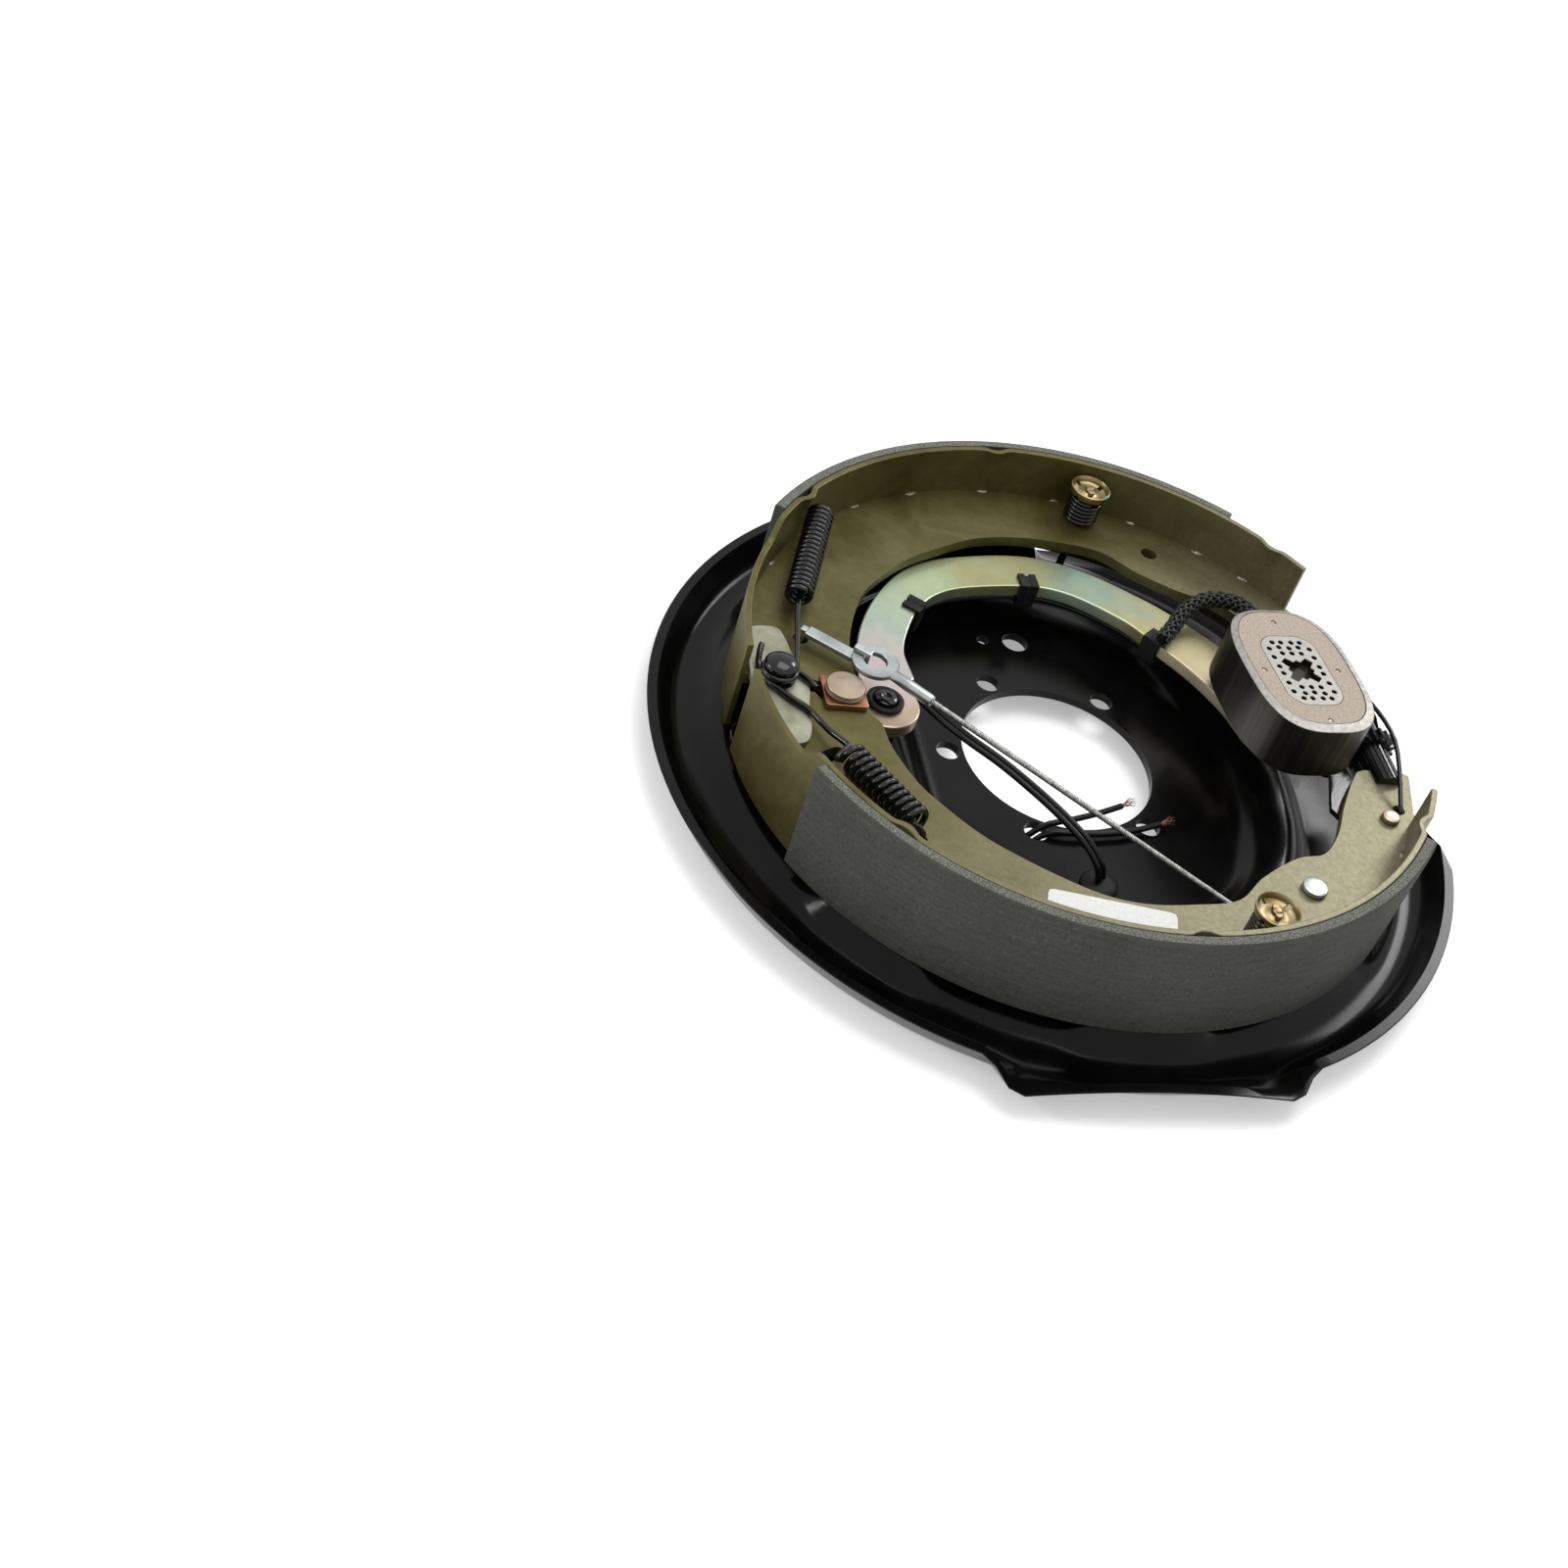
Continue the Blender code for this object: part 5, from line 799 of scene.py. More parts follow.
def make_finishes():
    """One finish for each slot, and those of the welds, label, paint and sleeve's core."""
    return {
        "black_coat": black("black_electrocoat", (9, 9, 9), 0.19, 0.15),
        "black_steel": black("black_phosphate_steel", (12, 12, 12), 0.14, 0.42),
        "black_spring": black("black_spring_wire", (11, 10, 10), 0.10, 0.50),
        "black_rubber": black("black_rubber", (15, 15, 15), 0.50, 0.20, 500.0, 0.00006),
        "black_insulation": black("black_wire_insulation", (14, 14, 14), 0.30, 0.22),
        "sleeve_core": black("braided_sleeve_core", (6, 6, 6), 0.70, 0.15),
        "braided_sleeve": black("braided_sleeve_yarn", (30, 31, 28), 0.42, 0.40, 2400.0, 0.00008),
        "olive_chromate": olive_chromate(),
        "friction_lining": friction_lining(),
        "iridescent_chromate": iridescent_chromate(),
        "magnet_steel": brushed_magnet(),
        "friction_compound": friction_compound(),
        "magnet_core_steel": pierced_core(),
        "label": plain("plain_paper_label", 0.55, (600.0, 4.0), (226, 226, 224), (240, 240, 238), 0.00002),
        "paint_mark": plain("teal_paint_dab", 0.4, (900.0, 3.0), (20, 120, 108), (46, 158, 142), 0.00003),
        "weld": metal("weld_metal", (96, 90, 66), (140, 136, 118), (176, 172, 156), (0.34, 0.5), 600.0),
        "pale_zinc": metal("pale_zinc_plate", (124, 124, 104), (148, 148, 128), (170, 170, 154),
                           (0.36, 0.52)),
        "bright_zinc": metal("bright_zinc_plate", (140, 146, 145), (166, 172, 171), (188, 193, 192)),
        "brass_zinc": metal("yellow_zinc_plate", (112, 98, 62), (142, 126, 88), (168, 152, 118)),
        "rivet_zinc": metal("pink_zinc_plate", (140, 120, 104), (160, 145, 126), (176, 164, 148)),
        "copper_finish": metal("copper_plate", (112, 76, 56), (148, 102, 76), (184, 138, 108)),
        "steel_cable": metal("wire_rope_steel", (120, 120, 118), (156, 156, 153), (186, 186, 182),
                             (0.28, 0.40), 600.0),
    }


def seen_directly(tree, low, high):
    """High for what the camera sees itself, in a mirror or through glass, low for any other light."""
    rays = add_node(tree, "LightPath", {}).outputs
    seen = rays["Is Camera Ray"]
    for name in ("Is Glossy Ray", "Is Transmission Ray"):
        seen = add_node(tree, "Math", {0: seen, 1: rays[name]}, operation="ADD").outputs[0]
    return add_node(tree, "MapRange", {"Value": seen, "To Min": low, "To Max": high}).outputs["Result"]


def camera_and_lights():
    """The photograph's camera, three lamps and a white world."""
    scene = bpy.context.scene
    camera = bpy.data.objects.new("camera", bpy.data.cameras.new("camera"))
    camera.data.sensor_width = CAMERA_SENSOR
    camera.data.lens = CAMERA_LENS
    camera.location = CAMERA_PLACE
    camera.rotation_euler = [math.radians(angle) for angle in CAMERA_TURN]
    scene.collection.objects.link(camera)
    scene.camera = camera
    for name, place, size, power in LAMPS:
        light = bpy.data.lights.new(name, "AREA")
        light.shape = "SQUARE"
        light.size = size
        light.energy = power
        item = bpy.data.objects.new(name, light)
        item.location = place
        item.rotation_euler = (-Vector(place)).to_track_quat("-Z", "Y").to_euler()
        scene.collection.objects.link(item)
    scene.world = bpy.data.worlds.new("studio")
    scene.world.use_nodes = True
    tree = scene.world.node_tree
    background = tree.nodes["Background"]
    tree.links.new(seen_directly(tree, *WORLD_LIGHT), background.inputs["Strength"])
    background.inputs["Color"].default_value = (1.0, 1.0, 1.0, 1.0)
    scene.view_settings.view_transform = "Standard"


def floor():
    """White floor that keeps the object's shadow. Its glow is only seen, and lights nothing."""
    mesh = bpy.data.meshes.new("floor")
    corners = rectangle(-FLOOR_HALF, -FLOOR_HALF, FLOOR_HALF, FLOOR_HALF)
    mesh.from_pydata([(x, y, FLOOR_Z) for x, y in corners], [], [(0, 1, 2, 3)])
    item = bpy.data.objects.new("floor", mesh)
    bpy.context.scene.collection.objects.link(item)
    finish = Finish("white_floor", 0.9, 0.0, 0.1)
    finish.shader["Emission Color"].default_value = (1.0, 1.0, 1.0, 1.0)
    finish.tree.links.new(seen_directly(finish.tree, *FLOOR_GLOW), finish.shader["Emission Strength"])
    finish.colour(finish.ramp(finish.noise(40.0, 2.0), (0.2, 0.93, 0.93, 0.93), (0.8, 0.95, 0.95, 0.95)))
    mesh.materials.append(finish.material)


def bare_copper(name, end, heading):
    """Twisted bare strands at the end of a lead, with their tips a little apart."""
    draw = random.Random(7)
    shape = bmesh.new()
    strands = 9
    steps = 8
    start = Vector(end) - Vector(heading) * 0.001
    along = Vector(heading).normalized()
    side = along.orthogonal().normalized()
    upright = along.cross(side)
    for strand in range(strands):
        spread = draw.uniform(0.0006, 0.0024)
        length = draw.uniform(0.0065, 0.0095)
        points = []
        for step in range(steps + 1):
            share = step / steps
            turn = 2 * math.pi * strand / strands + share * 2.6
            reach = 0.0006 + spread * share ** 2
            points.append(beside((start + along * (length * share), side, upright), turn, reach))
        wire(points, 0.00016, 6, shape)
    return piece(name, shape, "plate", "copper_finish")


def free_leads():
    """The two loose leads in front of the plate, with their bare ends."""
    for index, route in enumerate((FREE_LEAD_1, FREE_LEAD_2), 1):
        points = curve_through(route, 2)
        name = "free_lead_%d" % index
        item = cord_piece(name, points, "plate")
        heading = (points[-1] - points[-2]).normalized()
        copper = bare_copper(name + "_copper", points[-1], heading)


def dress_frame():
    """Gives every CAD node the finish of its slot and joins its loose vertices."""
    slots = {subpart["node"]: subpart["material_slot"] for subpart in frame["record"]["subparts"]}
    for name, item in frame["nodes"].items():
        item.data.materials.clear()
        item.data.materials.append(FINISHES[slots[name]])
        weld = item.modifiers.new("weld", "WELD")
        weld.merge_threshold = 0.00005


def smooth_value(table, degrees, limit=None):
    """Value of an outline table, averaged over a few degrees so that its corners are round."""
    angles = [entry[0] for entry in table]
    values = [entry[1] for entry in table]
    total = 0.0
    shifts = (-5.0, -2.5, 0.0, 2.5, 5.0)
    for shift in shifts:
        value = float(np.interp(degrees + shift, angles, values, period=360.0))
        rise = math.sin(math.radians(degrees + shift))
        if limit and rise * value > limit:
            value = limit / rise
        total += value
    return total / len(shifts)


def rim_edge(degrees):
    """Outer radius and height of the plate's lip, with the flared flat on the left."""
    turned_by = degrees % 360.0 - 180.0
    low = -math.degrees(math.atan2(FLAT_LEFT_TO, FLAT_LEFT))
    high = -math.degrees(math.atan2(FLAT_LEFT_FROM, FLAT_LEFT))
    held = min(max(turned_by, low), high)
    flare = FLAT_LEFT / math.cos(math.radians(held)) - RIM_R
    fade = min(abs(turned_by - held) / FLAT_FADE, 1.0)
    flare *= (1.0 - fade) ** 1.5
    return RIM_R + flare, RIM_TOP_Z - flare * FLAT_LEFT_DROP


def pad_share(degrees):
    """1 on a shoe pad, 0 beside it, with a soft ramp between."""
    foot = 1.8 * math.degrees(PAD_FLANK / PAD_INNER_R)
    best = 0.0
    for start, end in PADS:
        away = abs((degrees - (start + end) / 2 + 180.0) % 360.0 - 180.0) - (end - start) / 2
        best = max(best, eased(1.0 - away / foot))
    return best


def moat_height(degrees):
    """Height of the moat's floor, with its shallow stretch."""
    angle = (degrees + 180.0) % 360.0 - 180.0
    inside = min(angle - MOAT_SHALLOW_FROM, MOAT_SHALLOW_TO - angle)
    return MOAT_Z + (MOAT_SHALLOW_Z - MOAT_Z) * eased(inside / MOAT_RAMP)


def rounded_profile(corners):
    """A profile with each inner corner turned into a short curve."""
    steps = 4
    points = [tuple(corners[0])]
    for before, here, after in zip(corners, corners[1:], corners[2:]):
        middle = Vector(here)
        back = Vector(before) - middle
        ahead = Vector(after) - middle
        reach = min(BEND, 0.45 * back.length, 0.45 * ahead.length)
        first = middle + back.normalized() * reach
        last = middle + ahead.normalized() * reach
        for step in range(steps + 1):
            t = step / steps
            points.append(tuple(first * (1 - t) ** 2 + middle * (2 * t * (1 - t)) + last * t ** 2))
    points.append(tuple(corners[-1]))
    return points


def offset_down(points, distance):
    """The lower face of a sheet: each corner moved square to the profile."""
    moved = []
    for index, point in enumerate(points):
        here = Vector(point)
        ahead = Vector(points[min(index + 1, len(points) - 1)])
        behind = Vector(points[max(index - 1, 0)])
        into = (here - behind).normalized() if index else (ahead - here).normalized()
        out = (ahead - here).normalized() if index < len(points) - 1 else into
        square_in = Vector((into.y, -into.x))
        mitre = (square_in + Vector((out.y, -out.x))).normalized()
        moved.append(tuple(here + mitre * (distance / mitre.dot(square_in))))
    return moved


def plate_corners(degrees):
    """Corners of the plate's upper face at an angle, with the radius and height of its edge."""
    hub = smooth_value(HUB_EDGE, degrees, HUB_CHORD_Y)
    inner = smooth_value(MOAT_INNER, degrees, PLATFORM_Y)
    outer = smooth_value(MOAT_OUTER, degrees)
    moat = moat_height(degrees)
    share = pad_share(degrees)
    pad = ANNULUS_Z + (PAD_Z - ANNULUS_Z) * share
    shoulder = CREASE_R + (PAD_OUTER_R - CREASE_R) * share
    edge_r, edge_z = rim_edge(degrees)
    corners = [(CENTRE_HOLE_R, HUB_Z), (hub, HUB_Z), (inner, moat), (outer, moat),
               (outer + MOAT_FLANK, ANNULUS_Z), (PAD_INNER_R - PAD_FLANK, ANNULUS_Z), (PAD_INNER_R, pad),
               (shoulder, pad), (TROUGH_INNER_R, SHEET), (TROUGH_OUTER_R, SHEET),
               (edge_r - RIM_LAND, edge_z)]
    return corners, edge_r, edge_z


def dog_bone(centre, grow=0.0):
    """Outline of an adjuster slot, a bar with a round lobe at each end."""
    lobe = SLOT_LOBE_R + grow
    half = SLOT_LENGTH / 2 - SLOT_LOBE_R
    neck = math.degrees(math.asin((SLOT_WIDTH / 2 + grow) / lobe))
    right = arc(lobe, neck - 180.0, 180.0 - neck, 20, (centre[0] + half, centre[1]))
    left = arc(lobe, neck, 360.0 - neck, 20, (centre[0] - half, centre[1]))
    return right + left


def stadium(centre, length, width, steps=12):
    """Outline of a bar with round ends."""
    half = (length - width) / 2
    right = arc(width / 2, -90.0, 90.0, steps, (centre[0] + half, centre[1]))
    left = arc(width / 2, 90.0, 270.0, steps, (centre[0] - half, centre[1]))
    return right + left


def backing_plate():
    """The pressed plate as one sheet with rounded bends, drawn section by section round the wheel."""
    shape = bmesh.new()
    upper = []
    lower = []
    count = round(360.0 / PLATE_STEP)
    for index in range(count):
        angle = 360.0 * index / count
        corners, edge_r, edge_z = plate_corners(angle)
        under = offset_down(corners, SHEET)
        under[0] = (CENTRE_HOLE_R, HUB_Z - SHEET)
        under[-1] = (edge_r, edge_z - RIM_EASE)
        top = rounded_profile(corners) + [(edge_r - RIM_EASE, edge_z)]
        for rows, profile in ((upper, top), (lower, rounded_profile(under))):
            rows.append([shape.verts.new((*polar(radius, angle), height)) for radius, height in profile])
    for index in range(count):
        following = (index + 1) % count
        for face in (upper, lower):
            for station in range(len(face[0]) - 1):
                shape.faces.new((face[index][station], face[following][station],
                                 face[following][station + 1], face[index][station + 1]))
        for station in (0, -1):
            shape.faces.new((upper[index][station], upper[following][station],
                             lower[following][station], lower[index][station]))
    beyond = 0.05
    depth = 0.03
    flats = prism(((-RIM_R, -FLAT_BOTTOM), (-RIM_R, -FLAT_BOTTOM - beyond),
                   (RIM_R, -FLAT_BOTTOM - beyond), (RIM_R, -FLAT_BOTTOM)), -depth, depth)
    side = prism(rectangle(FLAT_RIGHT, -RIM_R, FLAT_RIGHT + beyond, RIM_R), -depth, depth)
    holes = [(*polar(BOLT_CIRCLE_R, angle), BOLT_HOLE_R) for angle in BOLT_ANGLES]
    for y, radius in ((SIDE_HOLE_Y, SIDE_HOLE_R), (SMALL_HOLE_Y, SMALL_HOLE_R)):
        holes += [(SIDE_HOLE_X, y, radius), (-SIDE_HOLE_X, y, radius)]
    holes += [(*polar(HOLD_CIRCLE_R, angle), PIN_HOLE_R) for angle in HOLD_ANGLES]
    holes.append((0.0, ANCHOR_Y, POST_HOLE_R))
    openings = drill(holes, -depth, depth, 48)
    for angle in SLOT_ANGLES:
        prism(dog_bone(polar(SLOT_CIRCLE_R, angle)), -depth, depth, openings)
    piece("plate_sheet", shape, "plate", "black_coat", ("backing_plate",), 40.0, (flats, side, openings))


def nib_share(degrees, nibs):
    """1 in the middle of a pressed nib, 0 away from them."""
    aways = [min(abs(degrees - nib) / (1.25 * NIB_HALF), 1.0) for nib in nibs]
    return max((1.0 - away * away) ** 1.5 for away in aways)


def shoe_table(shoe):
    """Rolled table of a shoe, with pressed nibs and a lower edge by the anchor."""
    start, end = shoe["table"]
    lining_end, bare_end = shoe["bare"]
    ramp = math.copysign(TABLE_NECK_RAMP, bare_end - lining_end)
    neck = lining_end + ramp * 0.3

    def profile_at(angle):
        top = SHOE_TOP_Z - TABLE_NECK_DROP * eased((angle - neck) / ramp)
        dent = nib_share(angle, shoe["nibs"]) * NIB_DEPTH
        levels = [(SHOE_BASE_Z, 0.0), (top - NIB_HEIGHT, 0.0)]
        levels += [(top - NIB_HEIGHT * (1 - rise), rise ** 1.4) for rise in (0.2, 0.4, 0.6, 0.8, 1.0)]
        outer = [(TABLE_R - dent * part, height) for height, part in levels]
        return outer + [(TABLE_INNER_R - dent * part, height) for height, part in reversed(levels)]

    count = round((end - start) / 0.7)
    piece(shoe["body"] + "_shoe_table", swept(start, end, count, profile_at), shoe["body"],
          "olive_chromate", (), 40.0, (), 0.0004)


def web_outline(shoe):
    """Outline of a web. The adjuster end is the same on both shoes, mirrored."""
    side = shoe["side"]
    nose = [(side * x, y) for x, y in WEB_NOSE]
    heel = [(side * x, y) for x, y in WEB_HEEL]
    inner = curve_through(heel + shoe["edge"], 6)
    block_edge = BLOCK_X + side * (BLOCK_CORE_W / 2 + GAP)
    block_low = BLOCK_Y - BLOCK_CORE_H / 2 - 0.0015
    block_high = BLOCK_Y + BLOCK_CORE_H / 2
    middle = 90.0 - 90.0 * side
    notch = arc(POST_R + GAP, middle - side * NOTCH_HALF, middle + side * NOTCH_HALF, 20, (0.0, ANCHOR_Y))
    near_anchor, near_adjuster = shoe["table"][::-side]
    outer = arc(TABLE_INNER_R + 0.0008, near_anchor, near_adjuster, 90)
    return [nose[0], *map(tuple, inner), (block_edge, block_low), (block_edge, block_high),
            (notch[0][0], block_high + 0.0045), *notch, *outer, *nose[:0:-1]]


def shoe_web(shoe):
    """Flat web of a shoe with its holes. It stands for the shoe's CAD node."""
    body = shoe["body"]
    side = shoe["side"]
    low = WEB_BOTTOM_Z - WEB_T
    high = WEB_TOP_Z + WEB_T
    hold = polar(HOLD_CIRCLE_R, shoe["hold"])
    places = [(*hold, HOLD_HOLE_R), (side * SPRING_HOLE[0], SPRING_HOLE[1], HOOK_HOLE_R), *shoe["holes"]]
    holes = drill(places, low, high)
    if side < 0:
        near, far = OBLONG_ENDS
        heading = math.degrees(math.atan2(far[1] - near[1], far[0] - near[0]))
        oblong = arc(OBLONG_R, heading - 90.0, heading + 90.0, 12, far)
        oblong += arc(OBLONG_R, heading + 90.0, heading + 270.0, 12, near)
        prism(oblong, low, high, holes)
    piece(body + "_shoe_web", prism(web_outline(shoe), WEB_BOTTOM_Z, WEB_TOP_Z), body, "olive_chromate",
          (body + "_shoe",), 35.0, (holes,), 0.0005)


def weld_spots(shoe):
    """Small welds in the corner between web and table, on both faces of the web."""
    draw = random.Random(3 + shoe["side"])
    spots = bmesh.new()
    for spot, angle in enumerate(shoe["welds"]):
        for height in (WEB_TOP_Z, WEB_BOTTOM_Z):
            centre = Vector((*polar(TABLE_INNER_R - 0.0004, angle), height))
            turn = math.radians(angle + draw.uniform(-12.0, 12.0))
            size = draw.uniform(0.8, 1.2)
            before = len(spots.verts)
            bead(spots, centre, (0.0011 * size, 0.0028 * size, 0.0007), turn)
            spots.verts.ensure_lookup_table()
            for vertex in spots.verts[before:]:
                offset = vertex.co - centre
                ripple = 0.16 * math.sin(3000.0 * offset.x + spot) * math.cos(2600.0 * offset.y)
                vertex.co = centre + offset * (1.0 + ripple)
    piece(shoe["body"] + "_shoe_welds", spots, shoe["body"], "olive_chromate", finish="weld")


def lining(shoe):
    """Friction block on a shoe's table, with eased outer edges."""
    inner_r = TABLE_R + GAP
    chamfer = 0.0010
    profile = [(inner_r, SHOE_BASE_Z), (LINING_R - chamfer, SHOE_BASE_Z), (LINING_R, SHOE_BASE_Z + chamfer),
               (LINING_R, SHOE_TOP_Z - chamfer), (LINING_R - chamfer, SHOE_TOP_Z), (inner_r, SHOE_TOP_Z)]
    name = shoe["body"] + "_lining"
    piece(name + "_block", swept(*shoe["lining"], 120, lambda angle: profile), shoe["body"],
          "friction_lining", (name,), 30.0, (), 0.0003)


def web_hook(place, lift, bend, tip):
    """The end of a spring: down through its hole in a web and turned under it."""
    x, y = place
    return [(x, y, WEB_TOP_Z + lift), (x, y, WEB_TOP_Z), (x, y, WEB_BOTTOM_Z - 0.0012),
            (x + bend[0], y + bend[1], WEB_BOTTOM_Z - 0.0026),
            (x + tip[0], y + tip[1], WEB_BOTTOM_Z - 0.0018)]


def primary_spring():
    """Upper spring of the primary shoe, in two halves that part inside the coil."""
    near, far = (Vector(end) for end in PRIMARY_COIL)
    coil = helix(near, far, SPRING_COIL_R, PRIMARY_PITCH, 24, 60.0)
    loop = []
    for step in range(14):
        angle = 262.0 - 24.0 * step
        drop = (LOOP_LOW_Z - LOOP_HIGH_Z) * clamped((70.0 - angle) / 75.0)
        loop.append((*polar(LOOP_R, angle, (0.0, ANCHOR_Y)), LOOP_HIGH_Z + drop))
    leg = [near.lerp(Vector(loop[0]), share) for share in (0.85, 0.5, 0.12)]
    tail = level(LOOP_LOW_Z, (-6.0, 116.5), (0.8, 121.5))
    start = curve_through(tail + loop[::-1] + leg + [near.lerp(far, 0.18)], 5)
    hook = web_hook(PRIMARY_HOOK, 0.005, (0.0022, -0.0008), (0.0048, -0.0016))
    end = curve_through([coil[-1]] + hook, 5)[1:]
    spring_piece("primary_spring_loop", wire(start), "plate")
    spring_piece("primary_spring_wire", wire(coil + end), "primary", ("primary_return_spring",))


def secondary_spring():
    """Upper spring of the secondary shoe, hooked round the anchor post."""
    tip = [(0.0134, 0.1372, LOOP_LOW_Z + 0.0042), (0.0092, 0.1384, LOOP_LOW_Z + 0.0022),
           (0.0050, 0.1389, LOOP_LOW_Z)]
    turn = [(*polar(LOOP_R, angle, (0.0, ANCHOR_Y)), LOOP_LOW_Z) for angle in (88.0, 116.0, 144.0)]
    lead = level(LOOP_LOW_Z, (-13.3, 128.5), (-19.0, 122.5), (-26.2, 118.5))
    lead += mm((-32.6, 115.7, 48.6), (-40.0, 111.2, 50.0), (-41.8, 110.7, 50.0), (-43.2, 112.2, 49.4),
               (-46.2, 115.5, 47.8))
    coil = helix(*SECONDARY_COIL, SPRING_COIL_R, SECONDARY_PITCH, 24)
    start = curve_through(tip + turn + lead + [coil[0]], 5)[:-1]
    hook = web_hook(SECONDARY_HOOK, 0.003, (-0.0022, -0.0012), (-0.0045, -0.0024))
    end = curve_through([coil[-1]] + hook, 5)[1:]
    spring_piece("secondary_spring_wire", wire(start + coil + end, SPRING_WIRE_R), "secondary",
                 ("secondary_return_spring",))


def adjuster_spring():
    """Spring that lies over the adjuster, in two halves that part inside the coil."""
    x, y = SPRING_HOLE
    over = WEB_MID_Z + 0.0110 + WIRE_R + 0.0018
    low = WEB_BOTTOM_Z - 0.0015
    coil = helix((0.0180, -0.1285, over - 0.0024), (0.0400, -0.1280, over - 0.0030), 0.0030, COIL_PITCH, 20)
    near = [(-x - 0.004, y, low - 0.0012), (-x - 0.0012, y, low - 0.0014), (-x, y, low), (-x, y, WEB_TOP_Z),
            (-x, y, WEB_TOP_Z + 0.002), (-0.0200, -0.1345, over), (0.0060, -0.1310, over),
            (0.0180, -0.1285, over - 0.0024), (0.0250, -0.1283, over - 0.0026)]
    far = [coil[-1], (x, y, WEB_TOP_Z + 0.003), (x, y, WEB_TOP_Z), (x, y, low),
           (x + 0.0012, y, low - 0.0014), (x + 0.004, y, low - 0.0012)]
    spring_piece("adjuster_spring_lead", wire(curve_through(near, 5), FINE_WIRE_R), "secondary")
    spring_piece("adjuster_spring_wire", wire(coil + curve_through(far, 5)[1:], FINE_WIRE_R), "plate",
                 ("adjuster_spring",))


def hold_downs():
    """Pin, coil and slotted cup that hold each web against the plate."""
    back = ANNULUS_Z - SHEET - GAP
    floor_z = CUP_FLOOR_Z
    blade_z = floor_z + 0.0012 + GAP
    pin = at(back, (0.0, -1.4), (4.0, -1.4), (5.0, -1.0), (5.0, 0.0), (1.9, 0.0))
    pin += at(blade_z, (1.9, 1.6), (1.2, 2.4), (0.0, 2.6))
    groove = at(back, (2.4, -1.8), (3.0, -1.8), (3.0, -0.9), (2.4, -0.9))
    levels = (WEB_TOP_Z + GAP + WIRE_R, floor_z - GAP - WIRE_R)
    cup = at(floor_z, (2.2, 0.0), (7.2, 0.0), (8.3, 0.6), (8.8, 2.2), (9.1, 3.4), (9.1, 4.0), (8.6, 4.2),
             (8.1, 3.4), (7.7, 1.8), (6.8, 1.2), (3.4, 1.1), (2.2, 1.8))
    for index, angle in enumerate(HOLD_ANGLES, 1):
        centre = polar(HOLD_CIRCLE_R, angle)
        piece("hold_down_pin_shank_%d" % index, turned(pin, 32, centre), "plate", "brass_zinc",
              ("hold_down_pin_%d" % index,), 35.0, (turned(groove, 32, centre),))
        blade = prism(stadium(centre, 0.0070, 0.0030, 6), blade_z, blade_z + 0.0018)
        piece("hold_down_blade_%d" % index, blade, "plate", "brass_zinc", (), 35.0, (), 0.0003)
        coil = spiral(centre, (0.0068, 0.0068), levels, 1980.0, 154)
        spring_piece("hold_down_coil_%d" % index, wire(coil, FINE_WIRE_R), "plate",
                     ("hold_down_spring_%d" % index,))
        slots = bmesh.new()
        for heading in (30.0, 120.0, 210.0, 300.0):
            corners = [polar(radius, heading + turn, centre) for radius, turn in
                       ((0.0060, -10.0), (0.0100, -6.0), (0.0100, 6.0), (0.0060, 10.0))]
            prism(corners, floor_z - 0.002, floor_z + 0.0025, slots)
        piece("hold_down_dish_%d" % index, turned(cup, 48, centre), "plate", "brass_zinc",
              ("hold_down_cup_%d" % index,), 35.0, (slots,))
        dab = bmesh.new()
        for turn, radius, size in ((0.0, 0.0085, 0.0012), (9.0, 0.0083, 0.0008)):
            place = Vector((*polar(radius, PAINT_ANGLE + turn, centre), floor_z + 0.0041))
            bead(dab, place, (size, size * 0.7, 0.0003))
        piece("hold_down_paint_%d" % index, dab, "plate", "brass_zinc", finish="paint_mark")


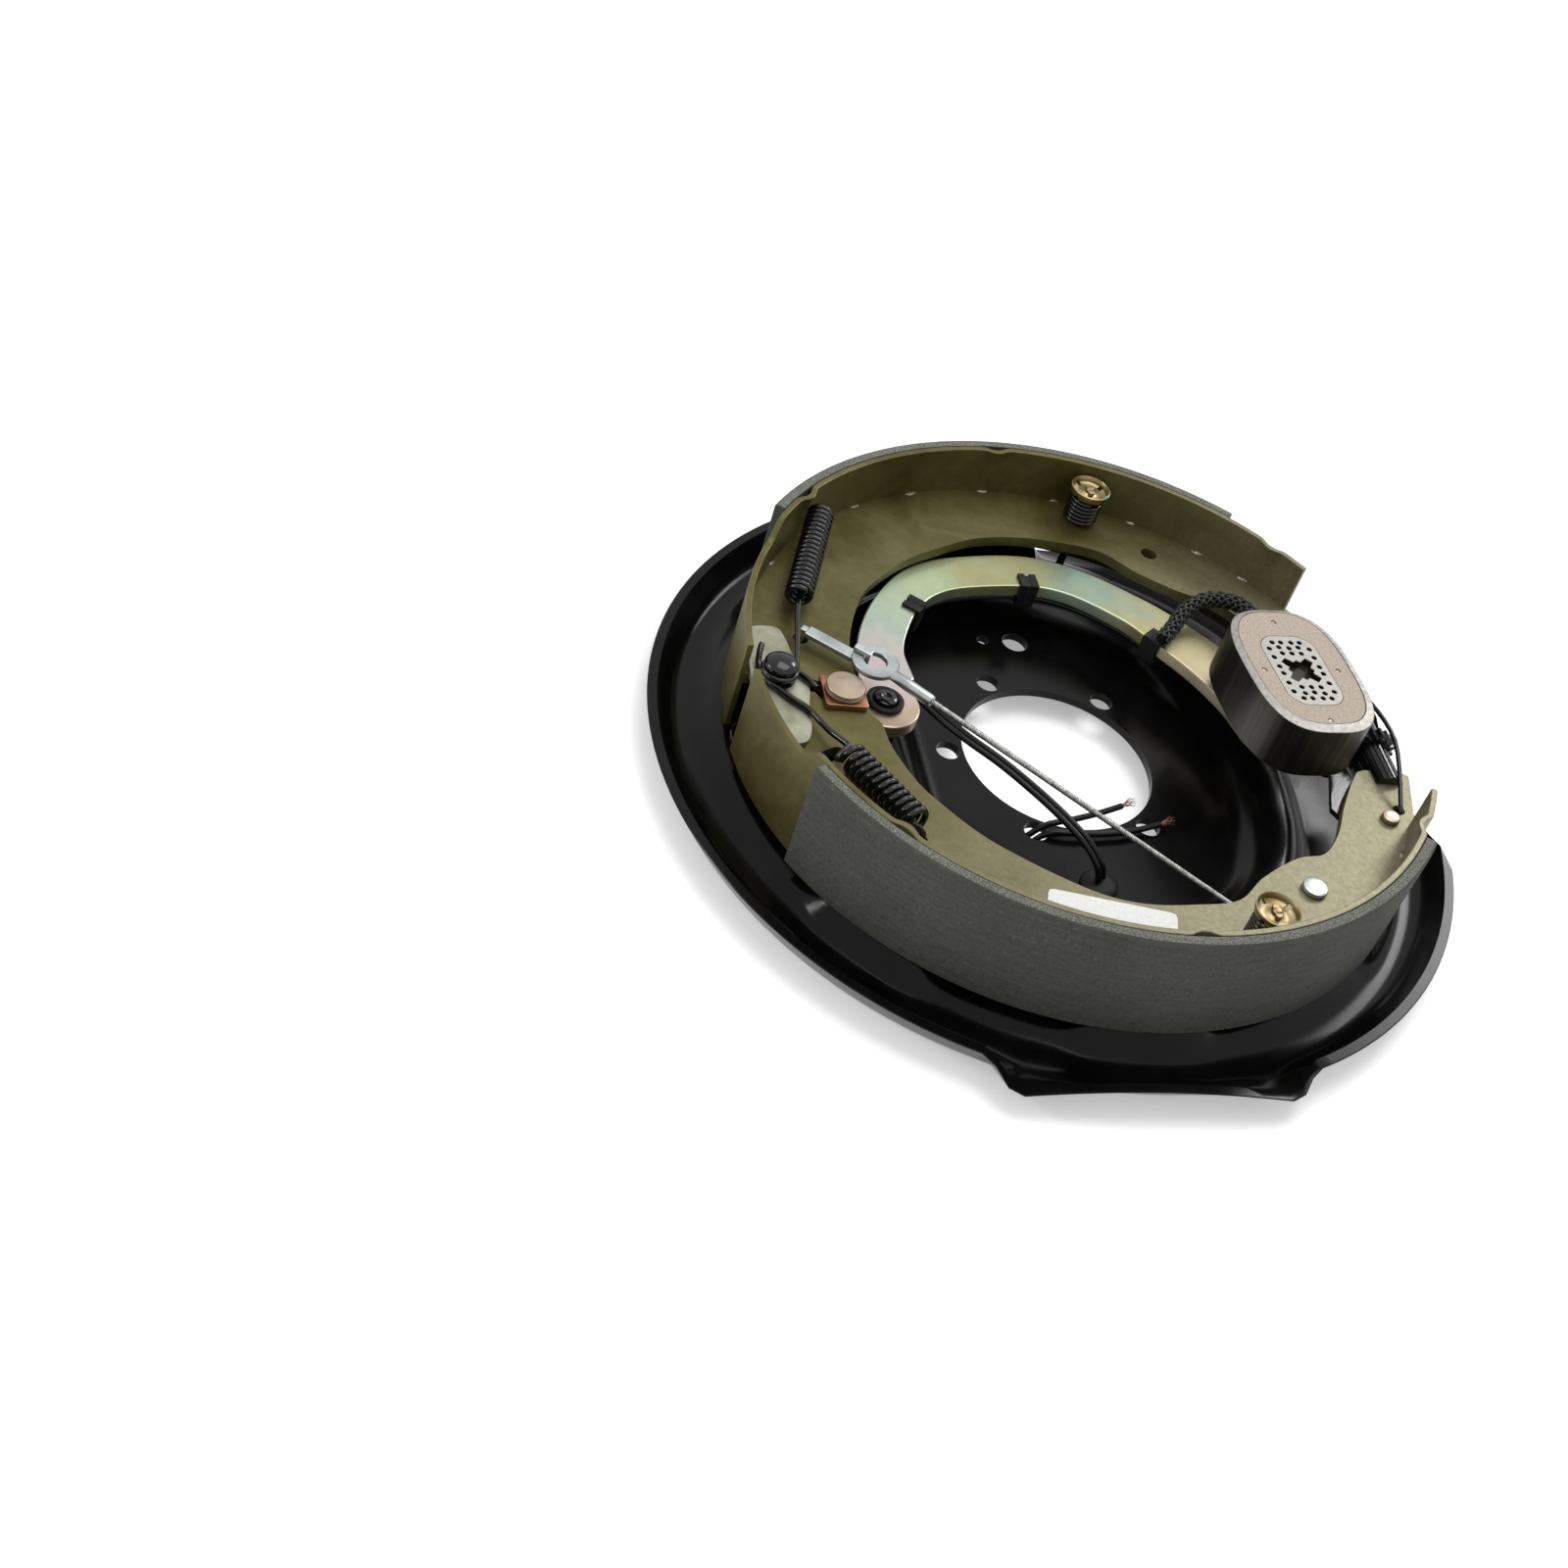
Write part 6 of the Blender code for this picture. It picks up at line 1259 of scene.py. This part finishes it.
def anchor_and_pivot():
    """Anchor post with its domed head, the arm's pivot pin and the rubber ring on it."""
    back = ANNULUS_Z - SHEET - GAP
    foot = ANNULUS_Z + GAP
    neck = WEB_TOP_Z + GAP + GUIDE_T + GAP
    head = neck + 0.0060
    dome = [(0.0070 * math.cos(math.radians(angle)), head + 0.0006 + 0.0030 * math.sin(math.radians(angle)))
            for angle in range(0, 90, 9)]
    profile = at(back, (0.0, -2.2), (8.8, -2.2), (10.4, -1.6), (11.0, -0.6), (11.0, 0.0), (7.0, 0.0))
    profile += at(foot, (7.0, 0.0), (11.1, 0.0), (11.5, 0.4), (11.5, 2.6), (11.1, 3.0))
    profile += [(POST_R, foot + 0.0030), (POST_R, WEB_TOP_Z), (0.0068, WEB_TOP_Z), (0.0068, neck - GAP),
                (0.0050, neck)]
    profile += at(head, (5.0, -1.2), (5.6, -0.4), (6.8, 0.0)) + dome + at(head, (0.0, 3.6))
    piece("anchor_post_turning", turned(profile, 56, (0.0, ANCHOR_Y)), "plate", "black_steel",
          ("anchor_post",), 30.0)
    pin = at(MOAT_Z + GAP, (0.0, 0.0), (9.0, 0.0)) + at(ARM_BOTTOM_Z - GAP, (9.0, 0.0), (6.0, 0.0))
    pin += at(ARM_TOP_Z + GAP, (6.0, 0.0), (5.0, 0.0), (5.0, 1.8), (4.7, 2.5), (4.0, 2.9), (2.4, 3.0),
              (1.6, 2.6), (0.0, 2.5))
    piece("arm_pivot_turning", turned(pin, 56, (0.0, PIVOT_Y)), "plate", "black_steel",
          ("arm_pivot_pin",), 30.0)
    ring = at(ARM_TOP_Z + 2 * GAP, (5.3, 0.0), (7.7, 0.0), (8.0, 0.4), (7.9, 1.0), (7.2, 1.4), (6.2, 1.4),
              (5.6, 1.2), (5.3, 0.8))
    piece("arm_ring_rubber", turned(ring, 56, (0.0, PIVOT_Y)), "plate", "black_rubber",
          ("arm_retaining_ring",), 50.0)


def anchor_guide_plate():
    """Flat guide plate over the webs, round the anchor post."""
    low = WEB_TOP_Z + GAP
    high = low + GUIDE_T
    outline = curve_through(GUIDE_PLATE, 6, closed=True)
    hole = drill([(0.0, ANCHOR_Y, GUIDE_HOLE_R)], low - 0.004, high + 0.004, 48)
    piece("guide_plate_stamping", prism(outline, low, high), "plate", "pale_zinc", ("guide_plate",), 35.0,
          (hole,), 0.0007)


def block_and_rivet():
    """Copper block that the arm pushes, its square cap, and the rivet through both."""
    low = ARM_TOP_Z + GAP
    cap_low = WEB_TOP_Z + GAP
    cap_high = cap_low + GUIDE_T
    half_w = BLOCK_CORE_W / 2
    half_h = BLOCK_CORE_H / 2
    stem = rectangle(BLOCK_X - half_w, BLOCK_Y - half_h, BLOCK_X + half_w, BLOCK_Y + half_h)
    cap = [(BLOCK_X + 0.0090 * x, BLOCK_Y + 0.0090 * y) for x, y in
           ((1, -0.9), (1, 0.9), (0.9, 1), (-0.9, 1), (-1, 0.9), (-1, -0.9), (-0.9, -1), (0.9, -1))]
    for name, outline, bottom, top, replaces, bevel in (
            ("actuator_block_stem", stem, low, cap_low - 0.0001, (), 0.0004),
            ("actuator_block_cap", cap, cap_low, cap_high, ("actuator_block",), 0.0005)):
        hole = drill([(BLOCK_X, BLOCK_Y, RIVET_HOLE_R)], low - 0.002, cap_high + 0.002)
        piece(name, prism(outline, bottom, top), "block", "copper_finish", replaces, 35.0, (hole,), bevel)
    rivet = at(ARM_BOTTOM_Z - GAP, (0.0, -2.0), (5.2, -2.0), (6.0, -1.4), (6.0, 0.0), (3.5, 0.0))
    rivet += at(cap_high + GAP, (3.5, 0.0), (7.8, 0.0), (8.0, 0.3), (7.6, 0.6), (8.1, 0.9), (8.1, 1.3),
                (7.7, 1.6), (8.2, 1.9), (8.1, 2.5), (7.8, 2.8), (7.0, 2.9), (0.0, 2.8))
    piece("block_rivet_turning", turned(rivet, 56, (BLOCK_X, BLOCK_Y)), "arm", "rivet_zinc",
          ("block_rivet",), 30.0)


def arm_outline():
    """Both edges of the arm's line, its round end and the lobes round pivot and rivet."""
    line = curve_through(ARM_LINE, 8)
    left = []
    right = []
    for index, point in enumerate(line):
        ahead = line[min(index + 1, len(line) - 1)]
        behind = line[max(index - 1, 0)]
        along = (ahead.xy - behind.xy).normalized()
        across = Vector((-along.y, along.x))
        left.append(tuple(point.xy + across * point.z))
        right.append(tuple(point.xy - across * point.z))
    end = line[-1]
    heading = math.degrees(math.atan2(end.y - line[-2].y, end.x - line[-2].x))
    tip = arc(end.z, heading + 90.0, heading - 90.0, 24, (end.x, end.y))[1:-1]
    pivot_lobe = arc(PIVOT_LOBE_R, -35.0, -186.8, 34, (0.0, PIVOT_Y))
    rivet_lobe = arc(RIVET_LOBE_R, 173.2, LOBE_TANGENT, 24, (BLOCK_X, BLOCK_Y))
    meeting = polar(PIVOT_LOBE_R, LOBE_TANGENT, (0.0, PIVOT_Y))
    return left + tip + right[::-1] + pivot_lobe + rivet_lobe + [meeting]


def actuating_arm():
    """Stamped arm, and the stud that carries the magnet."""
    holes = drill(((0.0, PIVOT_Y, PIVOT_HOLE_R), (BLOCK_X, BLOCK_Y, RIVET_HOLE_R)),
                  ARM_BOTTOM_Z - 0.002, ARM_TOP_Z + 0.002, 32)
    piece("arm_stamping", prism(arm_outline(), ARM_BOTTOM_Z, ARM_TOP_Z), "arm", "iridescent_chromate",
          ("actuating_arm",), 35.0, (holes,), 0.0006)
    stud = at(ARM_TOP_Z, (0.0, -1.0), (5.0, -1.0), (5.0, 15.2), (4.2, 16.0), (0.0, 16.0))
    piece("arm_stud_turning", turned(stud, 40, (MAGNET_X, MAGNET_Y)), "arm", "iridescent_chromate")


def magnet_point(x, y):
    turn = math.radians(MAGNET_TURN)
    return (MAGNET_X + x * math.cos(turn) - y * math.sin(turn),
            MAGNET_Y + x * math.sin(turn) + y * math.cos(turn))


def magnet_outline(inset, shift=(0.0, 0.0)):
    """Outline of the magnet, smaller by an inset and moved off its centre by a shift."""
    count = 120
    points = []
    for step in range(count):
        angle = 2 * math.pi * step / count
        x, y = (math.copysign(abs(share) ** (2 / MAGNET_CURVE), share) * (size / 2 - inset)
                for share, size in ((math.cos(angle), MAGNET_L), (math.sin(angle), MAGNET_W)))
        points.append(magnet_point(x + shift[0], y + shift[1]))
    return points


def rounded_oblong(length, width, corner):
    """Outline of a rounded rectangle on the magnet's face."""
    points = []
    for sign_x, sign_y, start in ((1, 1, 0.0), (-1, 1, 90.0), (-1, -1, 180.0), (1, -1, 270.0)):
        centre = (sign_x * (length / 2 - corner), sign_y * (width / 2 - corner))
        points.extend(arc(corner, start, start + 90.0, 10, centre))
    return [magnet_point(x, y) for x, y in points]


def magnet():
    """Cast shell, tan friction ring with four rivets, and a pierced core with a stepped cross."""
    top = MAGNET_TOP_Z - 0.0002
    face_t = 0.0035
    pocket = prism(magnet_outline(RING_WALL, RING_SHIFT), MAGNET_TOP_Z - face_t - GAP, MAGNET_TOP_Z + face_t)
    stud = drill([(MAGNET_X, MAGNET_Y, STUD_HOLE_R)], MAGNET_Z - 0.004, MAGNET_Z + 0.015)
    piece("magnet_shell", prism(magnet_outline(0.0), MAGNET_Z, MAGNET_TOP_Z), "magnet", "magnet_steel",
          ("magnet_body",), 40.0, (pocket, stud), 0.0004)
    window = prism(rounded_oblong(0.0430, 0.0270, 0.0090), top - 2 * face_t, top + face_t)
    places = [magnet_point(x, y) for x, y in RING_RIVETS]
    dimples = drill([(*place, 0.00125) for place in places], top - 0.0009, top + 0.001, 16)
    rivets = bmesh.new()
    for place in places:
        turned(at(top, (0.0, -0.8), (1.1, -0.8), (1.0, -0.35), (0.6, -0.2), (0.0, -0.4)), 16, place, rivets)
    ring = prism(magnet_outline(RING_WALL + GAP / 2, RING_SHIFT), top - face_t, top)
    piece("magnet_lining_ring", ring, "magnet", "friction_compound", ("magnet_friction_face",), 40.0,
          (window, dimples))
    piece("magnet_ring_rivets", rivets, "magnet", "rivet_zinc")
    quarter = list(CROSS_QUARTER)
    cross = quarter + [(-x, y) for x, y in quarter[::-1]] + [(-x, -y) for x, y in quarter]
    cross += [(x, -y) for x, y in quarter[::-1]]
    cuts = prism([magnet_point(x, y) for x, y in cross], top - 0.0032, top + 0.002)
    places = {(sign_x * x, sign_y * y) for x, y in CORE_HOLES for sign_x in (1, -1) for sign_y in (1, -1)}
    for x, y in sorted(places):
        prism(circle(CORE_HOLE_R, 16, magnet_point(x, y)), top - 0.0026, top + 0.002, cuts)
    piece("magnet_core_panel", prism(rounded_oblong(0.0424, 0.0264, 0.0087), top - face_t, top), "magnet",
          "magnet_core_steel", ("magnet_core",), 40.0, (cuts,))
    levels = (ARM_TOP_Z + GAP + WIRE_R, MAGNET_Z - MAGNET_SLIDE - GAP - WIRE_R)
    coil = spiral((MAGNET_X, MAGNET_Y), (0.0120, 0.0080), levels, 900.0, 75)
    spring_piece("magnet_coil_wire", wire(coil), "arm", ("magnet_spring",))


def lying(shape, x):
    """Lays an upright shape along the adjuster's axis, with its foot at x."""
    axis = Matrix.Translation((0.0, ADJUSTER_Y, WEB_MID_Z)) @ Matrix.Rotation(math.radians(90.0), 4, "Y")
    shape.transform(Matrix.Translation((x, 0.0, 0.0)) @ axis)
    return shape


def fork(side):
    """Cutter for the slot in which a web stands, at one end of the adjuster."""
    near, far = sorted((side * (NOSE_X - 0.0006), side * (NOSE_X + 0.016)))
    half = WEB_T / 2 + GAP
    outline = rectangle(near, ADJUSTER_Y - 0.014, far, ADJUSTER_Y + 0.014)
    return prism(outline, WEB_MID_Z - half, WEB_MID_Z + half)


def toothed(count, *corners):
    """Outline that repeats some corners round a circle, each a radius in millimetres and an angle."""
    return [polar(radius / 1000.0, 360.0 * tooth / count + turn) for tooth in range(count)
            for radius, turn in corners]


def adjuster():
    """Star wheel with its threaded rod, the ribbed socket on one side and the nut on the other."""
    start = SOCKET_END_X + GAP
    teeth = toothed(18, (8.8, 0.0), (10.8, 5.4), (11.0, 7.0), (11.0, 11.4), (10.7, 12.8), (8.8, 17.0))
    piece("star_wheel", lying(prism(teeth, 0.0, 0.0050), start), "screw", "black_steel",
          ("adjuster_screw",), 30.0, (), 0.0003)
    rod = at(0.0, (0.0, -8.0), (3.0, -8.0), (3.0, 2.5), (4.0, 5.0))
    reach = NOSE_X - ADJUSTER_SEAT - start
    height = 0.0054
    while height < reach - SCREW_PITCH:
        rod += [(0.0042, height), (0.0037, height + SCREW_PITCH * 0.5)]
        height += SCREW_PITCH
    rod += [(0.0038, reach), (0.0, reach)]
    piece("star_rod", lying(turned(rod, 28), start), "screw", "black_steel", (), 50.0)
    length = SOCKET_END_X + NOSE_X + ADJUSTER_SEAT
    body = prism(toothed(20, (7.0, 0.0), (7.0, 9.0), (6.4, 11.0), (6.4, 16.0)), 0.0, length)
    bore = lying(prism(circle(0.0033, 24), -0.0100, 0.0100), SOCKET_END_X)
    piece("adjuster_socket_barrel", lying(body, SOCKET_END_X - length), "socket", "black_steel",
          ("adjuster_socket",), 30.0, (bore, fork(-1)), 0.0003)
    end = NOSE_X + ADJUSTER_SEAT + 0.0050
    nut = at(0.0, (0.0, 0.0), (6.0, 0.0), (6.8, 0.6), (7.0, 1.4))
    nut += at(end, (7.0, -0.6), (6.4, 0.0), (0.0, 0.0))
    bore = lying(prism(circle(0.0045, 24), -0.01, 0.0270), -0.0050)
    piece("adjuster_nut_barrel", lying(turned(nut, 40), -0.0050), "plate", "black_steel",
          ("adjuster_nut",), 35.0, (bore, fork(1)))


def web_rivets():
    """Rivets of the cable guide and of the adjuster lever."""
    seat = WEB_TOP_Z + GAP
    for name, centre, head_r, shank, slot in (("guide_rivet", GUIDE_RIVET, 0.0053, 0.0070, "bright_zinc"),
                                              ("lever_rivet", LEVER_RIVET, 0.0040, 0.0025, "rivet_zinc")):
        low = WEB_BOTTOM_Z - 2 * GAP - shank
        profile = at(low, (0.0, -1.5), (3.0, -1.5), (3.5, -1.0), (3.5, 0.0), (2.2, 0.0))
        profile += at(seat, (2.2, 0.0)) + [(head_r * share, seat + height) for share, height in RIVET_HEAD]
        piece(name + "_turning", turned(profile, 48, centre), "secondary", slot, (name,), 40.0)


def upright_turned(angle):
    """Directions along and across a flat piece that points at an angle."""
    turn = math.radians(angle)
    along = Vector((math.cos(turn), math.sin(turn), 0.0))
    return along, Vector((-along.y, along.x, 0.0))


def cable_eye(eye_centre, centre, along, side):
    """Eye ring with its crimped ferrule."""
    ring = at(EYE_Z, (5.0, 0.3), (5.3, 0.0), (9.6, 0.0), (10.0, 0.4), (10.0, 2.1), (9.6, 2.5), (5.3, 2.5),
              (5.0, 2.2))
    eye = turned(ring, 56, eye_centre)
    turns = [2 * math.pi * step / 20 for step in range(20)]
    sections = []
    for reach, wide, high in FERRULE:
        sections.append([centre + along * reach + side * (wide * math.cos(turn))
                         + Vector((0.0, 0.0, high * math.sin(turn))) for turn in turns])
    loft(sections, eye)
    piece("cable_eye_crimp", eye, "primary", "bright_zinc", ("cable_eye",), 40.0)


def cable_link(along, across):
    """Strap that is hooked under the primary web and folded over the eye."""
    thick = 0.0020
    eye_near = LINK_LENGTH - 0.0050
    top = EYE_Z - GAP
    low = top - thick
    fold = EYE_Z + 0.0025 + GAP
    leg = WEB_BOTTOM_Z - GAP - thick
    near = eye_near + 0.0008
    outline = [(-thick / 2 - 0.003, leg), (thick / 2, leg), (thick / 2, low), (near + thick, low),
               (near + thick, fold + thick), (eye_near - 0.0050, fold + thick), (eye_near - 0.0050, fold),
               (near, fold), (near, top), (-thick / 2, top), (-thick / 2, leg + thick),
               (-thick / 2 - 0.003, leg + thick)]
    strap = rectangle(thick * 0.9, low - 0.0001, eye_near - 0.0040, top + 0.0001)
    link = bmesh.new()
    for side_view, width in ((outline, 0.0034), (strap, 0.0060)):
        slab(link, Vector((*LINK, 0.0)), along, across, side_view, -width / 2, width / 2)
    piece("cable_link_strap", link, "primary", "bright_zinc", ("cable_link",), 35.0, (), 0.0004)


def cable_strands(start):
    """Six strands laid round a seventh, from the ferrule round the guide to the lever."""
    height = WEB_BOTTOM_Z - GAP - 0.0035
    bend = [Vector((*polar(CABLE_BEND_R, angle, CABLE_BEND_AT), height)) for angle in range(141, 230, 8)]
    last = Vector((*CABLE_END, WEB_BOTTOM_Z - GAP - CABLE_R))
    run = [start.lerp(bend[0], share / 70) for share in range(70)]
    tail = [bend[-1].lerp(last, share / 14) for share in range(1, 15)]
    frames = path_frames(run + bend + tail)
    strands = bmesh.new()
    for strand in range(7):
        travelled = 0.0
        points = []
        for index, (point, side, upright) in enumerate(frames):
            following = frames[min(index + 1, len(frames) - 1)][0]
            pieces = max(1, round((following - point).length / 0.0008))
            for part in range(pieces):
                angle = 2 * math.pi * (strand / 6 + travelled / CABLE_LAY)
                reach = 0.0 if strand == 6 else CABLE_R - STRAND_R
                points.append(beside((point.lerp(following, part / pieces), side, upright), angle, reach))
                travelled += (following - point).length / pieces
        wire(points[::4] if strand == 6 else points, STRAND_R, 6, strands)
    piece("adjuster_cable_strands", strands, "secondary", "steel_cable", ("adjuster_cable",), 60.0)


def cable_set():
    """Link, eye with its ferrule, and the stranded cable that runs over the guide to the lever."""
    along, side = upright_turned(FERRULE_ANGLE)
    link_along, link_across = upright_turned(LINK_ANGLE)
    eye_centre = (LINK[0] + LINK_LENGTH * link_along.x, LINK[1] + LINK_LENGTH * link_along.y)
    centre = Vector((*eye_centre, EYE_Z + CABLE_R))
    cable_eye(eye_centre, centre, along, side)
    cable_link(link_along, link_across)
    cable_strands(centre + along * 0.0284)


def lead_wires():
    """The pair of leads along the arm and the pair from the arm to the grommet."""
    for name, route, body in (("arm_lead", ARM_LEAD, "arm"), ("plate_lead", PLATE_LEAD, "plate")):
        centre = curve_through(route, 6)
        for index, side in enumerate((-1, 1), 1):
            across = Vector((1.0, 0.0, 0.0))
            points = []
            for step, point in enumerate(centre):
                along = (centre[min(step + 1, len(centre) - 1)] - centre[max(step - 1, 0)]).normalized()
                if along.xy.length > 0.5:
                    across = Vector((-along.y, along.x, 0.0)).normalized()
                points.append(point + across * (side * LEAD_SPACING / 2))
            cord_piece("%s_%d" % (name, index), points, body)


def sleeve():
    """Braided sleeve: two sets of flat yarn bands that pass over and under each other."""
    frames = path_frames(curve_through(SLEEVE, 14))
    core = wire([frame_at[0] for frame_at in frames], SLEEVE_CORE_R, 16)
    piece("magnet_sleeve_core", core, "arm", "braided_sleeve", ("magnet_sleeve",), 60.0,
          finish="sleeve_core")
    yarn = bmesh.new()
    bands = 6
    for hand in (1, -1):
        for band in range(bands):
            travelled = 0.0
            points = []
            for index, frame_at in enumerate(frames):
                if index:
                    travelled += (frame_at[0] - frames[index - 1][0]).length
                angle = 2 * math.pi * (band / bands + hand * travelled / SLEEVE_LAY)
                weave = math.cos(2 * math.pi * bands * travelled / SLEEVE_LAY) * hand
                points.append(beside(frame_at, angle, SLEEVE_R + SLEEVE_WEAVE * weave))
            wire(points, YARN_R, 6, yarn)
    piece("magnet_sleeve_braid", yarn, "arm", "braided_sleeve", (), 60.0)


def arm_clips():
    """Sheet clips round the arm's inner edge, each with two prongs on top."""
    thick = 0.0012
    reach = 0.0075
    half_width = 0.00425
    half_gap = 0.0010
    high = ARM_TOP_Z + GAP + thick
    low = ARM_BOTTOM_Z - 2 * GAP - 2 * LEAD_R - thick
    full = [(reach, high), (-thick, high), (-thick, low), (reach, low), (reach, low + thick),
            (0.0, low + thick), (0.0, high - thick), (reach, high - thick)]
    short = [(distance - 0.0014 if distance == reach else distance, height) for distance, height in full]
    for name, station in (("lead_clip_1", 3), ("lead_clip_2", 6), ("sleeve_clip", 9)):
        x, y, arm_half = ARM_LINE[station]
        along = (Vector(ARM_LINE[station + 1][:2]) - Vector(ARM_LINE[station - 1][:2])).normalized().to_3d()
        outward = Vector((-along.y, along.x, 0.0))
        edge = Vector((x, y, 0.0)) - outward * (arm_half + 2 * GAP)
        shape = bmesh.new()
        for side_view, start, end in ((full, -half_width, -half_gap), (short, -half_gap, half_gap),
                                      (full, half_gap, half_width)):
            slab(shape, edge, outward, along, side_view, start, end)
        bmesh.ops.remove_doubles(shape, verts=shape.verts, dist=0.00001)
        piece(name + "_sheet", shape, "arm", "black_rubber", (name,), 35.0, (), 0.0003)


def grommet_and_plugs():
    """Grommet of the leads with its strap, and the plugs of the adjuster's slots."""
    x, y = -SIDE_HOLE_X, SIDE_HOLE_Y
    front = HUB_Z + GAP
    back = HUB_Z - SHEET - GAP
    neck = SIDE_HOLE_R - GAP
    profile = at(back, (0.0, -2.2), (5.6, -2.2), (6.4, -1.4), (6.4, 0.0)) + [(neck, back), (neck, front)]
    profile += at(front, (7.8, 0.0), (8.0, 0.5), (7.6, 1.2), (6.4, 2.0), (4.0, 2.2), (0.0, 2.2))
    piece("grommet_moulding", turned(profile, 48, (x, y)), "plate", "black_rubber", ("grommet",), 40.0)
    strap = prism(rectangle(x - 0.0030, y, x + 0.0030, SMALL_HOLE_Y), back - 0.0021, back - 0.0001)
    plug = at(back, (0.0, -2.2), (4.6, -2.2), (5.2, -1.6), (5.2, 0.0), (2.7, 0.0))
    plug += at(front, (2.7, 0.0), (2.4, 0.6), (0.0, 0.8))
    turned(plug, 40, (x, SMALL_HOLE_Y), strap)
    piece("grommet_strap", strap, "plate", "black_rubber", (), 40.0, (), 0.0003)
    under = ANNULUS_Z - SHEET - GAP
    for index, angle in enumerate(SLOT_ANGLES, 1):
        centre = polar(SLOT_CIRCLE_R, angle)
        shape = prism(stadium(centre, 0.031, 0.014), under - 0.0018, under)
        prism(dog_bone(centre, -0.0003), under - 0.0002, ANNULUS_Z, shape)
        recess = prism(stadium(centre, 0.0176, 0.0031), under - 0.004, under - 0.0006)
        piece("slot_plug_moulding_%d" % index, shape, "plate", "black_rubber",
              ("slot_plug_%d" % index,), 40.0, (recess,), 0.0004)


def web_label():
    """Plain white label on the secondary web, left bare."""
    corners = [Vector(corner) for corner in LABEL]
    outline = []
    for before, here, after in zip(corners[-1:] + corners[:-1], corners, corners[1:] + corners[:1]):
        first = here + (before - here).normalized() * LABEL_CORNER
        last = here + (after - here).normalized() * LABEL_CORNER
        outline += [first, here * 0.5 + (first + last) * 0.25, last]
    piece("web_label", prism(outline, WEB_TOP_Z + 0.00005, WEB_TOP_Z + 0.0002), "secondary",
          "olive_chromate", finish="label")


FINISHES = make_finishes()
camera_and_lights()
floor()
dress_frame()
free_leads()
backing_plate()
for one_shoe in (PRIMARY, SECONDARY):
    shoe_table(one_shoe)
    shoe_web(one_shoe)
    weld_spots(one_shoe)
    lining(one_shoe)
for make_pieces in (primary_spring, secondary_spring, adjuster_spring, hold_downs, anchor_and_pivot,
                    anchor_guide_plate, block_and_rivet, actuating_arm, magnet, adjuster, web_rivets,
                    cable_set, lead_wires, sleeve, arm_clips, grommet_and_plugs, web_label):
    make_pieces()
